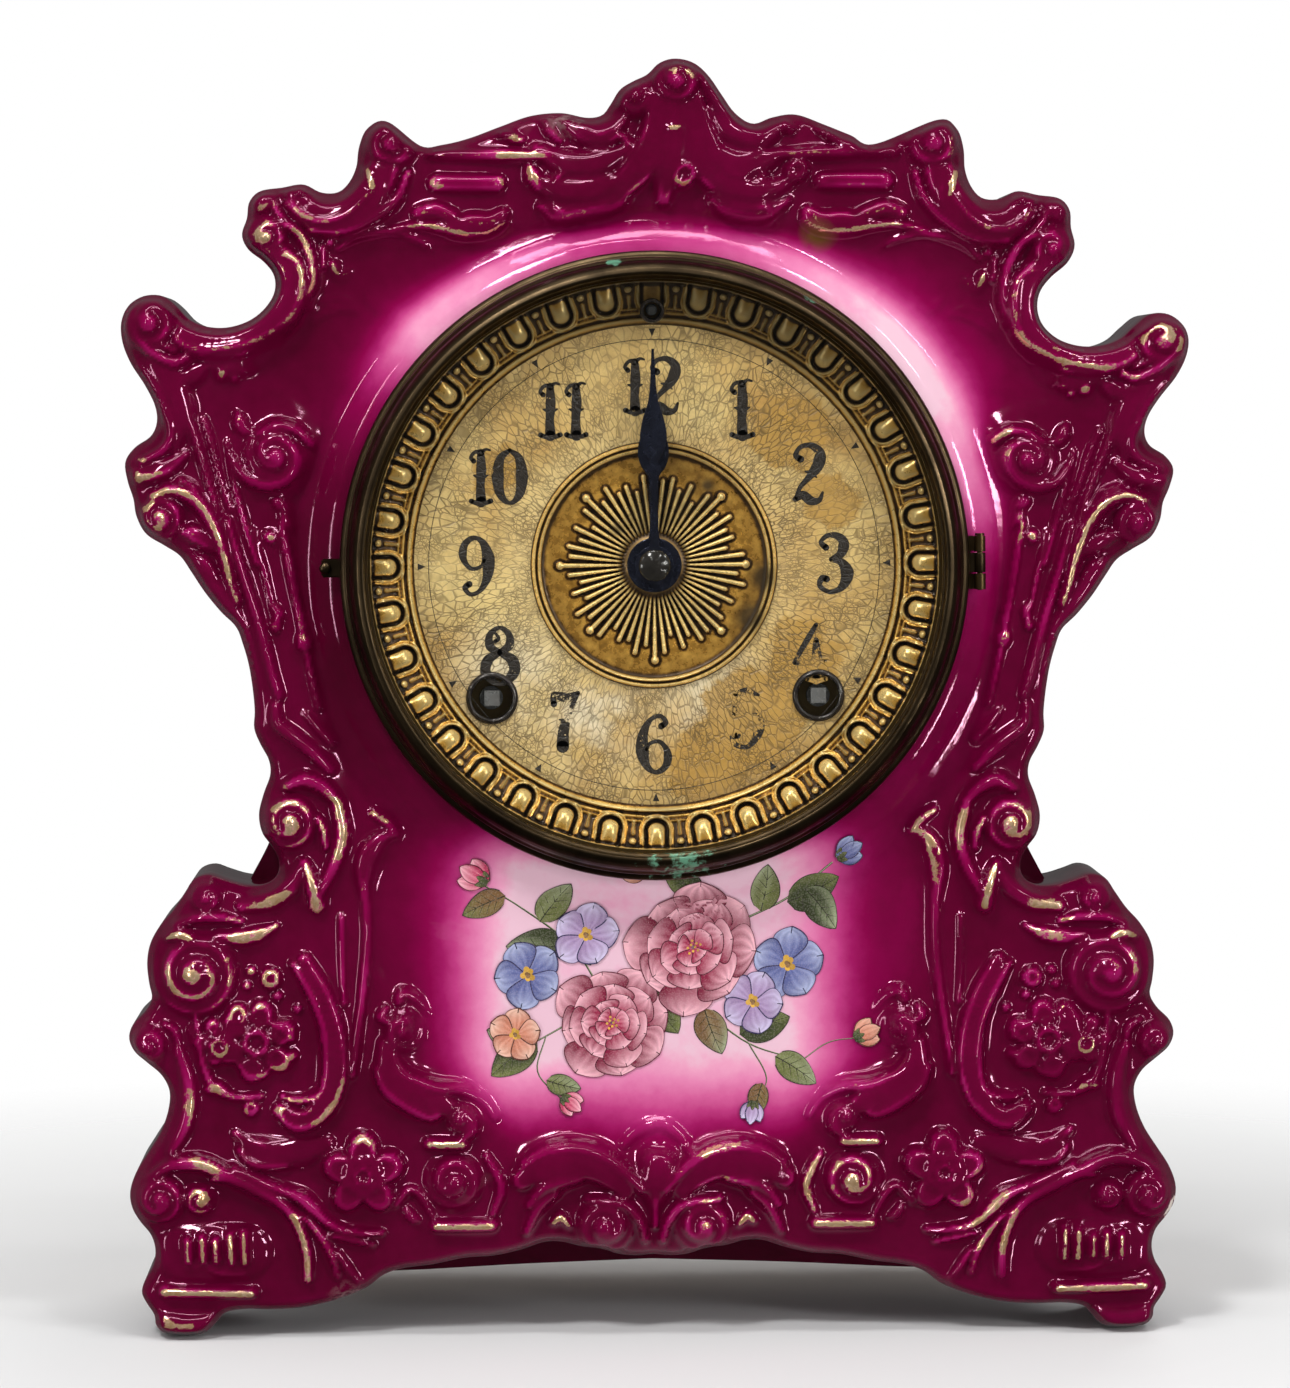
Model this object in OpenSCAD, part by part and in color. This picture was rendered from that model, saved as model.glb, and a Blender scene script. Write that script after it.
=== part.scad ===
// Porcelain mantel clock with a rococo case, hinged front bezel and an eight-day striking movement.
// Millimetres. Front looks along -Y, +Z is up, origin at the bottom centre of the bounding box.

/* [Case] */
// overall width of the porcelain case
case_w = 243; // [235:1:300]
// overall height of the porcelain case
case_h = 290; // [284:1:350]
// depth of the case from the front panel to the flat back
case_d = 105; // [100:1:140]
// wall thickness of the porcelain
wall = 6.5; // [5:0.5:7.5]
// depth of the ornamented front part of the case
front_d = 34; // [30:1:38]
// height of the dial centre above the table
dial_z = 175; // [170:1:182]
// how far the smooth ring round the bezel stands out of the panel
lip_h = 5; // [4:0.5:6]
// height of the pads the case rests on
foot_h = 6; // [5:0.5:8]
// radius of the front resting pads
foot_r = 5.5; // [4:0.5:6.5]
// radius of the round opening in the back wall
back_open_r = 62; // [61:0.5:64]

/* [Dial and bezel] */
// radius of the flat dial plate
dial_r = 55.5; // [54:0.5:66]
// width of the moulded ring round the dial plate
egg_w = 8.2; // [7.5:0.1:9]
// number of eggs in the moulded ring
egg_n = 36; // [30:1:40]
// thickness of the dial plate
dial_t = 1; // [0.8:0.1:1.4]
// sheet thickness of the dial pan
pan_t = 0.8; // [0.6:0.1:1]
// outer radius of the middle medallion
medal_r = 27.5; // [24:0.5:30]
// depth of the bezel ring from back to front
bezel_d = 9.2; // [8.5:0.1:11]
// rise of the domed glass from its rim to its middle
glass_rise = 4.8; // [3:0.2:7]
// thickness of the glass
glass_t = 2; // [1.5:0.1:2.5]
// distance of the winding holes from the dial centre, sideways
wind_x = 36.5; // [35.5:0.1:37.5]
// distance of the winding holes below the dial centre
wind_z = 29.5; // [29:0.1:30]
// length of the minute hand
minute_len = 48.6; // [42:0.2:52]
// length of the hour hand
hour_len = 35.7; // [30:0.2:38]

/* [Movement] */
// width of the movement plates
plate_w = 104; // [102:1:106]
// height of the movement plates
plate_h = 84; // [82:1:86]
// thickness of the movement plates
plate_t = 1.6; // [1.2:0.1:2]
// clear distance between the plates
plate_gap = 30; // [30:0.5:34]
// radius of the pillars between the plates
pillar_r = 2.5; // [2:0.1:3]
// room between the dial pan and the front plate
motion_gap = 8; // [8:0.2:10]
// module of the great wheels
great_m = 0.5; // [0.49:0.01:0.51]
// radius of the mainspring coil when let down
spring_r = 16.8; // [15:0.2:17]
// thickness of the mainspring ribbon
spring_t = 0.5; // [0.4:0.05:0.6]
// distance from the pendulum pivot to the middle of the bob
pend_len = 154.8; // [145:0.2:158]
// radius of the pendulum bob
bob_r = 17; // [14:0.5:20]
// thickness of the pendulum bob
bob_t = 8; // [6:0.5:10]
// outer radius of the gong coil
gong_r = 38; // [37:0.5:40]
// thickness of the gong wire
gong_wire = 3; // [2.4:0.2:3.2]
// running clearance between an arbor and its bearing
run_fit = 0.05; // [0.03:0.01:0.08]

/* [Back door] */
// radius of the back door
door_r = 55.5; // [54:0.5:57]
// how far the back door is dished outwards
door_dish = 5; // [3:0.5:7]
// gap between the closed door and its ring
door_gap = 0.3; // [0.2:0.05:0.5]

/* [Hidden] */
sx = case_w / 243;
sz = case_h / 290;
// levels along the depth, panel plane = 0, plus is to the back
pan_floor = dial_t;
pan_r = dial_r + egg_w + 0.3;
pan_out = pan_r + pan_t;
flange_r = pan_out + 5.2;
hole_r = pan_out + 1.7;
bezel_in = pan_r + 0.5;
bezel_r = pan_r + 7;
pan_back = pan_floor + 1;
flange_y = -lip_h - 1.5;
bezel_back = flange_y - 0.9;
bezel_front = bezel_back - bezel_d;
glass_y = bezel_front + 3.4;
glass_front = glass_y - glass_rise;
fp0 = pan_back + motion_gap;
fp1 = fp0 + plate_t;
bp0 = fp1 + plate_gap;
bp1 = bp0 + plate_t;
ring_t = 1.5;
ring_in = back_open_r - 8.5;
ring_out = back_open_r + 7;
door_y = case_d + ring_t + door_gap;
knob_y = door_y + 9.6;
front_y = min(glass_front, bezel_front);
mid_y = (front_y + knob_y) / 2;
rest_gap = 0.3;
bezel_axis = [bezel_r + 2.4, flange_y - 1.5];
door_axis = [door_r + 2.1, door_y + 2.1];
bezel_open = 95;

// wheel train: centres in the dial frame (x, z)
great_c = [wind_x, -wind_z];
great_n = 72;
second_p = 8;
second_n = 76;
second_m = 0.45;
third_p = 6;
third_n = 72;
third_m = 0.4;
escape_p = 6;
escape_n = 40;
escape_r = 13;
drive_n = 64;
centre_n = 48;
d_great = great_m * (great_n + second_p) / 2;
d_centre = 26.93;
drive_m = 2 * d_centre / (drive_n + centre_n);
d_second = second_m * (second_n + third_p) / 2;
d_third = third_m * (third_n + escape_p) / 2;
second_c = meet([0, 0], d_centre, great_c, d_great);
third_c = meet(second_c, d_second, [19.34, 18], 16.55);
fourth_c = meet([0, 28.8], 17.97, third_c, d_third);
verge_c = [0, 28.8];
regulator_c = [0, pan_r - 7];
reg_z = min(regulator_c[1], 57);
hammer_c = [-38, 8];
lever_c = [-46, 5];
gong_c = [0, -8];
gong_y = 79.5;
gong_pitch = 4.6;
gong_loops = 4;
gong_end = 229;
pend_y = 50;
motion_m = 0.6;
motion_d = 12;
cannon_n = 10;
minute_n = 30;
minute_p = 8;
hour_n = 32;
minute_c = [motion_d * cos(220), motion_d * sin(220)];
rack_m = 0.5;
rack_n = 12;
rack_r = rack_m * rack_n / 2;
nib_ang = 32;
nib_r = escape_r + 1.35;
pivot_r = 0.5;
strap_a = 15;
strap_r = back_open_r - 5;
strap_w = 8;
strap_t = 1.5;
screw_r = strap_r + 2.8;
pan_screw_r = dial_r + 4.3;
tab_in = min(strap_r, pan_screw_r - 2);
tab_out = max(strap_r + strap_t, pan_screw_r + 2);
fine = 72;

pillar_at = [[42, 27], [-42, 27], [13, -39], [-13, -39]];
post_at = [[47, 8], [-47, 8], [26, -38.5], [-26, -38.5]];
foot_at = [[107.5, 15], [-107.5, 15]];
rear_foot_at = [[84, 84], [-84, 84]];

// right half of the case outline from the bottom middle up to the top scroll, (x, z)
side = [
  [0, 17.9], [4, 17.6], [8, 18], [12, 19.2], [16.5, 19.8], [21, 20.9], [25, 20.8], [30, 19.2],
  [36, 17.9], [43, 17.4], [50, 16], [57, 15.1], [61.5, 13.6], [65, 11], [69, 9.2], [74, 7.6],
  [80, 6.4], [87, 6], [93, 6.1], [97.5, 5.4], [99.5, 3.4], [101.5, 1.3], [104, 0.5], [108, 0.4],
  [111.5, 0.9], [113.4, 2.6], [113.8, 5], [115.4, 7.4], [116.6, 10], [115.8, 12.8], [114, 16],
  [113.4, 19.5], [114.4, 23], [116.8, 26], [118.6, 29.2], [119, 33], [117.5, 37.4], [114.8, 41.7],
  [112, 46.2], [110.2, 51], [109.8, 55.5], [111.6, 59.2], [114.8, 62], [117.7, 64.6], [118.9, 67.7],
  [117.9, 70.8], [115.2, 73.6], [113.6, 76.6], [114.2, 80], [114.6, 84.6], [113.8, 89],
  [111.4, 93.2], [108.4, 96.6], [105.8, 100.4], [103.7, 103.4], [100.4, 104.4], [97, 103.3],
  [93, 102.1], [89, 101.8], [86, 102.9], [84.5, 105], [84.6, 108], [86.1, 110.8], [88.2, 113.8],
  [88.9, 118], [87.8, 122.6], [86.3, 126.8], [86.6, 130.2], [88.5, 133.8], [89.9, 137.4],
  [89.8, 141.4], [90.3, 146.6], [91.2, 152], [92.5, 156.6], [94, 160.4], [97.4, 163.8],
  [101, 168.2], [104, 172.7], [106.6, 176.4], [110.2, 178.8], [114.3, 181.4], [116.5, 185.4],
  [117.2, 189.4], [118.6, 193.2], [119.3, 197.4], [117.2, 200.6], [113.7, 203], [112.4, 206.2],
  [113.1, 210], [115.6, 214.4], [118.9, 219], [121, 223.6], [121.5, 228], [120, 231.6],
  [116.6, 233.9], [112.4, 233.9], [109, 231.4], [106, 228.5], [102, 226.9], [97, 226.7],
  [92, 228.3], [88.4, 231.4], [86.8, 235], [87.2, 238.8], [89.6, 242], [93.2, 245], [94.8, 248.6],
  [93.8, 252.6], [93.4, 256.4], [91, 259], [86, 259.8], [81.2, 260.6], [77.2, 258.8], [73.4, 258.9],
  [70.9, 261.2], [69.3, 265], [68.8, 269.8], [67, 274.2], [62.6, 275.9]
];
// crest from right to left, not symmetrical
crest = [
  [57, 272.8], [51.4, 270.2], [46, 272.2], [40, 274.6], [33.4, 277], [28, 276.4], [23.6, 275],
  [19.6, 277.4], [16.6, 281.6], [13.6, 286], [10.2, 289], [6, 290], [2.4, 289], [-0.4, 286.4],
  [-3.6, 284.9], [-6.6, 283], [-8.8, 279.6], [-10.8, 277.2], [-14.4, 276.7], [-20, 277.8],
  [-27, 277.2], [-34, 274.8], [-41, 272.2], [-47, 270.7], [-52, 270.4], [-57, 272.8]
];
// right half of the plain rear body, bottom middle to top middle
rear_side = [
  [0, 14], [30, 13], [66, 11.5], [94, 13], [101, 22], [104, 40], [103, 60], [100.5, 80], [96, 94],
  [90.5, 104], [86, 114], [83, 130], [83.5, 150], [86, 170], [87.5, 190], [85, 206], [78, 224],
  [66, 239], [48, 251], [25, 259], [0, 261]
];

// right half of the line that the hollow of the front part follows, calmer than the outside
inner_side = [
  [0, 18.5], [30, 17], [60, 14], [80, 8], [100, 8], [110, 20], [110, 34], [104, 50], [108, 66],
  [108, 88], [97, 98], [84.6, 105], [85, 118], [86, 132], [89, 146], [96, 164], [110, 184],
  [112, 200], [111, 218], [108, 224], [90, 224], [82, 236], [84, 252], [70, 256], [56, 266],
  [20, 270], [0, 272]
];

// raised scrollwork on the right half: start radius, end radius, height, points
scrolls = [
  [2.2, 3.4, 3.2, [[79.5, 260], [81, 257], [77, 254.6], [71, 254.2], [66, 257], [63, 262], [60.5, 266.5]]],
  [3.4, 2.2, 3.4, [[57, 271.5], [61.5, 274], [65.6, 271], [64.6, 266.6], [60.6, 266.4]]],
  [1.6, 3.2, 3.4, [[88, 249], [91.2, 250.6], [88.4, 254], [83, 252.6], [79.6, 246], [79.4, 239],
    [83, 231.8], [90, 226.6], [99, 223.6], [106, 224.4], [110.6, 228.8]]],
  [3.2, 2, 3.4, [[110.6, 228.8], [115.4, 231.4], [118.4, 228], [116.6, 223.6], [112.8, 225.4]]],
  [2.4, 1.8, 2.6, [[116.4, 217], [110.6, 209.4], [108.6, 203.4], [112, 199.6], [116.4, 197]]],
  [3, 1, 3.2, [[112.8, 186.6], [113.4, 191.2], [107.6, 193], [101.8, 189.4], [98.4, 182], [96, 174], [93, 166]]],
  [2.6, 2.2, 2.8, [[81, 203.4], [85.6, 206.6], [91, 204.4], [93.6, 199], [90, 194.6], [84.4, 194.4], [80.6, 198]]],
  [1.6, 1.8, 2, [[97, 197], [93, 181], [88.4, 165], [85.8, 150], [84.6, 142.6]]],
  [1.4, 1.6, 1.8, [[86, 188], [81.6, 176], [79.2, 160], [76.8, 148], [73.6, 136.4]]],
  [2, 1.4, 2.6, [[86.4, 143.4], [84, 138.6], [79.4, 134.6], [74, 129.4]]],
  [3.4, 1.2, 3.2, [[83.6, 126.6], [78, 125.6], [73.6, 120.4], [73, 111.6], [76, 104.6], [77.4, 98.6]]],
  [3, 2.4, 3, [[83.8, 116.2], [87, 118.4], [85.4, 122], [80.8, 121.6]]],
  [2.2, 2.6, 3, [[91.4, 91.4], [97.6, 94], [104.6, 95.6], [110.6, 90.6], [112.4, 82.6], [107.6, 75.8],
    [100.4, 77], [97.6, 83.4], [101.4, 88.2], [105.6, 85]]],
  [1.2, 2.6, 3, [[82.4, 85.4], [77, 77.6], [73.8, 68], [73.8, 58.6], [78, 50.4], [84.6, 48.4], [87.4, 52.6]]],
  [2, 2.8, 2.8, [[114.6, 37.6], [110.4, 40.6], [103.6, 41], [97, 38], [90, 33], [83.6, 27.6], [80, 20], [79.6, 12]]],
  [1.4, 1.8, 2.2, [[90, 37.4], [82, 33.6], [75.6, 28], [70, 24.2], [62.4, 23.6]]],
  [3, 2.2, 3.2, [[57.4, 72.6], [61.6, 73], [64, 67], [62, 59], [56, 52.8], [49, 49.6], [44.4, 46]]],
  [1.8, 2.6, 2.8, [[60, 62.4], [52.6, 58.6], [44.6, 57.4], [39.2, 53], [38.4, 46.4]]],
  [1.6, 2.8, 3.4, [[30.6, 38.6], [25.6, 42], [19.6, 43], [12.6, 41.6], [7.4, 37.6], [3.6, 31.6]]],
  [1.4, 2, 2.6, [[28.4, 27.4], [25.2, 33.6], [18.6, 36], [12.4, 33.6]]],
  [2, 1.8, 2, [[52.6, 44], [44.4, 44]]],
  [2, 1.8, 2, [[51, 25.6], [37.4, 25.6]]],
  [1.6, 1.6, 2, [[113, 11], [91.6, 10.6]]],
  [1.8, 1.8, 2, [[50, 268], [17, 267.4]]],
  [2.2, 2.2, 2.4, [[49.6, 261.6], [34, 261.2]]],
  [2.6, 1.6, 2.6, [[55, 252.6], [46.4, 252], [39, 250.4], [32.6, 254.6]]]
];
// rounded knobs on the right half: x, z, radius, height
knobs = [
  [114.4, 32.6, 5, 4], [103.6, 31.4, 3.6, 3], [115, 67.6, 3.8, 3.4], [89.6, 257.2, 2.6, 2.4],
  [112, 186.6, 3.6, 3.2], [86, 200.6, 4, 3.4], [77.6, 158.4, 2.6, 2.6], [46.6, 36, 6.6, 4],
  [11.6, 25.6, 6.6, 3.6], [105.2, 83.6, 3.6, 3.4], [63.4, 117, 3, 2.6], [100.8, 101, 2.6, 2.6],
  [91, 68, 3, 3.6], [94.6, 74, 1.8, 2.6], [88, 82, 1.8, 2.4], [83.4, 64, 1.8, 2.4], [92.6, 52.6, 1.8, 2.2]
];

// point at distance da from a and db from b, to the right of the line a to b
function meet(a, da, b, db) =
  let(v = b - a, d = norm(v), u = v / d, s = (da * da - db * db + d * d) / (2 * d),
      h = sqrt(max(0, da * da - s * s)))
  [a[0] + u[0] * s + u[1] * h, a[1] + u[1] * s - u[0] * h];
function angle_to(a, b) = atan2(b[1] - a[1], b[0] - a[0]);
function at(i, list) = list[(i + len(list)) % len(list)];
function mirrored(p) = [for (q = p) [-q[0], q[1]]];
function reversed(p) = [for (i = [len(p) - 1:-1:0]) p[i]];
function scaled(p) = [for (q = p) [q[0] * sx, q[1] * sz]];
// smallest distance between turns of a path, counted from points at least m steps apart
function least_gap(q, m, t) =
  min([for (i = [0:len(q) - 1 - m]) min([for (j = [i + m:len(q) - 1]) norm(q[j] - q[i])])]) - t;
function spline(p0, p1, p2, p3, t) =
  0.5 * (2 * p1 + (p2 - p0) * t + (2 * p0 - 5 * p1 + 4 * p2 - p3) * t * t
    + (3 * p1 - p0 - 3 * p2 + p3) * t * t * t);
function smooth_loop(p, n) = [for (i = [0:len(p) - 1]) for (k = [0:n - 1])
  spline(at(i - 1, p), at(i, p), at(i + 1, p), at(i + 2, p), k / n)];
function inset_ring(p, d, y) = [for (i = [0:len(p) - 1])
  let(t = at(i + 1, p) - at(i - 1, p), l = norm(t))
  [p[i][0] - t[1] / l * d, y, p[i][1] + t[0] / l * d]];
function both_sides(p) = scaled(concat(p, [for (i = [len(p) - 2:-1:1]) [-p[i][0], p[i][1]]]));
function drop_last(p) = [for (i = [1:len(p) - 1]) p[i]];

outline = scaled(concat(side, crest, reversed(drop_last(mirrored(side)))));
rear_outline = smooth_loop(both_sides(rear_side), 2);
inner_line = both_sides(inner_side);

// solid skin over a stack of equal rings, front ring first
module loft(rings) {
  n = len(rings[0]);
  m = len(rings);
  polyhedron(
    points = [for (r = rings) for (p = r) p],
    faces = concat(
      [[for (i = [n - 1:-1:0]) i]],
      [[for (i = [0:n - 1]) (m - 1) * n + i]],
      [for (k = [0:m - 2]) for (i = [0:n - 1]) [k * n + i, k * n + (i + 1) % n, (k + 1) * n + i]],
      [for (k = [0:m - 2]) for (i = [0:n - 1])
        [k * n + (i + 1) % n, (k + 1) * n + (i + 1) % n, (k + 1) * n + i]]),
    convexity = 8);
}

// raised scroll along a path in the panel plane
module ridge(points, r0, r1, high) {
  q = points;
  n = len(q);
  m = 5;
  rings = [for (i = [0:n - 1])
    let(t = q[min(i + 1, n - 1)] - q[max(i - 1, 0)], l = norm(t), u = t / l,
        f = i / (n - 1), r = (r0 + (r1 - r0) * f) * (0.6 + 0.4 * sin(180 * f)))
    [for (j = [0:m - 1]) let(a = 72 * j + 18)
      [q[i][0] + u[1] * r * cos(a), -high * (0.5 + 0.5 * sin(180 * f)) * sin(a), q[i][1] - u[0] * r * cos(a)]]];
  polyhedron(
    points = [for (r = rings) for (p = r) p],
    faces = concat(
      [[for (j = [m - 1:-1:0]) j]],
      [[for (j = [0:m - 1]) (n - 1) * m + j]],
      [for (i = [0:n - 2]) for (j = [0:m - 1]) [i * m + (j + 1) % m, (i + 1) * m + (j + 1) % m, i * m + j]],
      [for (i = [0:n - 2]) for (j = [0:m - 1])
        [(i + 1) * m + (j + 1) % m, (i + 1) * m + j, i * m + j]]),
    convexity = 6);
}

module place() {
  translate([0, -mid_y, 0]) children();
}

module at_dial() {
  translate([0, -mid_y, dial_z]) children();
}

module revolve() {
  rotate([-90, 0, 0]) rotate_extrude($fn = fine) children();
}

module flat(y, t) {
  translate([0, y + t, 0]) rotate([90, 0, 0]) linear_extrude(t) children();
}

module rod(r, y0, y1, c = [0, 0]) {
  translate([c[0], y0, c[1]]) rotate([-90, 0, 0]) cylinder(r = r, h = y1 - y0, $fn = 32);
}

module tube(ro, ri, y0, y1, c = [0, 0]) {
  difference() {
    rod(ro, y0, y1, c);
    rod(ri, y0 - 1, y1 + 1, c);
  }
}

// eight-sided wire of radius r along the points q, ref is a direction the wire never takes
module bent_wire(q, r, ref) {
  n = len(q);
  m = 8;
  rings = [for (i = [0:n - 1])
    let(t = q[min(i + 1, n - 1)] - q[max(i - 1, 0)], u = cross(ref, t) / norm(cross(ref, t)),
      w = cross(u, t) / norm(cross(u, t)))
    [for (j = [0:m - 1]) q[i] + r * (cos(45 * j) * u + sin(45 * j) * w)]];
  polyhedron(
    points = [for (k = rings) for (p = k) p],
    faces = concat(
      [[for (j = [m - 1:-1:0]) j]],
      [[for (j = [0:m - 1]) (n - 1) * m + j]],
      [for (i = [0:n - 2]) for (j = [0:m - 1]) [i * m + (j + 1) % m, (i + 1) * m + (j + 1) % m, i * m + j]],
      [for (i = [0:n - 2]) for (j = [0:m - 1])
        [(i + 1) * m + (j + 1) % m, (i + 1) * m + j, i * m + j]]),
    convexity = 10);
}

module at_c(c) {
  translate([c[0], 0, c[1]]) children();
}

module strike_side() {
  mirror([1, 0, 0]) children();
}

// flat shape given by its right edge
module even_shape(p) {
  polygon(concat(p, reversed(mirrored(p))));
}

// toothed disc with straight-flanked teeth
module teeth(n, rp, half, top, add, ded) {
  root = half + (half - top) / add * ded;
  polygon([for (i = [0:n - 1]) for (k = [0:3])
    let(h = [-root, -top, top, root][k], r = (k == 0 || k == 3) ? rp - ded : rp + add,
        a = 360 * i / n + atan2(h, r))
    [r * cos(a), r * sin(a)]]);
}

// wheel that drives or is driven by a lantern pinion with trundles of radius rt
module lantern_wheel(n, m, rt) {
  t0 = PI * m / 2 - rt - 0.1;
  teeth(n, n * m / 2, 0.85 * t0, 0.35 * t0, 0.8 * m, rt + 0.15);
}

module spur_wheel(n, m) {
  teeth(n, n * m / 2, 0.19 * PI * m, 0.08 * PI * m, 0.7 * m, 0.95 * m);
}

module windows(ri, ro, arms, w) {
  difference() {
    circle(ro);
    circle(ri);
    for (i = [0:arms - 1]) rotate(360 * i / arms) translate([0, -w / 2]) square([ro + 1, w]);
  }
}

// lantern pinion between two discs, one trundle gap looks towards angle a
module lantern(n, m, rt, y0, y1, disc, a) {
  rw = n * m / 2;
  for (i = [0:n - 1])
    rod(rt, y0 + disc / 2, y1 - disc / 2, rw * [cos(a + 360 * (i + 0.5) / n), sin(a + 360 * (i + 0.5) / n)]);
  rod(rw + rt + 0.35, y0, y0 + disc);
  rod(rw + rt + 0.35, y1 - disc, y1);
}

module arbor(r) {
  rod(r, fp1 + rest_gap, bp0 - rest_gap);
  rod(pivot_r, fp0 - 0.3, fp1 + 1);
  rod(pivot_r, bp0 - 1, bp1 + 0.3);
}

module bar(a, b, w) {
  v = b - a;
  l = norm(v);
  translate(a) rotate(atan2(v[1], v[0])) translate([0, -w / 2]) square([l, w]);
  translate(a) circle(w / 2, $fn = 24);
  translate(b) circle(w / 2, $fn = 24);
}

module round_plate(w, h, r) {
  square([w - 2 * r, h], center = true);
  square([w, h - 2 * r], center = true);
  for (i = [-1, 1]) for (j = [-1, 1]) translate([i * (w / 2 - r), j * (h / 2 - r)]) circle(r, $fn = 48);
}

module case_shell() {
  color([0.42, 0.02, 0.24])
  place() difference() {
    union() {
      loft([for (k = [[0, 2.4], [1.2, 0.8], [4, 0], [front_d - 4, 0], [front_d, 2.2]])
        inset_ring(outline, k[1], k[0])]);
      loft([for (k = [[20, 0], [case_d - 8, 0], [case_d - 2.5, 1.6], [case_d, 5]])
        inset_ring(rear_outline, k[1], k[0])]);
      translate([0, 0, dial_z]) revolve()
        polygon([[hole_r - 1, 4], [hole_r - 1, -lip_h], [hole_r + 5, -lip_h],
          [hole_r + 8, -lip_h * 0.8], [hole_r + 10.5, -lip_h * 0.35], [hole_r + 12, 1], [hole_r + 12, 4]]);
      for (s = scrolls) for (i = [0, 1]) mirror([i, 0, 0]) ridge(scaled(s[3]), s[0], s[1], s[2]);
      for (k = knobs) for (i = [0, 1]) mirror([i, 0, 0])
        translate([k[0] * sx, 0, k[1] * sz]) scale([k[2], k[3], k[2]]) sphere(1, $fn = 8);
      for (i = [0, 1]) mirror([i, 0, 0]) for (a = [0:72:288]) petal([67 * sx, 37.5 * sz], a);
      ridge(scaled([[13, 279], [14.6, 284], [10.4, 287.4], [5, 286.6], [3, 282], [6.4, 278.6], [9.4, 281]]), 2, 3, 3.4);
      ridge(scaled([[-1, 282.6], [-4.6, 282], [-5, 277], [-0.6, 272], [5, 268], [7, 262]]), 2.6, 2, 3);
      ridge(scaled([[-8, 42.4], [-4, 46.4], [0, 47.6], [4, 46.4], [8, 42.4]]), 1.6, 1.6, 3);
      for (c = foot_at) translate([c[0] * sx, c[1], 0]) cylinder(r = foot_r, h = foot_h, $fn = 24);
      for (c = rear_foot_at) translate([c[0] * sx, c[1], 0]) cylinder(r1 = 6.5, r2 = 8, h = 20, $fn = 24);
    }
    loft([for (k = [[wall + 1.5, wall + 1], [front_d - wall, wall + 1]]) inset_ring(inner_line, k[1], k[0])]);
    loft([for (k = [[front_d - wall - 0.5, wall], [case_d - wall - 5, wall], [case_d - wall, wall + 4]])
      inset_ring(rear_outline, k[1], k[0])]);
    translate([0, 0, dial_z]) rotate([-90, 0, 0]) translate([0, 0, -20])
      cylinder(r = hole_r, h = front_d + 14, $fn = 72);
    translate([0, 0, dial_z]) rotate([-90, 0, 0]) translate([0, 0, case_d - wall - 6])
      cylinder(r = back_open_r, h = wall + 10, $fn = 72);
  }
}

module petal(c, a) {
  d = [cos(a + 90), sin(a + 90)];
  hull() {
    translate([c[0] + 2.4 * d[0], 0, c[1] + 2.4 * d[1]]) scale([1.4, 2.6, 1.4]) sphere(1, $fn = 8);
    translate([c[0] + 6 * d[0], 0, c[1] + 6 * d[1]]) scale([2.8, 2.8, 2.8]) sphere(1, $fn = 8);
  }
}

module dial_pan() {
  color([0.55, 0.45, 0.22])
  at_dial() difference() {
    revolve() polygon([[3.6, pan_floor], [pan_r, pan_floor], [pan_r, flange_y], [flange_r, flange_y],
      [flange_r, -lip_h], [pan_out, -lip_h], [pan_out, pan_back], [3.6, pan_back]]);
    for (i = [-1, 1]) rod(5.05, -1, 4, [i * wind_x, -wind_z]);
    rod(2.6, -1, 4, [0, reg_z]);
    for (i = [0, 1]) mirror([i, 0, 0]) rotate([0, -strap_a, 0]) rod(1.05, -1, 4, [pan_screw_r, 0]);
  }
}

module egg_ring() {
  r0 = dial_r;
  band = -3.4;
  color([0.72, 0.56, 0.2])
  at_dial() difference() {
    union() {
      revolve() polygon([[r0 - 1.8, 0], [r0 - 1.8, -0.8], [r0 - 0.9, -1.2], [r0 + 0.4, band],
        [r0 + egg_w - 1, band], [r0 + egg_w - 0.9, flange_y - 0.2], [r0 + egg_w, flange_y - 0.2],
        [r0 + egg_w, band + 0.7], [r0 + 0.9, band + 0.7], [r0 - 0.4, 0]]);
      for (i = [1:egg_n - 1]) rotate([0, 360 * i / egg_n, 0]) at_c([0, r0 + 4])
        revolve() polygon([[0, band + 0.3], [2.9, band + 0.3], [2.7, band - 1], [1.8, band - 1.9], [0, band - 2.3]]);
      for (i = [0:egg_n - 1]) rotate([0, 360 * (i + 0.5) / egg_n, 0]) {
        at_c([0, r0 + 6]) revolve() polygon([[0, band + 0.3], [0.9, band + 0.3], [0.8, band - 0.5], [0, band - 0.9]]);
        translate([-0.35, band - 0.7, r0 + 1]) cube([0.7, 1, 3.6]);
      }
    }
    rod(2.85, -9, 3, [0, reg_z]);
  }
}

module dial_plate() {
  color([0.82, 0.76, 0.58])
  at_dial() difference() {
    revolve() polygon([[3.4, 0], [dial_r, 0], [dial_r, dial_t], [3.4, dial_t]]);
    for (i = [-1, 1]) rod(5.05, -1, 4, [i * wind_x, -wind_z]);
    rod(2.85, -1, 4, [0, reg_z]);
  }
}

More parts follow.
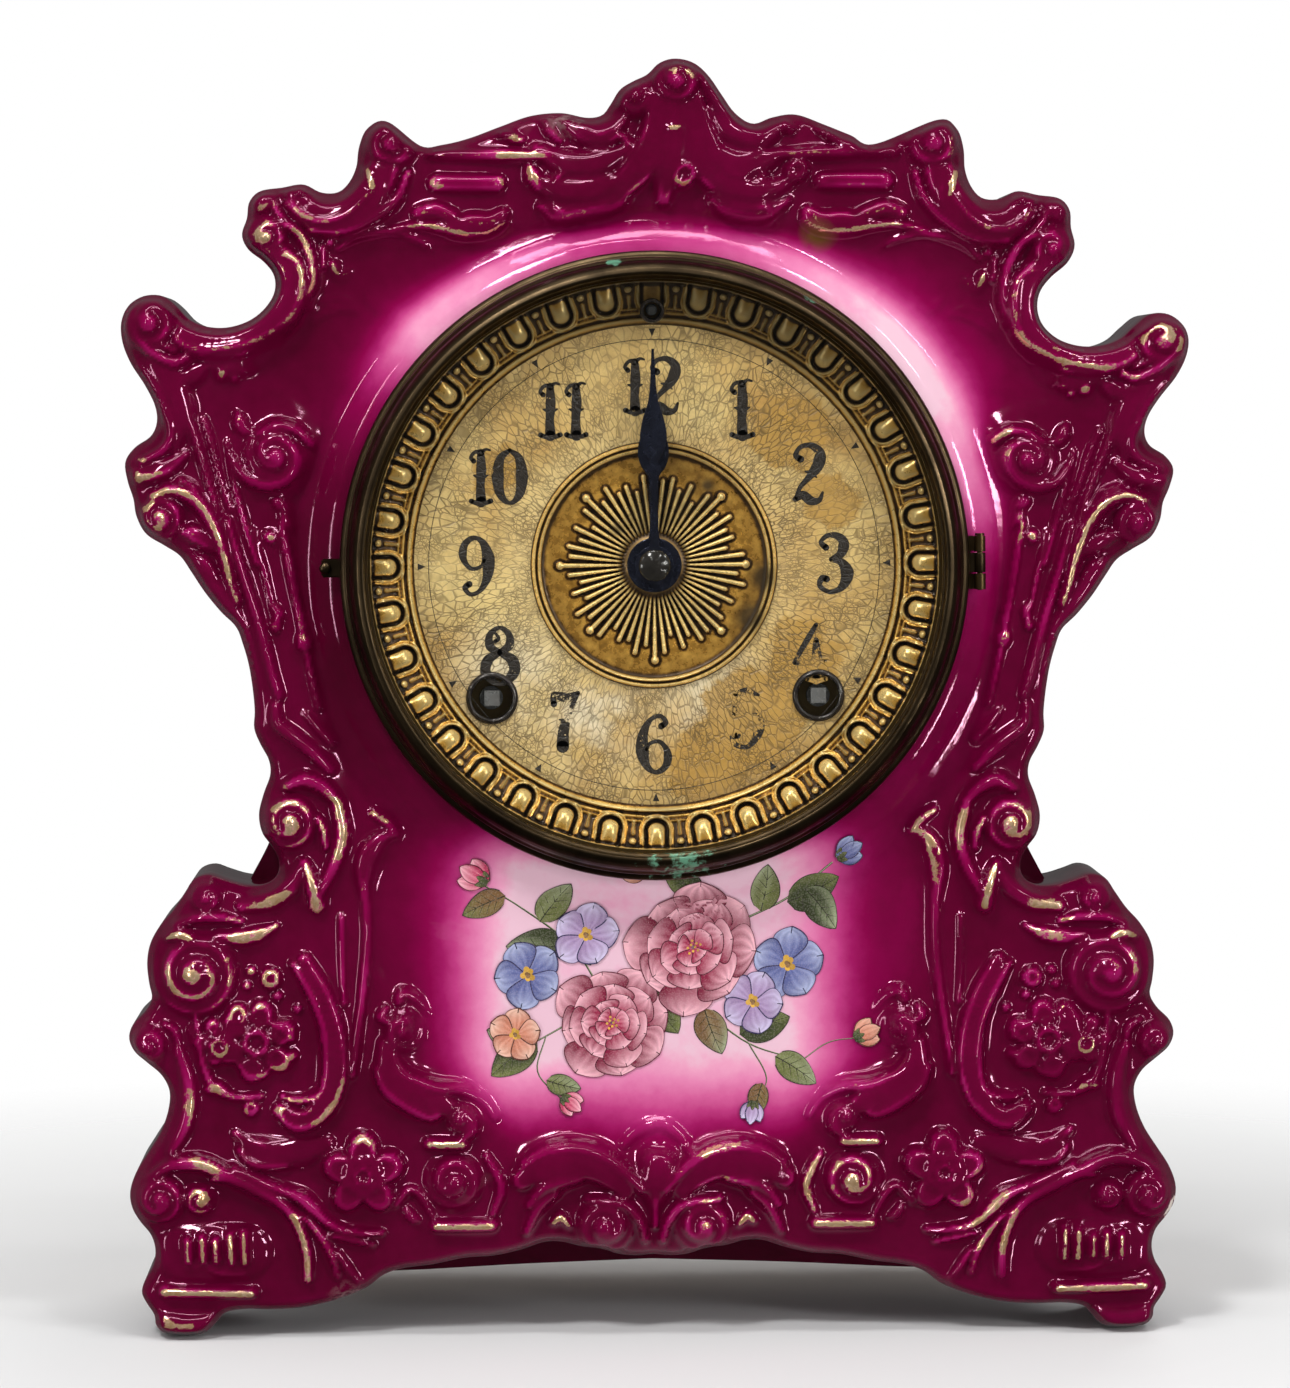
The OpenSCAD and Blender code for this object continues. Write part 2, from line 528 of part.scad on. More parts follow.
module medallion() {
  color([0.7, 0.55, 0.22])
  at_dial() union() {
    revolve() polygon([[3.4, 0], [3.4, -0.6], [6.2, -0.9], [7.4, -0.9], [8, -0.4], [medal_r - 2.6, -0.4],
      [medal_r - 2.2, -1.2], [medal_r - 1.1, -1.5], [medal_r - 0.2, -1.1], [medal_r, 0]]);
    for (i = [0:59]) rotate([0, 6 * i, 0]) {
      long = [medal_r - 4.2, medal_r - 8, medal_r - 6, medal_r - 9.5][i % 4];
      flat(-0.9, 0.6) polygon([[-0.28, 7.6], [0.28, 7.6], [0.5, long - 1], [0, long], [-0.5, long - 1]]);
      if (i % 4 == 0) translate([0, -0.6, medal_r - 3.6]) sphere(0.6, $fn = 16);
    }
  }
}

module dial_eyelets() {
  color([0.1, 0.08, 0.07])
  at_dial() {
    for (i = [-1, 1]) at_c([i * wind_x, -wind_z]) revolve()
      polygon([[4.6, -0.5], [5.1, -0.9], [5.8, -0.5], [5.8, 0], [4.98, 0], [4.98, 3.4], [4.6, 3.4]]);
    at_c([0, reg_z]) revolve() polygon([[1.9, -5.6], [2.2, -6], [2.8, -5.6], [2.8, dial_t], [2.5, dial_t],
      [2.5, pan_back + 0.6], [1.9, pan_back + 0.6]]);
  }
}

module minute_hand() {
  color([0.08, 0.08, 0.12])
  at_dial() flat(-6.4, 0.7) difference() {
    union() {
      circle(4.4, $fn = 48);
      even_shape([[1.2, 2], [0.8, 13], [0.9, 19.5], [1.8, 21.4], [1, 23], [2.4, 25.4], [3.1, 28.6],
        [2.5, 32.6], [1.2, 36.6], [0.7, 41], [0.3, minute_len]]);
    }
    circle(2.1 + run_fit, $fn = 48);
  }
}

module hour_hand() {
  color([0.08, 0.08, 0.12])
  at_dial() flat(-3.6, 0.7) difference() {
    union() {
      circle(6.1, $fn = 48);
      even_shape([[1.6, 3], [1.1, 11.5], [2, 14], [1.3, 16], [3.6, 18.4], [5.4, 22], [5.2, 25.4],
        [3.4, 28], [1.6, 29.8], [0.9, 32], [0.3, hour_len]]);
    }
    circle(3 + run_fit, $fn = 48);
    for (i = [-1, 1]) translate([i * 2.2, 23.2]) circle(1.3, $fn = 24);
  }
}

module hand_nut() {
  color([0.3, 0.22, 0.12])
  at_dial() revolve() polygon([[0, -9], [1.7, -8.9], [3, -8.3], [3.6, -7.4], [3.6, -6.7], [1.2 + run_fit, -6.7],
    [1.2 + run_fit, -8.3], [0, -8.3]]);
}

module bezel_ring() {
  color([0.2, 0.15, 0.1])
  at_dial() {
    revolve() polygon([[bezel_r, bezel_back], [bezel_r, bezel_back - 1.6], [bezel_r - 0.6, bezel_back - 2.6],
      [bezel_r - 1.6, bezel_back - 3.2], [bezel_r - 1.7, bezel_back - 4.4], [bezel_r - 2.4, bezel_front + 1.6],
      [bezel_r - 4, bezel_front + 0.2], [bezel_r - 5.2, bezel_front], [bezel_in + 0.5, bezel_front + 0.7],
      [bezel_in, bezel_front + 1.8], [bezel_in, glass_y], [bezel_in + 3, glass_y], [bezel_in + 3, bezel_back]]);
    translate([bezel_r - 1, bezel_axis[1] - 0.4, -2.2]) cube([2.5, 0.6, 4.4]);
    translate([bezel_axis[0], bezel_axis[1], -2.2]) difference() {
      cylinder(r = 1.3, h = 4.4, $fn = 32);
      translate([0, 0, -1]) cylinder(r = 0.6 + run_fit, h = 7, $fn = 24);
    }
    translate([-bezel_r - 4, bezel_back - 1.5, -2]) cube([5, 0.9, 4]);
  }
}

module bezel_glass() {
  r = bezel_in + 2.7;
  color([0.85, 0.92, 0.92, 0.3])
  at_dial() revolve() polygon(concat(
    [[0, glass_y - glass_rise + glass_t]],
    [for (k = [0:8]) let(q = k / 8) [(bezel_in - 1) * q, glass_y - glass_rise * (1 - q * q)]],
    [[r, glass_y], [r, glass_y + glass_t]],
    [for (k = [8:-1:1]) let(q = k / 8) [(bezel_in - 1) * q, glass_y + glass_t - glass_rise * (1 - q * q)]]));
}

module glass_retainer() {
  color([0.4, 0.32, 0.18])
  at_dial() revolve() polygon([[bezel_in + 0.4, glass_y + glass_t], [bezel_in + 3 - run_fit, glass_y + glass_t],
    [bezel_in + 3 - run_fit, glass_y + glass_t + 1.2], [bezel_in + 1, glass_y + glass_t + 1.2]]);
}

module bezel_hinge() {
  x = bezel_axis[0];
  y = bezel_axis[1];
  color([0.45, 0.36, 0.18])
  at_dial() {
    difference() {
      translate([flange_r - 3, flange_y - 0.5, -6]) cube([x - flange_r + 3, 0.5, 12]);
      translate([x - 2, flange_y - 1, -2.6]) cube([4, 2, 5.2]);
    }
    for (i = [0, 1]) mirror([0, 0, i]) translate([x, y, 2.5]) difference() {
      cylinder(r = 1.3, h = 3.5, $fn = 32);
      translate([0, 0, -1]) cylinder(r = 0.6 + run_fit, h = 7, $fn = 24);
    }
  }
}

module bezel_hinge_pin() {
  color([0.5, 0.42, 0.25])
  at_dial() translate([bezel_axis[0], bezel_axis[1], -6.2]) {
    cylinder(r = 0.6, h = 12.4, $fn = 24);
    translate([0, 0, 12.3]) cylinder(r = 1.1, h = 0.5, $fn = 24);
  }
}

module plate_blank() {
  difference() {
    translate([0, -2]) round_plate(plate_w, plate_h, 16);
    for (c = pillar_at) translate(c) circle(1.2 + run_fit, $fn = 24);
    for (i = [-1, 1]) {
      translate([i * second_c[0], second_c[1]]) circle(pivot_r + run_fit, $fn = 24);
      translate([i * third_c[0], third_c[1]]) circle(pivot_r + run_fit, $fn = 24);
      translate([i * fourth_c[0], fourth_c[1]]) circle(pivot_r + run_fit, $fn = 24);
    }
    translate(lever_c) circle(pivot_r + run_fit, $fn = 24);
  }
}

module front_plate() {
  color([0.72, 0.6, 0.3])
  at_dial() difference() {
    flat(fp0, plate_t) plate_blank();
    rod(1.5 + run_fit, fp0 - 1, fp1 + 1);
    for (i = [-1, 1]) rod(2.6 + run_fit, fp0 - 1, fp1 + 1, [i * wind_x, -wind_z]);
    rod(pivot_r + run_fit, fp0 - 1, fp1 + 1, verge_c);
    rod(pivot_r + run_fit, fp0 - 1, fp1 + 1, hammer_c);
    rod(1 + run_fit, fp0 - 1, fp1 + 1, minute_c);
    for (i = [-1, 1]) rod(0.9 + run_fit, fp0 - 1, fp1 + 1, [i * 3, 34]);
  }
}

module back_plate() {
  color([0.72, 0.6, 0.3])
  at_dial() difference() {
    flat(bp0, plate_t) plate_blank();
    rod(0.8 + run_fit, bp0 - 1, bp1 + 1);
    for (i = [-1, 1]) rod(1.2 + run_fit, bp0 - 1, bp1 + 1, [i * wind_x, -wind_z]);
    rod(0.6 + run_fit, bp0 - 1, bp1 + 1, verge_c);
    rod(1 + run_fit, bp0 - 1, bp1 + 1, hammer_c);
    for (i = [-1, 1]) rod(0.9 + run_fit, bp0 - 1, bp1 + 1, [i * 4.4, 35]);
    rod(1.2 + run_fit, bp0 - 1, bp1 + 1, stand_c());
  }
}

module pillars() {
  color([0.68, 0.56, 0.28])
  at_dial() for (c = pillar_at) {
    rod(pillar_r, fp1, bp0, c);
    rod(1.2, fp0, fp1 + 1, c);
    rod(1.2, bp0 - 1, bp1 + 2.6, c);
  }
}

module plate_nuts() {
  color([0.6, 0.5, 0.26])
  at_dial() for (c = pillar_at) difference() {
    translate([c[0], bp1, c[1]]) rotate([-90, 0, 0]) cylinder(r = 2.8, h = 2, $fn = 6);
    rod(1.2 + run_fit, bp1 - 1, bp1 + 4, c);
  }
}

module movement_posts() {
  color([0.68, 0.56, 0.28])
  at_dial() for (c = post_at) rod(2.2, pan_back, fp0, c);
}

module centre_arbor() {
  color([0.55, 0.56, 0.58])
  at_dial() {
    rod(1.2, -8.1, fp0);
    rod(1.5, fp0 - 0.2, bp0 - rest_gap);
    rod(0.8, bp0 - 1, bp1 + 0.3);
    rod(3, fp1 + 4.4, fp1 + 5.4);
  }
}

module cannon_pinion() {
  color([0.7, 0.58, 0.3])
  at_dial() difference() {
    union() {
      rod(2.1, -6.6, fp0 - 0.4);
      lantern(cannon_n, motion_m, 0.3, fp0 - 3.6, fp0 - 0.4, 0.6, 220);
    }
    rod(1.2 + run_fit, -7, fp0);
  }
}

module clutch_spring() {
  color([0.6, 0.6, 0.6])
  at_dial() revolve() polygon([[1.5 + run_fit, fp1 + 4.4], [3, fp1 + 4.4], [6, fp1 + 2.8], [6.6, fp1 + 2.5],
    [5.6, fp1 + 2.5], [2.8, fp1 + 4], [1.5 + run_fit, fp1 + 4]]);
}

module centre_wheel() {
  r = drive_m * centre_n / 2;
  color([0.75, 0.62, 0.3])
  at_dial() difference() {
    union() {
      flat(fp1 + 1.5, 1) difference() {
        rotate(angle_to([0, 0], second_c) + 180 / centre_n) spur_wheel(centre_n, drive_m);
        windows(7.2, r - 1.6, 4, 1.8);
      }
      rod(2.6, fp1 + 0.4, fp1 + 1.6);
    }
    rod(1.5 + run_fit, fp1, fp1 + 3);
  }
}

module minute_stud() {
  color([0.55, 0.56, 0.58])
  at_dial() at_c(minute_c) {
    rod(1, fp0 - 7.6, fp1);
    rod(1.8, fp0 - 1, fp0);
  }
}

module minute_wheel() {
  color([0.75, 0.62, 0.3])
  at_dial() at_c(minute_c) difference() {
    union() {
      flat(fp0 - 2.5, 1) difference() {
        rotate(40) lantern_wheel(minute_n, motion_m, 0.3);
        windows(3.4, 7, 4, 1.6);
      }
      rod(1.6, fp0 - 7, fp0 - 1.2);
      lantern(minute_p, motion_m, 0.3, fp0 - 7, fp0 - 4, 0.5, 40);
    }
    rod(1 + run_fit, fp0 - 8, fp0);
  }
}

module hour_wheel() {
  color([0.75, 0.62, 0.3])
  at_dial() difference() {
    union() {
      flat(fp0 - 6, 1) difference() {
        rotate(220) lantern_wheel(hour_n, motion_m, 0.3);
        windows(4.4, 7.4, 4, 1.8);
      }
      rod(3, -3.9, fp0 - 4.4);
    }
    rod(2.1 + run_fit * 2, -5, fp0);
  }
}

module great_body() {
  r = great_m * great_n / 2;
  at_c(great_c) difference() {
    union() {
      flat(fp1 + 4, 1.6) difference() {
        rotate(angle_to(great_c, second_c)) lantern_wheel(great_n, great_m, 0.25);
        windows(11.6, r - 2.4, 5, 2.4);
      }
      rod(4, fp1 + 3.2, fp1 + 4.2);
    }
    rod(2 + run_fit, fp1, fp1 + 8);
    rod(0.6 + run_fit, fp1, fp1 + 8, [9.4, 0]);
  }
}

module click_body() {
  at_c(great_c) {
    flat(fp1 + 5.7, 1) {
      polygon([[8.2, -0.9], [7.9, 1.2], [6.6, 3.3], [4.25, 5.15], [4.9, 5.7], [7.5, 4.2], [9.9, 1.4]]);
      translate([9.4, 0]) circle(1.5, $fn = 24);
    }
    rod(0.6, fp1 + 3.9, fp1 + 6, [9.4, 0]);
    rod(1.1, fp1 + 6.6, fp1 + 7.2, [9.4, 0]);
  }
}

module winding_body() {
  at_c(great_c) {
    rod(2, fp1 + 0.4, bp0 - 0.5);
    rod(2.6, pan_back + 2.4, fp1 + 0.5);
    rod(1.2, bp0 - 1, bp1 + 0.3);
    translate([-1.7, -0.3, -1.7]) cube([3.4, pan_back + 3, 3.4]);
    flat(fp1 + 5.9, 0.9) polygon([for (i = [0:19]) for (k = [0, 1])
      let(a = 18 * i + (k == 0 ? 0 : 2), r = k == 0 ? 5.6 : 6.5) [r * cos(a), r * sin(a)]]);
  }
}

// ribbon of the mainspring: coil, run to the pillar and an eye round it
function spring_path() =
  let(p = [13 - great_c[0], -39 - great_c[1]], e = p + 3.4 * [cos(210), sin(210)],
      ae = atan2(e[1], e[0]) + 360, re = norm(e), a1 = ae + 70, a0 = a1 + 360 * 9)
  concat(
    [for (a = [a0:-15:a1 + 1]) let(r = 2.7 + (spring_r - 2.7) * (a0 - a) / (a0 - a1)) r * [cos(a), sin(a)]],
    [for (k = [0:10]) let(q = k / 10, a = a1 - 70 * q, r = spring_r + (re - spring_r) * q * q) r * [cos(a), sin(a)]],
    [for (a = [195:-15:-45]) p + 3.4 * [cos(a), sin(a)]]);

module spring_body() {
  q = spring_path();
  n = len(q);
  side_at = function(i) let(t = q[min(i + 1, n - 1)] - q[max(i - 1, 0)]) [t[1], -t[0]] / norm(t) * spring_t / 2;
  at_c(great_c) flat(fp1 + 7.8, 17)
    polygon(concat([for (i = [0:n - 1]) q[i] + side_at(i)], [for (i = [n - 1:-1:0]) q[i] - side_at(i)]));
}

module second_body(with_drive) {
  r = second_m * second_n / 2;
  at_c(second_c) {
    arbor(0.9);
    lantern(second_p, great_m, 0.25, fp1 + 3, fp1 + 6.6, 0.6, angle_to(second_c, great_c));
    if (with_drive) flat(fp1 + 1.5, 1) difference() {
      rotate(angle_to(second_c, [0, 0])) spur_wheel(drive_n, drive_m);
      windows(3.4, drive_m * drive_n / 2 - 2, 4, 1.8);
    }
    flat(bp0 - 3, 1) difference() {
      rotate(angle_to(second_c, third_c)) lantern_wheel(second_n, second_m, 0.2);
      windows(4, r - 3, 5, 1.8);
    }
  }
}

module third_body() {
  r = third_m * third_n / 2;
  at_c(third_c) {
    arbor(0.55);
    lantern(third_p, second_m, 0.2, bp0 - 4.4, bp0 - 0.6, 0.6, angle_to(third_c, second_c));
    flat(bp0 - 8, 1) difference() {
      rotate(angle_to(third_c, fourth_c)) lantern_wheel(third_n, third_m, 0.18);
      windows(2.6, r - 2, 4, 1.4);
    }
  }
}

module time_great_wheel() {
  color([0.75, 0.62, 0.3])
  at_dial() great_body();
}

module time_click() {
  color([0.45, 0.46, 0.5])
  at_dial() click_body();
}

module time_winding_arbor() {
  color([0.5, 0.51, 0.54])
  at_dial() winding_body();
}

module time_mainspring() {
  color([0.35, 0.37, 0.42])
  at_dial() spring_body();
}

module time_second() {
  color([0.75, 0.62, 0.3])
  at_dial() second_body(true);
}

module time_third() {
  color([0.75, 0.62, 0.3])
  at_dial() third_body();
}

module strike_great_wheel() {
  color([0.75, 0.62, 0.3])
  at_dial() {
    strike_side() great_body();
    at_c([-great_c[0], great_c[1]]) difference() {
      flat(fp1 + 2, 0.8) difference() {
        circle(14, $fn = fine);
        for (i = [0:11]) rotate(30 * i + 8) translate([12.6, -0.7]) square([2, 1.4]);
        windows(6, 10.5, 3, 2.4);
      }
      rod(2 + run_fit, fp1, fp1 + 8);
    }
    at_c([-great_c[0], great_c[1]]) tube(4, 2 + run_fit, fp1 + 2.4, fp1 + 3.4);
  }
}

module strike_click() {
  color([0.45, 0.46, 0.5])
  at_dial() strike_side() click_body();
}

module strike_winding_arbor() {
  color([0.5, 0.51, 0.54])
  at_dial() strike_side() winding_body();
}

module strike_mainspring() {
  color([0.35, 0.37, 0.42])
  at_dial() strike_side() spring_body();
}

module strike_second() {
  color([0.75, 0.62, 0.3])
  at_dial() {
    strike_side() second_body(false);
    at_c([-second_c[0], second_c[1]]) for (i = [0:11])
      rod(0.5, bp0 - 4.4, bp0 - 2.5, 15.4 * [cos(30 * i), sin(30 * i)]);
  }
}

module strike_third() {
  color([0.75, 0.62, 0.3])
  at_dial() strike_side() third_body();
}

module escape_wheel() {
  color([0.78, 0.66, 0.34])
  at_dial() at_c(fourth_c) {
    arbor(0.5);
    lantern(escape_p, third_m, 0.18, bp0 - 9.2, bp0 - 5.8, 0.6, angle_to(fourth_c, third_c));
    flat(fp1 + 15, 0.8) difference() {
      polygon([for (i = [0:escape_n - 1]) for (k = [0:2])
        let(a = 360 / escape_n * (i + [0, 0.12, 0.5][k]), r = escape_r - [0, 0.15, 1.8][k]) [r * cos(a), r * sin(a)]]);
      windows(2.4, escape_r - 3.4, 4, 1.2);
    }
  }
}

module fly() {
  color([0.78, 0.66, 0.34])
  at_dial() at_c([-fourth_c[0], fourth_c[1]]) {
    arbor(0.5);
    lantern(escape_p, third_m, 0.18, bp0 - 9.2, bp0 - 5.8, 0.6, 180 - angle_to(fourth_c, third_c));
    rod(1.2, fp1 + 5, fp1 + 14);
    translate([-11, fp1 + 6, -0.2]) cube([22, 7, 0.4]);
  }
}

module verge() {
  a = angle_to(fourth_c, verge_c);
  color([0.5, 0.5, 0.52])
  at_dial() {
    rod(pivot_r, fp0 - 0.3, fp1 + 1, verge_c);
    rod(0.6, fp1 + rest_gap, bp1 + 3.4, verge_c);
    flat(fp1 + 14.6, 1.6) {
      for (i = [-1, 1]) bar(verge_c, fourth_c + nib_r * [cos(a + i * nib_ang), sin(a + i * nib_ang)], 1.2);
      translate(verge_c) circle(1.8, $fn = 24);
    }
    flat(bp1 + 1.8, 1.2) bar(verge_c, [0, 4.6], 1.6);
    at_c([0, 5.4]) for (i = [-1, 1]) translate([i * 1.5 - 0.5, bp1 + 1.8, -1.2]) cube([1, pend_y - bp1, 2.4]);
    translate([-2, bp1 + 1.8, 4.2]) cube([4, 1.2, 2.4]);
  }
}

module suspension_bracket() {
  color([0.66, 0.54, 0.26])
  at_dial() difference() {
    union() {
      flat(bp1, 1.6) translate([-6.6, 32]) square([13.2, reg_z - 27]);
      translate([-3.2, bp1 + 1, 33]) cube([6.4, pend_y + 3 - bp1 - 1, 3.4]);
      translate([6.2, bp1 + 1, 44]) cube([1.6, 5, 6]);
      translate([4, bp1 + 4.9, 44]) cube([3.8, 1.1, 6]);
      translate([5.5, bp1, 44]) cube([2.3, 1.6, 6]);
    }
    translate([-0.25, pend_y - 1.8, 32]) cube([0.5, 6, 6]);
    rod(1.2 + run_fit, bp1 - 1, bp1 + 3, [0, reg_z]);
    for (i = [-1, 1]) rod(0.9 + run_fit, bp1 - 1, bp1 + 3, [i * 4.4, 35]);
    rod(1.4, bp1 - 1, bp1 + 3, [0, 30.6]);
  }
}

module front_bracket() {
  color([0.66, 0.54, 0.26])
  at_dial() difference() {
    flat(fp0 - 1.4, 1.4) translate([-5, 31]) square([10, reg_z - 26.5]);
    rod(1.2 + run_fit, fp0 - 3, fp0 + 1, [0, reg_z]);
    for (i = [-1, 1]) rod(0.9 + run_fit, fp0 - 3, fp0 + 1, [i * 3, 34]);
  }
}

module bracket_screws() {
  color([0.4, 0.42, 0.5])
  at_dial() {
    for (i = [-1, 1]) {
      rod(0.9, fp0 - 1.5, fp1, [i * 3, 34]);
      rod(1.7, fp0 - 2.4, fp0 - 1.4, [i * 3, 34]);
      rod(0.9, bp0, bp1 + 1.7, [i * 4.4, 35]);
      rod(1.1, bp1 + 1.6, bp1 + 2.6, [i * 4.4, 35]);
    }
  }
}

module regulator_arbor() {
  color([0.5, 0.51, 0.54])
  at_dial() at_c([0, reg_z]) {
    rod(1.2, 0.5, bp1 + 5);
    translate([-0.8, -2.5, -0.8]) cube([1.6, 4, 1.6]);
    rod(2.2, fp0 + 0.2, fp0 + 1.2);
    flat(bp1 + 2.8, 2) spur_wheel(rack_n, rack_m);
  }
}

module regulator_rack() {
  p = PI * rack_m;
  y = bp1 + 2.8;
  color([0.7, 0.58, 0.3])
  at_dial() difference() {
    union() {
      flat(y, 2) {
        translate([rack_r + 0.475, 41]) square([2.2, reg_z - 35]);
        for (k = [-4:3]) translate([rack_r, reg_z + (k + 0.5) * p])
          polygon([[0.5, -0.4], [-0.35, -0.13], [-0.35, 0.13], [0.5, 0.4]]);
        translate([-1.6, 41]) square([rack_r + 4, 2.6]);
      }
      translate([-1.6, y, 41]) cube([3.2, pend_y + 1.8 - y, 2.6]);
    }
    translate([-0.1 - run_fit, pend_y - 1.55, 40]) cube([0.2 + 2 * run_fit, 3.1, 4]);
  }
}

module suspension_spring() {
  color([0.6, 0.62, 0.66])
  at_dial() {
    translate([-0.1, pend_y - 1.5, verge_c[1] + 0.3]) cube([0.2, 3, 15.6]);
    translate([-0.6, pend_y - 1.5, 43.9]) cube([1.2, 3, 0.8]);
  }
}

module pendulum_rod() {
  color([0.6, 0.5, 0.3])
  at_dial() translate([0, pend_y, 0]) {
    translate([-0.9, -1.5, verge_c[1] - 3.2]) cube([1.8, 3, 2.9]);
    translate([0, 0, verge_c[1] - pend_len - bob_r - 6]) cylinder(r = 0.7, h = pend_len + bob_r + 4, $fn = 24);
  }
}

module pendulum_bob() {
  h = bob_t / 2;
  color([0.75, 0.6, 0.3])
  at_dial() translate([0, pend_y, verge_c[1] - pend_len]) difference() {
    revolve() polygon([[0, -h], [bob_r * 0.55, -h * 0.92], [bob_r * 0.86, -h * 0.55], [bob_r * 0.97, -h * 0.25],
      [bob_r, 0], [bob_r * 0.97, h * 0.25], [bob_r * 0.86, h * 0.55], [bob_r * 0.55, h * 0.92], [0, h]]);
    translate([-0.8, -0.8, -bob_r - 1]) cube([1.6, 1.6, 2 * bob_r + 2]);
  }
}

module rating_nut() {
  color([0.7, 0.56, 0.28])
  at_dial() translate([0, pend_y, verge_c[1] - pend_len - bob_r - 3.2]) difference() {
    union() {
      cylinder(r = 3, h = 1.4, $fn = 32);
      cylinder(r = 1.5, h = 2.9, $fn = 32);
    }
    translate([0, 0, -1]) cylinder(r = 0.7 + run_fit, h = 6, $fn = 24);
  }
}

module count_lever() {
  g = [-great_c[0], great_c[1]];
  u = (lever_c - g) / norm(lever_c - g);
  color([0.5, 0.5, 0.52])
  at_dial() {
    at_c(lever_c) arbor(0.8);
    flat(fp1 + 2, 0.8) {
      bar(lever_c, g + 14.9 * u, 1.2);
      translate(lever_c) circle(1.8, $fn = 24);
    }
    flat(fp1 + 12, 0.8) bar(lever_c, lever_c + [9, 13], 1.2);
  }
}

module hammer() {
  s = [-second_c[0], second_c[1]];
  u = (s - hammer_c) / norm(s - hammer_c);
  tail = norm(s - hammer_c) - 15.4 - 0.5 - 0.6 - 0.25;
  head = [-gong_r - 6.6, gong_y, gong_c[1] - 4];
  color([0.5, 0.5, 0.52])
  at_dial() {
    rod(pivot_r, fp0 - 0.3, fp1 + 1, hammer_c);
    rod(1, fp1 + rest_gap, pend_y + 1, hammer_c);
    flat(bp0 - 4.2, 0.8) {
      bar(hammer_c, hammer_c + tail * u, 1.2);
      translate(hammer_c) circle(2, $fn = 24);
    }
    bent_wire([[hammer_c[0], pend_y - 0.5, hammer_c[1]], [hammer_c[0] - 2, 53, 6.6], [head[0] + 1.6, 58, 4],
      [head[0], 70, -3], [head[0], 73, -5.2], head], 0.9, [1, 0, 0]);
    translate([head[0] - 4.4, head[1], head[2]]) rotate([0, 90, 0]) cylinder(r = 3.6, h = 7.6, $fn = 32);
    translate([head[0] + 3.1, head[1], head[2]]) rotate([0, 90, 0]) cylinder(r = 2.6, h = 0.7, $fn = 32);
  }
}

function gong_tip() = gong_c + gong_r * [cos(gong_end), sin(gong_end)];
function gong_dir() = [-sin(gong_end - 20), cos(gong_end - 20)];
function stand_c() = gong_tip() + 5 * gong_dir();

module gong_stand() {
  c = stand_c();
  color([0.25, 0.24, 0.24])
  at_dial() difference() {
    union() {
      rod(3, bp1, gong_y - 4.5, c);
      at_c(c) revolve() polygon([[0, gong_y - 5], [3.6, gong_y - 5], [4.2, gong_y - 4], [4.2, gong_y + 3],
        [3.6, gong_y + 4], [0, gong_y + 4]]);
    }
    rod(1.2 + run_fit, bp1 - 1, bp1 + 6, c);
    translate([c[0], gong_y, c[1]]) rotate([0, -atan2(gong_dir()[1], gong_dir()[0]), 0]) rotate([0, 90, 0])
      cylinder(r = gong_wire / 2 + 0.3, h = 14, center = true, $fn = 24);
  }
  color([0.25, 0.24, 0.24])
  at_dial() at_c(c) {
    rod(1.2, bp0 - 0.1, bp1 + 5);
    rod(2, bp0 - 1.2, bp0);
  }
}

function concat3(p) = [p[0], gong_y, p[1]];

// centre line of the gong wire, inner end first
function gong_path() =
  let(a0 = gong_end - 360 * gong_loops, r0 = gong_r - gong_pitch * gong_loops)
  concat(
    [for (k = [0:32 * gong_loops]) let(q = k / (32 * gong_loops), a = a0 + 360 * gong_loops * q,
      r = r0 + (gong_r - r0) * q) gong_c + r * [cos(a), sin(a)]],
    [for (d = [4, 9]) gong_tip() + d * gong_dir()]);

module gong_coil() {
  color([0.3, 0.34, 0.45])
  at_dial() bent_wire([for (p = gong_path()) concat3(p)], gong_wire / 2, [0, 1, 0]);
}

module back_straps() {
  color([0.6, 0.58, 0.52])
  at_dial() for (i = [0, 1]) mirror([i, 0, 0]) rotate([0, -strap_a, 0]) difference() {
    union() {
      translate([strap_r, pan_back, -strap_w / 2]) cube([strap_t, case_d - pan_back, strap_w]);
      translate([tab_in, pan_back, -strap_w / 2]) cube([tab_out - tab_in, 1.2, strap_w]);
      translate([strap_r, case_d - 1.5, -strap_w / 2]) cube([4.2, 1.5, strap_w]);
    }
    rod(1 + run_fit, pan_back - 1, pan_back + 3, [pan_screw_r, 0]);
    rod(1 + run_fit, case_d - 3, case_d + 1, [screw_r, 0]);
  }
}

module strap_fasteners() {
  color([0.42, 0.42, 0.44])
  at_dial() for (i = [0, 1]) mirror([i, 0, 0]) rotate([0, -strap_a, 0]) {
    rod(1, pan_floor - 0.1, pan_back + 1.8, [pan_screw_r, 0]);
    rod(1.9, pan_floor - 0.7, pan_floor, [pan_screw_r, 0]);
    rod(1, case_d - 2.5, case_d + ring_t + 0.1, [screw_r, 0]);
    difference() {
      rod(2.1, case_d + ring_t, case_d + ring_t + 1.6, [screw_r, 0]);
      translate([screw_r - 3, case_d + ring_t + 0.9, -0.25]) cube([6, 2, 0.5]);
    }
  }
}

module back_ring() {
  color([0.62, 0.52, 0.28])
  at_dial() difference() {
    revolve() polygon([[ring_in, case_d], [ring_out, case_d], [ring_out, case_d + ring_t - 0.4],
      [ring_out - 0.5, case_d + ring_t], [ring_in, case_d + ring_t]]);
    for (i = [0, 1]) mirror([i, 0, 0]) rotate([0, -strap_a, 0])
      rod(1 + run_fit, case_d - 1, case_d + 3, [screw_r, 0]);
  }
}

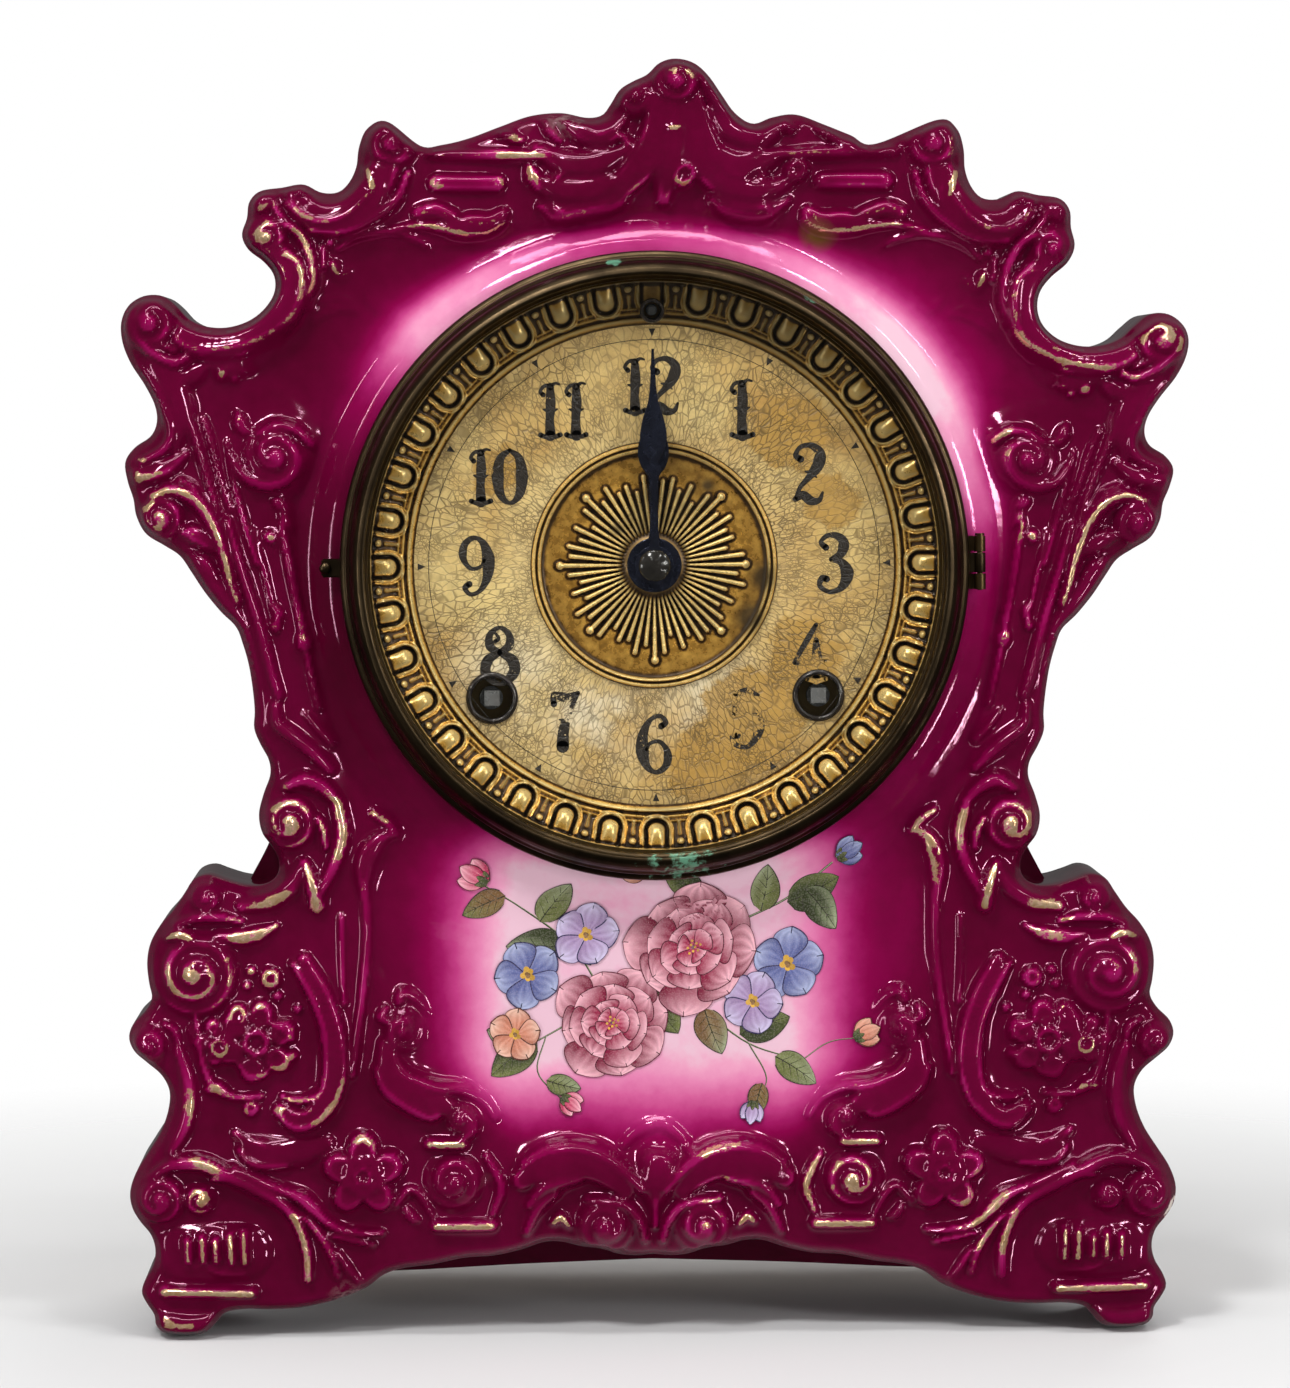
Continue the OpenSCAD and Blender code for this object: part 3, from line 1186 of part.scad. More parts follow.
module back_door() {
  x = door_axis[0];
  y = door_axis[1];
  color([0.62, 0.52, 0.28])
  at_dial() {
    difference() {
      revolve() polygon([[0, door_y + door_dish], [door_r * 0.4, door_y + door_dish], [door_r * 0.72, door_y + door_dish * 0.8],
        [door_r - 7, door_y], [door_r, door_y], [door_r, door_y + 1], [door_r - 6.6, door_y + 1],
        [door_r * 0.73, door_y + 1 + door_dish * 0.8], [door_r * 0.4, door_y + 1 + door_dish], [0, door_y + 1 + door_dish]]);
      for (i = [0:4]) rod(3, door_y - 1, door_y + door_dish + 3, 24 * [cos(72 * i + 90), sin(72 * i + 90)]);
    }
    difference() {
      union() {
        translate([door_r - 4, door_y + 0.5, -2.7]) cube([x - door_r + 4, 1.3, 5.4]);
        translate([x, y, -2.7]) cylinder(r = 1.6, h = 5.4, $fn = 32);
      }
      translate([x, y, -4]) cylinder(r = 0.8 + run_fit, h = 8, $fn = 24);
    }
    rod(1.2, door_y + 0.5, knob_y - 2, [-door_r + 4, 0]);
    translate([-door_r + 4, knob_y - 2.6, 0]) sphere(2.6, $fn = 32);
  }
}

module door_hinge() {
  x = door_axis[0];
  y = door_axis[1];
  color([0.6, 0.5, 0.28])
  at_dial() {
    difference() {
      translate([x - 0.6, case_d + ring_t, -8]) cube([6, 0.9, 16]);
      translate([x - 3, case_d + 1, -3]) cube([5, 3, 6]);
    }
    for (i = [0, 1]) mirror([0, 0, i]) translate([x, y, 3]) {
      cylinder(r = 1.6, h = 5, $fn = 32);
      translate([-0.6, case_d + ring_t - y, 0]) cube([1.2, y - case_d - ring_t, 5]);
    }
    translate([x, y, -3.5]) cylinder(r = 0.8, h = 7, $fn = 24);
  }
}

echo(gong_least_gap = least_gap(gong_path(), 12, gong_wire));
echo(mainspring_least_gap = least_gap(spring_path(), 10, spring_t));

case_shell();
dial_pan();
egg_ring();
dial_plate();
medallion();
dial_eyelets();
minute_hand();
hour_hand();
hand_nut();
bezel_ring();
bezel_glass();
glass_retainer();
bezel_hinge();
bezel_hinge_pin();
front_plate();
back_plate();
pillars();
plate_nuts();
movement_posts();
centre_arbor();
cannon_pinion();
clutch_spring();
centre_wheel();
minute_stud();
minute_wheel();
hour_wheel();
time_great_wheel();
time_click();
time_winding_arbor();
time_mainspring();
time_second();
time_third();
escape_wheel();
verge();
suspension_bracket();
front_bracket();
bracket_screws();
regulator_arbor();
regulator_rack();
suspension_spring();
pendulum_rod();
pendulum_bob();
rating_nut();
strike_great_wheel();
strike_click();
strike_winding_arbor();
strike_mainspring();
strike_second();
strike_third();
fly();
count_lever();
hammer();
gong_stand();
gong_coil();
back_straps();
strap_fasteners();
back_ring();
back_door();
door_hinge();
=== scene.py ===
"""Looks of the porcelain mantel clock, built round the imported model.

Metres, +Z up, the dial faces -Y. The relief is worked out in millimetres on the panel plane."""

import math

import bmesh
import bpy
import numpy as np
from mathutils import Matrix, Vector
from mathutils.geometry import delaunay_2d_cdt


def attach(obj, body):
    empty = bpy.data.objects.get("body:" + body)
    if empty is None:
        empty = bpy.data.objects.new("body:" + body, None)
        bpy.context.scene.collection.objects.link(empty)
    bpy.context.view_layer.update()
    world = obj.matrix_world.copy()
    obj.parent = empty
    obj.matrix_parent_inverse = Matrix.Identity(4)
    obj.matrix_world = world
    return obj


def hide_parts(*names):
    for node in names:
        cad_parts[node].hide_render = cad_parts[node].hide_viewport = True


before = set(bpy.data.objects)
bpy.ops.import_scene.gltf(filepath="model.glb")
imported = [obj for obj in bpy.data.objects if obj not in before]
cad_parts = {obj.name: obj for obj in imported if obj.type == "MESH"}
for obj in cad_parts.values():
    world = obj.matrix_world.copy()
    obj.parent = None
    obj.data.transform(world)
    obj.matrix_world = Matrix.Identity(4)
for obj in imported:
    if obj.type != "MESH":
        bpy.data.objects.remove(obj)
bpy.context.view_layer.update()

MM = 0.001
MID = 49.2  # the panel plane stands this far in front of the frame's origin
DIAL = 175.0  # height of the dial's centre
OPENING = 66.5  # radius of the round opening
LIP = 5.0  # height of the ring round it
ROUND = 2.8  # rounding of the case's front edge
rng = np.random.default_rng(7)


# ---------------------------------------------------------------- curves and meshes
def spline(points, per=8, closed=False):
    """Catmull-Rom curve through the points."""
    p = np.asarray(points, float)
    first, *last = (p[-1], p[0], p[1]) if closed else (2 * p[0] - p[1], 2 * p[-1] - p[-2])
    q = np.vstack([first, p, *last])
    t = np.linspace(0, 1, per, endpoint=False)[:, None]
    out = []
    for a, b, c, d in zip(q, q[1:], q[2:], q[3:]):
        cubic = (2 * a - 5 * b + 4 * c - d) * t**2 + (3 * b - a - 3 * c + d) * t**3
        out.append(0.5 * (2 * b + (c - a) * t + cubic))
    return np.vstack(out if closed else [*out, p[-1]])


def curve(points, per):
    """A smooth line through three points or more; two points stay as they are."""
    return spline(points, per) if len(points) > 2 else np.asarray(points, float)


def travelled(line):
    """How far along a line each of its points lies."""
    return np.concatenate([[0], np.cumsum(np.linalg.norm(np.diff(line, axis=0), axis=1))])


def even(points, step):
    """The same closed line with points at an even distance."""
    p = np.vstack([points, points[:1]])
    s = travelled(p)
    t = np.linspace(0, s[-1], max(2, int(round(s[-1] / step))), endpoint=False)
    return np.stack([np.interp(t, s, p[:, k]) for k in range(2)], 1)


def strip(points, widths, per=6):
    """Line, half widths along it, corners and faces of a flat stroke."""
    p = curve(points, per)
    s = travelled(p)
    w = np.interp(s / max(s[-1], 1e-9), np.linspace(0, 1, len(widths)), widths)
    t = np.gradient(p, axis=0)
    t /= np.linalg.norm(t, axis=1, keepdims=True) + 1e-9
    n = np.stack([-t[:, 1], t[:, 0]], 1) * w[:, None]
    m = len(p)
    return p, w, np.vstack([p + n, p - n]), [(i, m + i, m + i + 1, i + 1) for i in range(m - 1)]


def angles(n):
    return np.arange(n) * 2 * math.pi / n


def circle(r, centre=(0, 0), n=64, way=1):
    a = angles(n) * way
    return np.stack([centre[0] + r * np.cos(a), centre[1] + r * np.sin(a)], 1)


def smooth(x, a, b):
    t = np.clip((x - a) / (b - a), 0, 1)
    return t * t * (3 - 2 * t)


def link(name, data):
    obj = bpy.data.objects.new(name, data)
    bpy.context.scene.collection.objects.link(obj)
    return obj


def raw_mesh(name, verts, faces):
    mesh = bpy.data.meshes.new(name)
    mesh.from_pydata(np.asarray(verts).tolist(), [], [list(map(int, f)) for f in faces])
    return mesh


def make(name, verts, faces, *args, **kw):
    """A mesh piece from points in millimetres of the frame (x, y from the panel, z)."""
    mesh = raw_mesh(name, (np.asarray(verts, float).reshape(-1, 3) - (0, MID, 0)) * MM, faces)
    mesh.update()
    return finish_piece(name, mesh, *args, **kw)


def finish_piece(name, mesh, body, replace=(), slot=None, mat=None, angle=35):
    obj = link(name, mesh)
    mesh.validate()
    mesh.shade_smooth()
    if angle:
        mesh.set_sharp_from_angle(angle=math.radians(angle))
    if mat:
        mesh.materials.append(mat)
    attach(obj, body)
    if replace:
        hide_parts(*replace)
    return obj


def turned_faces(n, m):
    """Faces of a closed profile of m points turned through n places."""
    return [
        (i * m + j, (i + 1) % n * m + j, (i + 1) % n * m + (j + 1) % m, i * m + (j + 1) % m)
        for i in range(n)
        for j in range(m)
    ]


def lathe(profile, n=180, centre=(0, DIAL)):
    """Points and faces of a ring turned about the Y axis: profile is (radius, y)."""
    p, a = np.asarray(profile, float), angles(n)[:, None]
    v = np.empty((n, len(p), 3))
    v[:, :, 0] = centre[0] + np.cos(a) * p[:, 0]
    v[:, :, 1] = p[:, 1]
    v[:, :, 2] = centre[1] + np.sin(a) * p[:, 0]
    return v.reshape(-1, 3), turned_faces(n, len(p))


def bands(count, n, base=0):
    """Faces between closed rings of n points that follow each other."""
    rows = [(base + k * n + i, base + k * n + (i + 1) % n) for k in range(count - 1) for i in range(n)]
    return [(a, a + n, b + n, b) for a, b in rows]


def rounded(profile, r=0.15, seg=3):
    """A closed profile with its corners rounded."""
    p = np.asarray(profile, float)
    out = []
    for a, b, c in zip(np.roll(p, 1, 0), p, np.roll(p, -1, 0)):
        u, w = a - b, c - b
        lu, lw = np.linalg.norm(u), np.linalg.norm(w)
        q = min(r, lu * 0.45, lw * 0.45)
        s, e = b + u / lu * q, b + w / lw * q
        for t in np.linspace(0, 1, seg + 1):
            out.append((1 - t) ** 2 * s + 2 * t * (1 - t) * b + t * t * e)
    return np.array(out)


class Bag:
    """Several small meshes gathered into one piece, with a colour for each point."""

    def __init__(self):
        self.v, self.f, self.c, self.n = [], [], [], 0

    def add(self, verts, faces, colours=None):
        verts = np.asarray(verts, float).reshape(-1, 3)
        self.v.append(verts)
        self.f += [tuple(int(i) + self.n for i in f) for f in faces]
        self.c.append(np.zeros((len(verts), 4)) if colours is None else np.asarray(colours, float))
        self.n += len(verts)

    def piece(self, name, body, colour=None, **kw):
        obj = make(name, np.vstack(self.v), self.f, body, **kw)
        if colour:
            paint(obj.data, colour, np.vstack(self.c))
        return obj


def paint(mesh, name, values):
    layer = mesh.attributes.new(name, "FLOAT_COLOR", "POINT")
    layer.data.foreach_set("color", np.asarray(values, np.float32).ravel())


# ---------------------------------------------------------------- materials
class Tree:
    """Short hands for building one Principled material."""

    def __init__(self, name, **values):
        self.mat = bpy.data.materials.new(name)
        self.mat.use_nodes = True
        self.tree = self.mat.node_tree
        self.shader = self.tree.nodes["Principled BSDF"]
        for key, value in values.items():
            self.shader.inputs[key.replace("_", " ")].default_value = value
        self.coord = self.node("TexCoord").outputs["Object"]

    def node(self, kind, **settings):
        n = self.tree.nodes.new("ShaderNode" + kind)
        for k, v in settings.items():
            setattr(n, k, v)
        return n

    def put(self, socket, value):
        if hasattr(value, "is_output"):
            self.tree.links.new(value, socket)
        else:
            socket.default_value = value

    def out(self, key, value):
        self.put(self.shader.inputs[key], value)

    def chain(self, kind, out, *inputs, **settings):
        """The named output of a new node with these inputs, in order or by name."""
        n = self.node(kind, **settings)
        for k, v in enumerate(inputs):
            key, v = v if isinstance(v, tuple) and isinstance(v[0], str) else (k, v)
            self.put(n.inputs[key], v)
        return n.outputs[out]

    def noise(self, scale, detail=3.0, rough=0.5, warp=0.0, at=None, out="Fac"):
        keys = ("Vector", "Scale", "Detail", "Roughness", "Distortion")
        values = zip(keys, (at or self.coord, scale, detail, rough, warp))
        return self.chain("TexNoise", out, *values)

    def cells(self, scale, feature="DISTANCE_TO_EDGE", at=None):
        return self.chain("TexVoronoi", "Distance", ("Vector", at or self.coord), ("Scale", scale), feature=feature)

    def span(self, value, a, b, c=0.0, d=1.0):
        return self.chain("MapRange", 0, value, a, b, c, d, clamp=True)

    def speck(self, scale, detail, rough, c=-0.4, d=0.3):
        """Noise stretched to this range, to break up an edge."""
        return self.span(self.noise(scale, detail, rough), 0.3, 0.7, c, d)

    def math(self, op, a, b=0.0):
        return self.chain("Math", 0, a, b, operation=op)

    def mul(self, a, b):
        return self.math("MULTIPLY", a, b)

    def add(self, a, b):
        return self.math("ADD", a, b)

    def most(self, first, *rest):
        for other in rest:
            first = self.math("MAXIMUM", first, other)
        return first

    def apart(self, a, place):
        """Distance of a vector from a place."""
        return self.chain("VectorMath", "Value", a, place, operation="DISTANCE")

    def mix(self, fac, a, b):
        n = self.node("Mix", data_type="RGBA")
        self.put(n.inputs[0], fac)
        for socket, v in ((n.inputs[6], a), (n.inputs[7], b)):
            self.put(socket, (*v, 1.0) if isinstance(v, tuple) else v)
        return n.outputs[2]

    def ramp(self, value, *stops):
        n = self.node("ValToRGB")
        self.put(n.inputs[0], value)
        marks = n.color_ramp.elements
        for mark, (at, c) in zip(marks, (stops[0], stops[-1])):
            mark.position, mark.color = at, (*c, 1)
        for at, c in stops[1:-1]:
            marks.new(at).color = (*c, 1)
        return n.outputs[0]

    def painted(self, name):
        """The colour written to the points under this name."""
        return self.chain("Attribute", "Color", attribute_name=name)

    def spot(self, x, y, z, r0, r1):
        """1 inside r0 of a place, falling to 0 at r1, in millimetres of the panel frame."""
        return self.span(self.apart(self.coord, (x * MM, (y - MID) * MM, z * MM)), r1 * MM, r0 * MM)

    def bump(self, height, distance=0.0005, strength=0.5):
        bumps = (("Height", height), ("Strength", strength), ("Distance", distance))
        self.out("Normal", self.chain("Bump", "Normal", *bumps))

    def let_through(self, share, tint=(1, 1, 1, 1)):
        """Lets this share of the rays straight through."""
        clear = self.chain("BsdfTransparent", 0, tint)
        blend = self.chain("MixShader", 0, share, self.shader.outputs[0], clear)
        self.put(self.tree.nodes["Material Output"].inputs[0], blend)


def metal(name, tone, dark, rough, grain, stain, coarse, verdigris=False, share=1.0):
    """Metal with brushing along one way, toned patches and fine scratches."""
    t = Tree(name, Metallic=share)
    patch = t.span(t.noise(coarse, 4, 0.6, 0.4), 0.42, 0.68)
    brushed = t.chain("Mapping", "Vector", ("Vector", t.coord), ("Scale", grain))
    fine = t.noise(1.0, 3, 0.6, at=brushed)
    worn = t.mix(t.mul(patch, stain), tone, dark)
    colour = t.mix(t.span(fine, 0.3, 0.8, 0.0, 0.35), worn, dark)
    if verdigris:
        low = t.mul(t.spot(6, -14, 108, 2, 16), 0.62)
        green = t.most(t.spot(-8.5, -13, 243.4, 0.6, 3.4), t.spot(36, -13, 235.6, 0.5, 3.2), low)
        green = t.span(t.add(green, t.speck(420, 4, 0.7)), 0.42, 0.62)
        colour = t.mix(t.mul(green, 0.8), colour, (0.1, 0.3, 0.19))
        t.out("Metallic", t.math("SUBTRACT", 1.0, t.mul(green, 0.85)))
    t.out("Base Color", colour)
    t.out("Roughness", t.span(t.add(fine, t.mul(patch, 0.4)), 0.3, 1.1, *rough))
    t.bump(fine, 0.00005, 0.25)
    return t.mat


# ---------------------------------------------------------------- case outline
SIDE = [
    (0, 17.9), (4, 17.6), (8, 18), (12, 19.2), (16.5, 19.8), (21, 20.9), (25, 20.8), (30, 19.2),
    (36, 17.9), (43, 17.4), (50, 16), (57, 15.1), (61.5, 13.6), (65, 11), (69, 9.2), (74, 7.6),
    (80, 6.4), (87, 6), (93, 6.1), (97.5, 5.4), (99.5, 3.4), (101.5, 1.3), (104, 0.5), (108, 0.4),
    (111.5, 0.9), (113.4, 2.6), (113.8, 5), (115.4, 7.4), (116.6, 10), (115.8, 12.8), (114, 16),
    (113.4, 19.5), (114.4, 23), (116.8, 26), (118.6, 29.2), (119, 33), (117.5, 37.4), (114.8, 41.7),
    (112, 46.2), (110.2, 51), (109.8, 55.5), (111.6, 59.2), (114.8, 62), (117.7, 64.6), (118.9, 67.7),
    (117.9, 70.8), (115.2, 73.6), (113.6, 76.6), (114.2, 80), (114.6, 84.6), (113.8, 89),
    (111.4, 93.2), (108.4, 96.6), (105.8, 100.4), (103.7, 103.4), (100.4, 104.4), (97, 103.3),
    (93, 102.1), (89, 101.8), (86, 102.9), (84.5, 105), (84.6, 108), (86.1, 110.8), (88.2, 113.8),
    (88.9, 118), (87.8, 122.6), (86.3, 126.8), (86.6, 130.2), (88.5, 133.8), (89.9, 137.4),
    (89.8, 141.4), (90.3, 146.6), (91.2, 152), (92.5, 156.6), (94, 160.4), (97.4, 163.8),
    (101, 168.2), (104, 172.7), (106.6, 176.4), (110.2, 178.8), (114.3, 181.4), (116.5, 185.4),
    (117.2, 189.4), (118.6, 193.2), (119.3, 197.4), (117.2, 200.6), (113.7, 203), (112.4, 206.2),
    (113.1, 210), (115.6, 214.4), (118.9, 219), (121, 223.6), (121.5, 228), (120, 231.6),
    (116.6, 233.9), (112.4, 233.9), (109, 231.4), (106, 228.5), (102, 226.9), (97, 226.7),
    (92, 228.3), (88.4, 231.4), (86.8, 235), (87.2, 238.8), (89.6, 242), (93.2, 245), (94.8, 248.6),
    (93.8, 252.6), (93.4, 256.4), (91, 259), (86, 259.8), (81.2, 260.6), (77.2, 258.8), (73.4, 258.9),
    (70.9, 261.2), (69.3, 265), (68.8, 269.8), (67, 274.2), (62.6, 275.9),
]
CREST = [
    (57, 272.8), (51.4, 270.2), (46, 272.2), (40, 274.6), (33.4, 277), (28, 276.4), (23.6, 275),
    (19.6, 277.4), (16.6, 281.6), (13.6, 286), (10.2, 289), (6, 290), (2.4, 289), (-0.4, 286.4),
    (-3.6, 284.9), (-6.6, 283), (-8.8, 279.6), (-10.8, 277.2), (-14.4, 276.7), (-20, 277.8),
    (-27, 277.2), (-34, 274.8), (-41, 272.2), (-47, 270.7), (-52, 270.4), (-57, 272.8),
]
REAR = [
    (0, 14), (30, 13), (66, 11.5), (94, 13), (101, 22), (104, 40), (103, 60), (100.5, 80), (96, 94),
    (90.5, 104), (86, 114), (83, 130), (83.5, 150), (86, 170), (87.5, 190), (85, 206), (78, 224),
    (66, 239), (48, 251), (25, 259), (0, 261),
]
INNER = [
    (0, 18.5), (30, 17), (60, 14), (80, 8), (100, 8), (110, 20), (110, 34), (104, 50), (108, 66),
    (108, 88), (97, 98), (84.6, 105), (85, 118), (86, 132), (89, 146), (96, 164), (110, 184),
    (112, 200), (111, 218), (108, 224), (90, 224), (82, 236), (84, 252), (70, 256), (56, 266),
    (20, 270), (0, 272),
]
# edge of the plain panel, right half from the bottom middle up
PANEL = [
    (0, 42), (7, 41), (12, 43.4), (20, 45), (30, 42.4), (35.6, 48), (43, 56.4), (52, 60), (57.6, 66),
    (54, 76), (60, 80), (62.6, 90), (62.8, 104), (58, 114), (64, 121), (72, 130), (74, 140),
    (76, 152), (78.4, 165), (81, 178), (82.6, 190), (77, 196), (76, 206), (82, 212), (90, 214),
    (91.6, 222), (82, 228), (76, 238), (66, 246), (54, 247), (40, 249.4), (30, 251.4), (16, 252),
    (0, 253.4),
]


def both(points):
    """A half line on the right, closed round by its mirror image."""
    p = list(points)
    return np.array(p + [(-x, z) for x, z in p[-2:0:-1]])


OUTLINE = SIDE + [(x - 2.9, z) for x, z in CREST[1:-1]] + [(-x, z) for x, z in SIDE[:0:-1]]
LINE = even(spline(OUTLINE, 6, closed=True), 0.9)


def lean(z):
    """How far the real, hand-finished case stands to the right at this height."""
    return np.interp(z, [0, 100, 190, 212, 230, 252, 275], [-1.2, -1.4, -1.0, 0, 1.0, 2.0, 2.9])


def rise(x, z):
    """How far its left side stands higher than the mean, and its right side lower."""
    d = np.interp(z, [0, 60, 105, 150, 190, 232, 250, 262, 276], [0.2, 0.4, 0.8, 1, 1.5, 3.2, 2, 1.5, 0.8])
    return -np.sign(x) * d * smooth(np.abs(x), 40, 88)


def far(x, z):
    """0 near the round opening, where nothing may shift."""
    return smooth(np.hypot(x, z - DIAL), 76, 98)


def from_left(p):
    """Points read on the left half, given as mean points on the right half."""
    x, z = np.asarray(p, float).T
    w = far(x, z)
    return np.stack([np.abs(x - lean(z) * w), z - rise(x, z) * w], 1)


def from_middle(p):
    x, z = np.asarray(p, float).T
    return np.stack([x - lean(z) * far(x, z), z], 1)


# ---------------------------------------------------------------- height field of the relief
STEP = 0.4
gx = np.arange(-125, 125.01, STEP)
gz = np.arange(-2, 293, STEP)
GX, GZ = np.meshgrid(gx, gz, indexing="ij")


def blur(field, sigma):
    s = sigma / STEP
    k = int(3 * s) + 1
    w = np.exp(-0.5 * (np.arange(-k, k + 1) / s) ** 2)
    w /= w.sum()
    for axis in (0, 1):
        q = np.pad(field.T if axis else field, [(k, k), (0, 0)], mode="edge")
        field = sum(w[i] * q[i : i + len(q) - 2 * k] for i in range(2 * k + 1))
        field = field.T if axis else field
    return field


def inside(poly):
    """True in the grid cells inside a closed line."""
    out = np.zeros(GX.shape, bool)
    a, b = poly, np.roll(poly, -1, axis=0)
    for j, z in enumerate(gz):
        hit = (a[:, 1] <= z) != (b[:, 1] <= z)
        p, q = a[hit], b[hit]
        xs = np.sort(p[:, 0] + (z - p[:, 1]) / (q[:, 1] - p[:, 1]) * (q[:, 0] - p[:, 0]))
        for s, e in zip(xs[::2], xs[1::2]):
            out[(gx >= s) & (gx <= e), j] = True
    return out


def line_distance(poly, reach):
    out = np.full(GX.shape, reach, float)
    for p, q in zip(poly, np.roll(poly, -1, axis=0)):
        win = window(np.array([p, q]), reach)
        out[win] = np.minimum(out[win], segment(win, p, q)[0])
    return out


def window(p, r):
    i0, i1 = np.searchsorted(gx, [p[:, 0].min() - r, p[:, 0].max() + r])
    j0, j1 = np.searchsorted(gz, [p[:, 1].min() - r, p[:, 1].max() + r])
    return np.s_[i0:i1, j0:j1]


def segment(win, p, q):
    x, z = GX[win] - p[0], GZ[win] - p[1]
    d = q - p
    t = np.clip((x * d[0] + z * d[1]) / max(1e-9, d @ d), 0, 1)
    return np.hypot(x - t * d[0], z - t * d[1]), t


SHAPES = {
    "round": lambda u: (1 - u**2) ** 0.62,
    "flat": lambda u: (1 - u**6) ** 0.6,
    "cove": lambda u: (1 - u**8) ** 0.7 * (0.42 + 0.58 * np.clip(u / 0.82, 0, 1) ** 2),
    "crease": lambda u: (1 - u**2) ** 0.6 * (1 - 0.38 * np.exp(-((u / 0.16) ** 2))),
}
relief, gold = np.zeros(GX.shape), np.zeros(GX.shape)


def stroke(shape, radii, high, points, gilt=0.0):
    """A stroke of relief: radii along it, height, points."""
    p = curve(points, 5)
    s = travelled(p)
    r = np.interp(s / s[-1], np.linspace(0, 1, len(radii)), radii)
    for i in range(len(p) - 1):
        win = window(p[i : i + 2], max(r[i], r[i + 1]) + 0.2)
        d, t = segment(win, p[i], p[i + 1])
        rr = r[i] + (r[i + 1] - r[i]) * t
        u = np.clip(d / rr, 0, 1)
        h = np.where(u < 1, high * SHAPES[shape](u) * (0.55 + 0.45 * np.clip(rr / max(radii), 0, 1)), 0)
        relief[win] = np.maximum(relief[win], h)
        if gilt:
            gold[win] = np.maximum(gold[win], gilt * np.exp(-((d / np.minimum(rr * 0.6, 0.9)) ** 2)))


def volute(centre, radius, high, start, turn, turns=1.35, gilt=0.0):
    """A curled scroll end: a dome with a spiral crease that winds in to an eye."""
    c = np.asarray(centre)
    win = window(c[None], radius)
    d = np.hypot(GX[win] - c[0], GZ[win] - c[1]) / radius
    t = np.linspace(0, 1, int(16 * turns) + 2)
    a = np.radians(start + turn * 360 * turns * t)
    q = radius * (1.02 - 0.74 * t**0.8)
    path = np.stack([c[0] + q * np.cos(a), c[1] + q * np.sin(a)], 1)
    near = np.full(d.shape, 99.0)
    for p, e in zip(path[:-1], path[1:]):
        near = np.minimum(near, segment(win, p, e)[0])
    dome = high * np.clip(1 - d**2, 0, 1) ** 0.45
    crease = 0.42 * high * np.exp(-((near / (0.1 * radius)) ** 2)) * (d < 0.97)
    dome += 0.2 * high * np.exp(-((d / 0.22) ** 2)) - crease
    relief[win] = np.where(d < 1, np.maximum(relief[win] * (d > 0.93), dome), relief[win])
    if gilt:
        gold[win] = np.maximum(gold[win], gilt * np.exp(-(((near - 0.17 * radius) / 0.3) ** 2)) * (d < 0.9))


def knob(centre, r, high, gilt=0.0):
    stroke("round", (r, r), high, [centre - 0.01, centre + 0.01], gilt)


def ringlet(centre, r, w, high, gilt=0.0):
    a = np.radians(np.arange(0, 361, 24))
    stroke("round", (w, w), high, np.stack([centre[0] + r * np.cos(a), centre[1] + r * np.sin(a)], 1), gilt)
    knob(centre, r * 0.55, high * 0.8)


def petals(centre, count, r, size, high, start):
    """Rows for a rosette of round cupped petals about an eye."""
    rows = []
    for k in range(count):
        a = math.radians(start + 360 / count * k)
        for kind, radii, top, places in (
            ("cove", (0.75 * size, size, 0.92 * size), high, (r - 0.35 * size, r, r + 0.3 * size)),
            ("round", (0.35, 0.5, 0.25), high * 1.02, (0.5 * r, 0.8 * r, 1.05 * r)),
        ):
            points = [(centre[0] + q * math.cos(a), centre[1] + q * math.sin(a)) for q in places]
            rows.append((kind, radii, top, points))
    return rows


ABOUT_A_POINT = {"volute": volute, "knob": knob, "ringlet": ringlet}


def work(rows, place, sides=(1,)):
    """Relief from the rows of a table; place moves their points, and sides names the halves they stand on."""
    for kind, *rest in rows:
        if kind == "petals":
            work(petals(*rest), place, sides)
            continue
        for side in sides:
            if kind in ABOUT_A_POINT:
                centre, *more = rest
                if kind == "volute" and side == 1 and len(sides) == 2:
                    more[2:4] = 180 - more[2], -more[3]
                ABOUT_A_POINT[kind](place([centre])[0] * (side, 1), *more)
            else:
                radii, high, points, *gilt = rest
                stroke(kind, radii, high, place(points) * (side, 1), *gilt)


in_case = inside(LINE)
edge = np.where(in_case, line_distance(LINE, 9.0), 0.0)
in_panel = inside(both(spline(PANEL, 6))).astype(float)
open_panel, soft_panel = blur(in_panel, 1.3), blur(in_panel, 3.2)

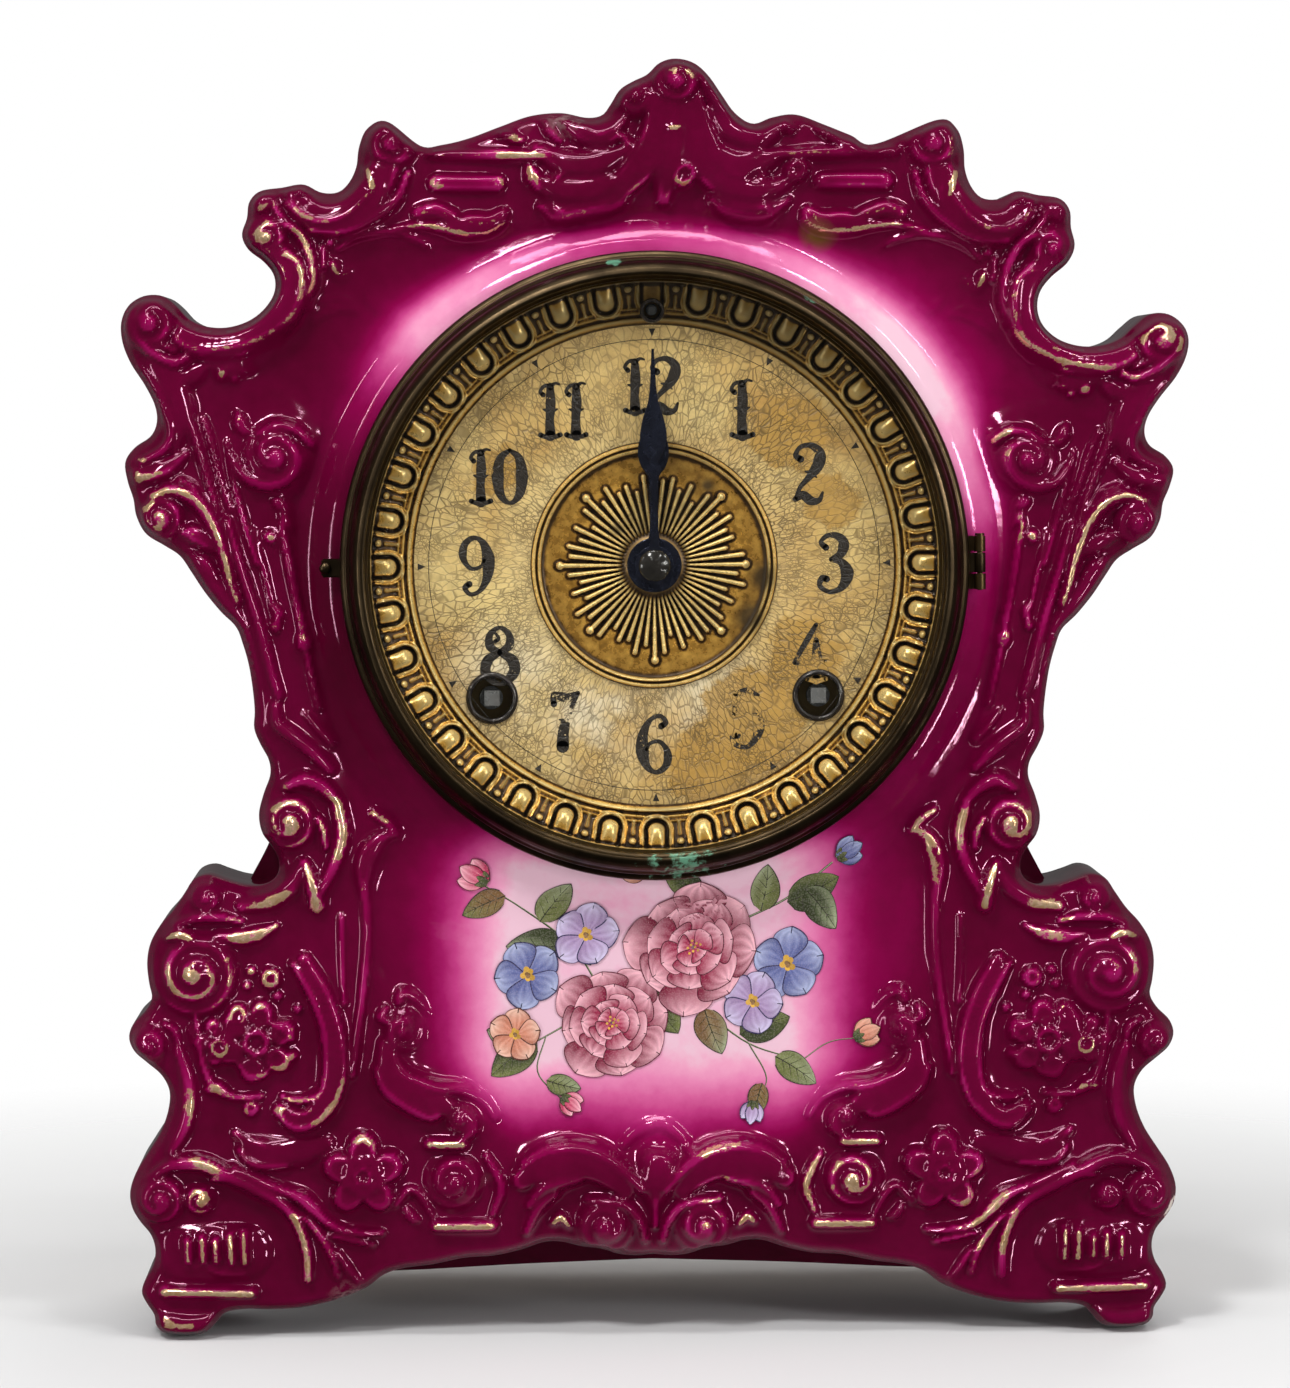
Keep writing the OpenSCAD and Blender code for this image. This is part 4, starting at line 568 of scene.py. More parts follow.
# rows are (shape, radii along it, height, points, gilding), or (volute, centre, radius, height, start angle,
# way, turns, gilding), (knob, centre, radius, height, gilding), (ringlet, centre, radius, width, height, gilding)
# and (petals, centre, count, distance, size, height, start angle)
SHOULDERS = [
    # top corners and the crest's ends
    ("cove", (3.2, 4.2, 4, 3.4), 5, [(-80, 258), (-76, 254.5), (-70, 253.8), (-64.5, 257.5), (-61, 263), (-59.5, 268)]),
    ("volute", (-58.8, 271), 6.2, 5.8, 245, -1),
    ("volute", (-79.6, 259.8), 3.7, 5.2, 285, -1),
    ("round", (1, 1.3, 1.3, 0.9), 4.6, [(-77, 251.2), (-70, 250.8), (-63, 253.6), (-57.5, 258.2), (-55, 264)]),
    ("round", (1, 1.6, 1.6, 1.2), 5.6, [(-82, 261), (-80.4, 256.4), (-75, 253.2), (-69, 254.6), (-63.6, 259.4)], 0.5),
    ("round", (1.1, 1.7, 1.1), 5.4, [(-64, 264.6), (-63.2, 262), (-62.8, 259.6)], 1),
    ("round", (0.6, 0.9, 0.7), 5.2, [(-61.2, 264), (-60.8, 261), (-61, 258)]),
    ("knob", (-88, 258), 3.2, 4.6),
    ("round", (0.9, 1.1, 0.7), 3.8, [(-85.5, 259), (-84.3, 255.2), (-80.2, 252)]),
    ("volute", (-87, 250), 5, 5.6, 340, 1),
    ("cove", (3, 4.2, 4.6, 4.4, 3.6), 5.2, [(-86, 246.8), (-82.2, 242.5), (-81.8, 236), (-86, 230.4), (-93, 227.2),
     (-101, 226.8), (-107.5, 229.6)]),
    ("round", (1, 1.4, 1.2), 4.8, [(-87, 253.4), (-80.5, 251.4), (-77.3, 246), (-76.6, 240), (-78, 234)]),
    ("round", (0.9, 1.7, 1.5, 1.5, 1.5, 1), 5.9, [(-84, 245.8), (-80, 244), (-79, 239), (-81, 232.5), (-87.5, 227.6),
     (-97, 224.9), (-104.5, 225.4), (-108.4, 228.8)], 0.6),
    ("volute", (-113.2, 231.2), 6.8, 6, 300, 1),
    ("round", (1.2, 1.6, 1.2), 5.4, [(-117.2, 231.6), (-116.4, 227.6), (-112, 223.6), (-108, 221.8), (-105.2, 223)]),
    ("round", (0.8, 0.9, 0.7), 4.6, [(-113.6, 227), (-110, 225.4), (-107.6, 224.3)]),
    ("crease", (1.2, 3.6, 3.4, 1.6), 3.2, [(-114, 222), (-109, 216.6), (-106.4, 210), (-108, 203)]),
    ("round", (1.2, 1.5, 1.3, 1.4, 1), 4.6, [(-116.5, 220.6), (-112, 213.6), (-109, 207), (-110.5, 202.4),
        (-116, 199.4)]),
    ("crease", (1, 2.6, 2.2), 3.6, [(-105.6, 201), (-110.6, 197.6), (-116.4, 196.2)]),
    ("round", (1, 1.2, 0.8), 4.4, [(-117.2, 196.6), (-113.6, 196.2), (-109, 197.8)]),
    ("round", (0.7, 1.1, 1.1, 0.9, 0.6), 3.2, [(-106.2, 215), (-104.4, 208), (-102.4, 201), (-99.4, 190.5),
        (-95.6, 178.5)]),
    ("round", (0.7, 1, 0.6), 3, [(-109.4, 214), (-107.8, 209), (-107.6, 204)]),
    ("round", (0.7, 1, 0.9, 0.6), 2.8, [(-101.6, 209), (-100, 204), (-98.2, 196), (-95.6, 188)]),
    ("round", (0.6, 1, 0.8), 2.6, [(-96.4, 204), (-94, 190), (-90, 176)]),
    ("knob", (-97.2, 219.3), 1.9, 3.6, 1),
    ("knob", (-94.4, 218.3), 1.3, 2.8, 0.4),
    ("crease", (0.6, 1.9, 1.5, 0.4), 3.2, [(-94, 210.4), (-92.8, 206.8), (-90.4, 205.8)], 0.5),
    ("crease", (0.8, 2.2, 2.4, 0.8), 3, [(-110.5, 219.5), (-106, 218), (-103, 219.4), (-100, 221.6)]),
    ("crease", (0.8, 2.4, 2, 0.8), 2.8, [(-101, 221.4), (-94, 220.6), (-88, 222.6), (-84, 226.6)]),
    ("round", (0.5, 1, 1, 0.5), 2.8, [(-77.2, 230.4), (-75.4, 234.4), (-72, 236), (-68.6, 235.4), (-66.6, 233)]),
    ("round", (0.5, 0.9, 0.9, 0.5), 2.6, [(-77, 230.6), (-73, 232.9), (-69, 233.6), (-66.6, 232.8)]),
    ("round", (0.8, 2, 2.2, 0.9), 1.7, [(-76.4, 231.4), (-72.6, 234.3), (-68, 234.4)]),
    ("round", (0.8, 1.4, 0.7), 2.2, [(-64.9, 237), (-63.6, 235), (-62.2, 232.6)]),
    ("round", (0.8, 1.2, 1.1, 0.9, 0.5), 2.2, [(-71.4, 246.8), (-66.4, 249.8), (-59, 250.8), (-52.6, 248.8),
        (-49.4, 245.6)]),
    ("round", (0.8, 1), 2.8, [(-74.4, 247.4), (-74.2, 243)]),
    ("knob", (-72.6, 248.4), 1.4, 3),
    ("round", (1, 1.7, 1.3), 3, [(-72.2, 243.8), (-70.8, 241), (-68.4, 241.8)], 1),
    # tablets and bars beside the crest
    ("flat", (2, 2), 3.2, [(-48.4, 261.8), (-34.8, 261.6)]),
    ("flat", (1.1, 1.4, 0.9), 3.8, [(-50, 268.4), (-30, 268), (-15.6, 267.4)], 0.5),
    ("flat", (1.7, 2, 1.7), 3, [(-52.6, 255), (-49, 255.6), (-45, 254)], 0.5),
    ("flat", (1.8, 2.3, 2.3, 1.6), 3.2, [(-45, 252), (-41, 252.8), (-37, 252.6), (-33.6, 254.6)], 0.5),
    ("round", (0.6, 1.2, 1.2, 0.7), 3.4, [(-58.5, 251.6), (-52, 252.2), (-47, 251.4), (-43, 250.4),
        (-37, 250.6), (-33, 253)],
     0.8),
]
CREST_WORK = [
    # crest, which isn't symmetrical
    ("cove", (2.6, 3.6, 4, 3), 4.4, [(1.6, 280), (1.4, 273), (-2.4, 265), (-8.6, 259)]),
    ("cove", (2.6, 3.8, 4.2, 3.2), 4.4, [(9.6, 280), (11, 272), (14, 265), (20, 259)]),
    ("crease", (1.2, 4, 4.6, 2), 4.6, [(5, 283), (5.8, 274), (4.6, 266), (3, 258)]),
    ("round", (1.6, 2.4, 2, 1.2), 5.6, [(10.6, 287.2), (13.4, 284), (15.4, 279.6), (18, 276)]),
    ("crease", (1.2, 3.4, 3, 1.2), 4.2, [(-6, 276), (-11, 272.2), (-16.4, 273.6), (-20, 276)]),
    ("crease", (1.2, 3.8, 3.4, 1.2), 4.4, [(-4, 270), (-11, 266), (-19, 266), (-26, 269.6)]),
    ("crease", (1.4, 4, 3.6, 1.2), 4.4, [(-5, 263), (-13, 259.8), (-21, 260), (-27.4, 262.8)]),
    ("crease", (1.4, 3.4, 3, 1), 4, [(-6, 257.8), (-13, 254.8), (-20, 254.4), (-25, 256.4)]),
    ("crease", (1.2, 3.2, 3.2, 1.2), 4.2, [(14, 278), (19, 272.6), (25, 271.4), (29.6, 274)]),
    ("crease", (1.2, 3.6, 3.4, 1.2), 4.4, [(11.4, 271), (17, 266), (24, 265.4), (30, 268)]),
    ("crease", (1.2, 3.8, 3.4, 1.2), 4.4, [(12.4, 264), (19, 259.8), (26, 259.4), (32, 261.6)]),
    ("crease", (1.2, 3.2, 2.8, 1), 4, [(14, 257.8), (20, 254.8), (26.6, 255), (31, 257.2)]),
    ("round", (0.7, 1.3, 0.8), 4.8, [(-16, 275), (-12, 272.6), (-8, 273.6), (-6, 275)]),
    ("round", (0.7, 1.2, 0.8), 4.8, [(-9.4, 270.6), (-7, 272.2), (-5, 270.4)]),
    ("round", (0.9, 2, 1.4), 4.4, [(-27.6, 265.6), (-26.6, 263), (-25.4, 260.8)]),
    ("round", (0.7, 1.2, 0.8), 4.6, [(-22, 261.4), (-20.8, 263), (-19.4, 263.6)]),
    ("round", (0.8, 1.4, 0.9), 4.6, [(-22.2, 256.4), (-20.4, 255), (-18.4, 253.8)]),
    ("round", (0.8, 1.3, 0.7), 4.2, [(-24.4, 276.6), (-22.6, 273.4), (-20.4, 271)]),
    ("round", (0.8, 1.4, 0.8), 4, [(-34.4, 273.2), (-31.6, 272.2), (-29, 271.4)]),
    ("round", (0.8, 1.4, 0.9), 4.8, [(15.4, 266.4), (17.4, 263.6), (21, 262.6), (23.4, 264)]),
    ("round", (0.7, 1.1, 0.7), 4.6, [(25.4, 263.4), (26.4, 259)]),
    ("round", (0.7, 1.4, 0.9), 4.6, [(22, 254.6), (25.8, 255.8), (27.2, 254)]),
    ("round", (0.7, 1.3, 0.9), 4.6, [(21, 273.2), (24, 271.8), (27, 271.6)]),
    ("round", (0.8, 1.3, 0.8), 4.2, [(30.2, 275.2), (31.2, 273.8), (32.6, 273.6)]),
    ("round", (0.8, 1.4, 0.8), 4, [(38, 273.6), (40.6, 272), (43, 270.4)]),
    ("round", (0.8, 1.2, 0.8), 3.6, [(42.4, 270.4), (45.4, 269.8), (48, 270)]),
    ("round", (0.8, 1.6, 0.8), 5.2, [(3.6, 274.6), (5.4, 273.6), (7.2, 274.2)], 1),
    ("volute", (6.2, 284.6), 5.8, 6.4, 300, 1),
    ("volute", (-3.8, 281), 4.5, 5.6, 250, -1),
    ("ringlet", (7.6, 263.2), 1.9, 1, 5),
    ("ringlet", (33.2, 264), 1.7, 1.1, 4.4, 0.4),
]
SIDES = [
    # elbows, inner volutes and the narrow side columns
    ("volute", (-111.8, 186.6), 5.4, 5.6, 100, 1),
    ("round", (1.2, 2, 2, 1.6, 1), 5.4, [(-113.2, 191.6), (-108.6, 193), (-103.4, 190.6), (-99.6, 185), (-97.2, 178),
     (-96, 172.5), (-94.4, 167.6)], 0.8),
    ("round", (0.6, 1, 0.6), 4, [(-107.4, 195.4), (-104.4, 193.8), (-101.2, 190)]),
    ("crease", (0.8, 2.5, 2.3, 0.8), 4.2, [(-107.2, 183.2), (-104.4, 183), (-101, 181), (-98.8, 179)]),
    ("crease", (0.8, 2.2, 1.8, 0.6), 3.4, [(-105, 178.2), (-101.6, 175.4), (-98.6, 170.6)]),
    ("round", (2.2, 2.8, 2.4, 1.6), 2.6, [(-103.4, 175.4), (-98, 168.6), (-94.2, 161), (-91.6, 152)]),
    ("round", (0.8, 1.3, 1.3, 1.3, 1.1), 3.6, [(-96.4, 186), (-93.4, 174.6), (-89.8, 163), (-87, 152),
        (-85.2, 146)], 0.25),
    ("round", (0.8, 1.2, 1.1, 0.9, 0.8), 3, [(-84.4, 185), (-82.2, 174), (-80, 163), (-78, 152), (-76.2, 143)]),
    ("round", (0.5, 0.9, 0.6), 2.2, [(-90.6, 184), (-87.8, 172), (-85.8, 163)]),
    ("knob", (-86.8, 182), 1.9, 2.8, 1),
    ("volute", (-85.6, 200.6), 6.8, 4.8, 10, 1),
    ("round", (0.8, 1.4, 1.4, 0.8), 4.4, [(-77.4, 203), (-80.6, 206.2), (-85, 207.4), (-89.2, 205.6)]),
    ("round", (0.8, 1.5, 1.5, 0.9), 4.4, [(-95, 200), (-92.6, 196), (-88, 194), (-83.4, 194.6), (-81, 196.8)], 0.3),
    ("crease", (0.5, 1.6, 1.3, 0.5), 2.8, [(-86.2, 190.6), (-83.8, 189), (-82, 187.4)]),
    ("crease", (0.5, 1.5, 1.1, 0.4), 2.6, [(-84.6, 187.6), (-82.8, 185.2), (-81.6, 182.8)]),
    ("round", (0.6, 0.9, 0.9), 3.4, [(-86.4, 166.4), (-85, 165), (-85.8, 161.8)]),
    ("knob", (-85.9, 161.6), 1.2, 3.6, 0.7),
    ("round", (0.6, 0.9, 1.2, 1.2), 3.4, [(-79.6, 165.2), (-79.2, 162.4), (-76.6, 160.4), (-76.4, 157.8)]),
    ("volute", (-78.2, 158.2), 2.9, 4.2, 60, -1),
    ("round", (1, 1.7, 1.8, 1.1), 4.4, [(-86, 144), (-85.4, 139.6), (-81, 136), (-77, 132.6), (-73.8, 129.2)]),
    ("round", (0.5, 0.9, 1.1), 3.2, [(-79.6, 142.2), (-76.6, 138.6), (-73.2, 135.2)]),
    ("round", (1, 2, 1.8, 1.2), 4.8, [(-84, 125.4), (-79.6, 127), (-75.4, 125.4), (-71.8, 121.6)], 0.3),
    ("round", (1.6, 1.8, 1.8, 1.6, 1.2), 4.2, [(-72, 121), (-71, 114.6), (-72.8, 108), (-75.4, 103), (-77, 99)]),
    ("volute", (-83.2, 117.6), 6.4, 5.2, 80, 1),
    ("round", (0.7, 1.1, 0.7), 4.4, [(-76.6, 118.6), (-75.2, 115), (-74.8, 111.6)]),
    ("round", (0.8, 1.2, 1), 3.4, [(-64.2, 119.2), (-60.6, 116.8), (-58.8, 114.4)]),
    ("crease", (1.2, 2.6, 2.4, 1), 3.2, [(-60, 114.6), (-63.4, 112.8), (-66, 108), (-66.4, 100)], 0.4),
    ("round", (1.4, 1.2, 1.2, 1.2, 1.2), 2.8, [(-66.2, 104), (-65.6, 92), (-66.6, 80), (-68.2, 68), (-69.4, 60)]),
    ("round", (0.8, 0.8, 0.8), 2.2, [(-71.6, 96), (-71.4, 84), (-71, 76)]),
    # shoulders of the base with the flower work
    ("volute", (-102, 100.6), 3.6, 4.2, 300, 1),
    ("round", (0.9, 1.4, 1.2, 0.7), 4.6, [(-109, 94.4), (-104, 96), (-98.6, 95.9), (-94, 95.1)]),
    ("crease", (0.8, 2.1, 1.9, 0.6), 4, [(-100, 92), (-95.6, 91.4), (-90.6, 92), (-86, 94)]),
    ("round", (1.6, 2.4, 2.4, 1.6), 3.2, [(-94, 98.4), (-88, 99.6), (-83, 102.6), (-80, 108)]),
    ("round", (1, 2.2, 2.1), 4.8, [(-79.4, 108), (-77.8, 103), (-77, 98.6)], 1),
    ("volute", (-104.6, 83.4), 9.8, 5.6, 70, 1, 1.7, 0.15),
    ("crease", (0.8, 1.8, 1.4), 5.2, [(-111, 91.4), (-108.4, 92.4), (-105.6, 91.6)], 1),
    ("volute", (-115.6, 67.2), 4.2, 4.8, 90, 1, 1),
    ("round", (0.7, 1.1, 0.7), 3.4, [(-112, 71.8), (-109.6, 70.6), (-108.6, 67.6)]),
    ("round", (0.6, 1, 0.6), 3, [(-106, 70.6), (-105, 67.4)]),
    ("round", (1.4, 2, 2.2, 2, 1.6), 3.4, [(-108.6, 66), (-106.4, 58), (-107, 50), (-110.4, 43)]),
    ("petals", (-90.9, 67.8), 6, 5.9, 2.9, 4.2, 20),
    ("ringlet", (-90.9, 67.8), 2.4, 1.1, 5, 0.3),
    ("round", (0.6, 1, 0.6), 4.4, [(-88.6, 72.4), (-86, 71.4), (-82.6, 68.2)]),
    ("round", (0.6, 1, 0.6), 4.2, [(-96, 64), (-93, 60.6), (-89.6, 60), (-87.6, 62.4)]),
    ("petals", (-99.4, 68), 5, 3.3, 1.9, 4.4, 40),
    ("ringlet", (-99.2, 66.8), 1.7, 0.9, 4.8, 0.9),
    ("ringlet", (-95, 74), 1.6, 0.9, 4.4, 0.5),
    ("ringlet", (-87.6, 82), 1.5, 0.9, 4.2, 0.5),
    ("knob", (-92, 83.6), 1.2, 3.4, 0.3),
    ("knob", (-93, 80.4), 1.1, 3.4, 0.3),
    ("knob", (-86.2, 78), 1.2, 3.4, 0.3),
    ("knob", (-83, 64.4), 1.4, 3.4, 0.3),
    ("knob", (-81.6, 75), 1, 3.4, 0.3),
    ("round", (1, 1.9, 1.1), 3.8, [(-102, 57), (-100, 57.4), (-98, 56.6)], 0.7),
    ("ringlet", (-92.3, 52.6), 1.2, 0.7, 3.6),
    ("cove", (1.6, 2.6, 3, 3, 2.6, 1.8), 4.6, [(-80, 86), (-76.4, 78.6), (-73.8, 70), (-73.2, 61),
        (-75.6, 53.4), (-80.6, 50),
     (-85.6, 52)]),
    ("round", (0.7, 1.2, 1.2, 1), 4.8, [(-82.6, 85.4), (-78.6, 78.6), (-75.6, 71), (-74.8, 65)], 0.4),
    ("round", (0.6, 1, 1, 0.6), 3.8, [(-75, 59), (-77.4, 55.6), (-81.4, 54.3), (-85.4, 55.2)]),
    ("round", (0.7, 1.2, 1.2, 0.8), 5, [(-74.4, 54.4), (-76.6, 50.4), (-81, 48.2), (-84.6, 49.8), (-85.8, 52.6)]),
    ("round", (0.8, 1.2, 1.2, 0.8), 3.4, [(-104.6, 74), (-103.6, 66), (-101, 58), (-95.6, 55.2), (-90, 55.4)]),
    ("round", (0.8, 1.3, 1.3, 0.8), 4, [(-95, 43.2), (-92.6, 40.6), (-88.4, 39.7), (-84.2, 39.7)]),
    ("round", (0.6, 0.9, 0.6), 3.4, [(-92, 45.2), (-89.8, 44.6), (-88, 43)]),
    ("crease", (1, 3.4, 3.8, 2), 2.8, [(-96, 47), (-90, 43), (-82, 42.6), (-75, 44.6)]),
    # foot with its arch, flutes and gilt bar
    ("round", (1.2, 2, 2, 1.7, 1.5, 1.3, 1.2), 5.4, [(-115.4, 36.8), (-111, 40), (-104.6, 40.6), (-99, 38.4),
        (-92, 34.8),
     (-85.6, 31.2), (-82, 26.6), (-80, 20), (-79.8, 14)]),
    ("round", (0.7, 1.1, 1.1, 0.8), 5.2, [(-101, 36.8), (-96.6, 36.6), (-90, 33.8), (-85, 31)]),
    ("round", (0.8, 1.2, 1.2, 1.1, 0.8), 4.6, [(-96.4, 39.4), (-89, 35.8), (-82, 32.6), (-77.6, 28.8), (-72.8, 25.4),
     (-67, 24.2), (-63, 24.1)]),
    ("round", (0.7, 1.1, 1, 0.7), 4, [(-84.6, 34.6), (-79.4, 32), (-75.6, 28)]),
    ("round", (0.7, 1.1, 1.1, 0.7), 3.8, [(-84, 30), (-79, 26.6), (-74.6, 20), (-73, 14)], 0.5),
    ("round", (0.7, 1, 0.7), 3.6, [(-74.6, 23.8), (-70, 22.8), (-65, 21.4)]),
    ("round", (0.6, 0.9, 0.6), 3.4, [(-73, 20), (-70.6, 16), (-68.4, 13)]),
    ("flat", (6.4, 6.8, 6.4), 1.6, [(-108, 20), (-101, 20), (-94, 20)]),
    ("volute", (-113.2, 32.4), 5.6, 5.6, 100, 1),
    ("volute", (-104, 32.2), 3.6, 4.8, 110, -1, 1, 0.5),
    ("flat", (0.95, 0.95), 5.2, [(-107, 23), (-106.7, 18.4)], 0.9),
    ("flat", (0.95, 0.95), 5.2, [(-103.6, 23.4), (-103.3, 18.6)], 0.9),
    ("flat", (0.95, 0.95), 5.2, [(-100.6, 23), (-100.3, 18.6)], 0.8),
    ("flat", (0.95, 0.95), 5.2, [(-97.2, 24), (-96.9, 18)], 1),
    ("flat", (0.95, 0.95), 5.2, [(-94.2, 24.4), (-93.9, 18)], 0.9),
    ("round", (0.6, 0.9, 0.9, 0.6), 3.2, [(-107, 16.4), (-103.4, 17), (-99.6, 15.6), (-94, 15.3)]),
    ("flat", (1.3, 1.3), 4.2, [(-112.4, 11.4), (-92.4, 10.8)], 1),
    ("round", (2.4, 2.8, 2.2), 2.6, [(-113, 4.4), (-107, 3.4), (-101.4, 4.2)]),
    # flowers, bosses and scrolls beside the apron
    ("petals", (-67, 37.5), 5, 5.3, 3.5, 4.8, 90),
    ("ringlet", (-67, 37.4), 1.7, 0.9, 5, 0.6),
    ("knob", (-61.6, 32.6), 1.3, 4.6, 0.4),
    ("volute", (-46.6, 35.8), 6.6, 4.6, 60, 1),
    ("flat", (1.3, 1.3), 4.2, [(-52, 44.2), (-44.4, 44.2)], 1),
    ("flat", (1.4, 1.4), 4.2, [(-50.6, 25.6), (-38, 25.6)], 0.9),
    ("round", (0.8, 1.3, 1.2, 0.8), 3.8, [(-39.2, 41.4), (-37, 37.6), (-35.8, 33.6), (-37.8, 28)], 0.2),
    ("round", (0.6, 1, 1, 0.6), 3.4, [(-60, 30), (-56.6, 34), (-53.6, 32), (-51.2, 27.4)]),
    ("round", (0.8, 1.4, 0.8), 3.8, [(-57.4, 29.6), (-56, 27.4), (-54.8, 27)]),
    ("volute", (-57.4, 69.8), 5, 5, 215, -1),
    ("round", (0.8, 1.5, 1.3, 0.7), 4.4, [(-58.8, 76.2), (-57.6, 78.6), (-54.6, 77.2), (-52, 73.6)]),
    ("round", (0.8, 1.3, 0.8), 4.4, [(-61.6, 75), (-62.6, 73), (-60.4, 71.8)]),
    ("cove", (2, 3.4, 3.8, 3.2, 1.8), 4.4, [(-61.4, 66.6), (-60.4, 60.6), (-55.6, 56), (-50, 53.8), (-46, 51.4)]),
    ("round", (1, 1.6, 1.5, 0.9), 5, [(-63.8, 61.4), (-62, 57), (-57.6, 53.4), (-52.4, 50.6), (-50, 51),
        (-51.8, 52.8)]),
    ("round", (0.8, 1.4, 1.6, 1.5, 0.9), 5, [(-60.2, 61.2), (-55.4, 59.2), (-50, 57.1), (-44.4, 56.8), (-39.6, 54),
     (-36.8, 49.8)]),
    ("volute", (-44.6, 50), 3.4, 4.6, 320, 1),
    ("round", (0.8, 1.3, 0.8), 4.2, [(-41.8, 50), (-42.2, 47), (-45.4, 45.2)]),
    ("cove", (2.4, 3.8, 4, 3.4, 1.8), 4.4, [(-31, 36), (-26.4, 39.4), (-20, 40.2), (-13, 38.2), (-7.4, 33.2)]),
    ("round", (1.2, 1.8, 1.8, 1.2), 5.2, [(-30.6, 39.6), (-26, 42.4), (-20, 43.4), (-13.6, 42), (-8.8, 38.8),
        (-4, 33.6)],
     0.15),
    ("round", (1, 1.8, 2, 1.2), 5, [(-29.6, 30), (-26.2, 34.2), (-22, 35.6), (-18, 36.2)], 0.35),
    ("round", (0.8, 1.4, 1.2), 4.4, [(-30.2, 23.6), (-27.4, 29.6), (-23.6, 33)]),
    ("volute", (-12.2, 25.4), 6.6, 4.8, 120, -1),
    ("round", (0.8, 1.3, 1.2, 0.8), 4.8, [(-16.4, 31.4), (-11, 31), (-7, 29.6), (-4.2, 25.6), (-3.2, 21.6)]),
    ("round", (0.8, 1.3, 0.7), 4, [(-24, 26), (-22.4, 27.4), (-20.4, 25.2)], 0.9),
]
MIDDLE_WORK = [
    ("crease", (1, 4.6, 4.4, 1.4), 3.8, [(0, 46), (0, 41), (-0.6, 35), (-1, 30)]),
    ("round", (1.3, 1.8, 1.8, 1.3), 5.4, [(-7.8, 43.6), (-4.4, 46.6), (0, 48), (3.8, 46.2), (7.4, 42)]),
    ("round", (0.7, 1, 0.6), 4.6, [(-1, 31.6), (-1, 25)]),
    ("round", (0.6, 1.1, 0.7), 4.4, [(1, 34.6), (3.6, 37.6), (6.6, 38.6)], 0.4),
]
work(SHOULDERS, from_left, (1, -1))
work(CREST_WORK, from_middle)
work(SIDES, from_left, (1, -1))
work(MIDDLE_WORK, from_middle)

# the ground steps up outside the panel, and everything rounds off at the outline
worked = 1 - open_panel
ring = np.hypot(GX, GZ - DIAL)
keep = smooth(ring, 77, 82)
ripple = blur(rng.standard_normal(GX.shape), 5.0)
ripple /= np.abs(ripple).max()
share = 0.35 + 0.65 * np.clip(worked * 1.6, 0, 1)
height = 1.2 * worked + 0.66 * relief * share + 0.85 * blur(relief * share, 2.6)
height = blur(height * keep, 0.4) + 0.35 * ripple * worked
lip = np.interp(ring, [0, 70.6, 72, 73.6, 75.6, 78, 80.6, 84], [LIP, LIP, 4.86, 4.3, 3.0, 1.2, 0.3, 0])
height = np.maximum(height, lip)
fall = ROUND - np.sqrt(np.clip(ROUND**2 - np.clip(ROUND - edge, 0, None) ** 2, 0, None))
height = height * smooth(edge, 0.1, 2.0) - fall
cavity = height - blur(height, 1.9)
broad = height - blur(height, 6.5)
patchy = blur(rng.standard_normal(GX.shape), 5.0)
patchy /= patchy.std()
fine = height - blur(height, 1.0)
gold = np.maximum(gold, 0.74 * smooth(fine, 0.16, 0.34) * smooth(patchy, -0.2, 1.1) * keep) * smooth(edge, 1.0, 3.5)


# ---------------------------------------------------------------- the porcelain case
def sample(field, x, z):
    """The field read between its grid points."""
    i = np.clip((x - gx[0]) / STEP, 0, len(gx) - 1.001)
    j = np.clip((z - gz[0]) / STEP, 0, len(gz) - 1.001)
    a, b = i.astype(int), j.astype(int)
    u, w = i - a, j - b
    low = (1 - u) * field[a, b] + u * field[a + 1, b]
    high = (1 - u) * field[a, b + 1] + u * field[a + 1, b + 1]
    return (1 - w) * low + w * high


def inset(line, d):
    """A closed line, counterclockwise, moved inwards."""
    n = np.roll(line, -1, 0) - np.roll(line, 1, 0)
    n = np.stack([-n[:, 1], n[:, 0]], 1)
    return line + d * n / np.linalg.norm(n, axis=1, keepdims=True)


def shrink(line, d):
    """A closed line moved well inwards, a little at a time so that it never crosses itself."""
    for _ in range(int(d / 0.5)):
        line = inset(line, 0.5)
        line = even(0.5 * line + 0.25 * (np.roll(line, 1, 0) + np.roll(line, -1, 0)), 1.6)
    return line


def within(poly, points):
    """Whether each point lies inside a closed line."""
    a, b = poly, np.roll(poly, -1, axis=0)
    x, z = points[:, :1], points[:, 1:]
    cross = (a[:, 1] <= z) != (b[:, 1] <= z)
    with np.errstate(divide="ignore", invalid="ignore"):
        at = a[:, 0] + (z - a[:, 1]) / (b[:, 1] - a[:, 1]) * (b[:, 0] - a[:, 0])
    return (cross & (x < at)).sum(1) % 2 == 1


def triangles(points, edges, border):
    """Triangles on these points that keep these edges and lie inside a closed line."""
    out = delaunay_2d_cdt([Vector(p) for p in np.asarray(points).tolist()], edges, [], 0, 1e-6, True)
    ids = np.array([o[0] for o in out[3]])
    f = np.array([tuple(t) for t in out[2]])
    at = np.array([tuple(p) for p in out[0]])
    mid = at[f].mean(1)
    ok = within(border, mid)
    return ids[f[ok]], mid[ok]


def loop(n, start=0):
    """The edges of a closed line of n points."""
    return [(start + i, start + (i + 1) % n) for i in range(n)]


def fill(line):
    return triangles(line, loop(len(line)), line)[0]


def lids(first, last, back):
    """Faces that close a solid at its first ring and, from point number back, at its last."""
    return fill(first).tolist() + (back + fill(last)[:, ::-1]).tolist()


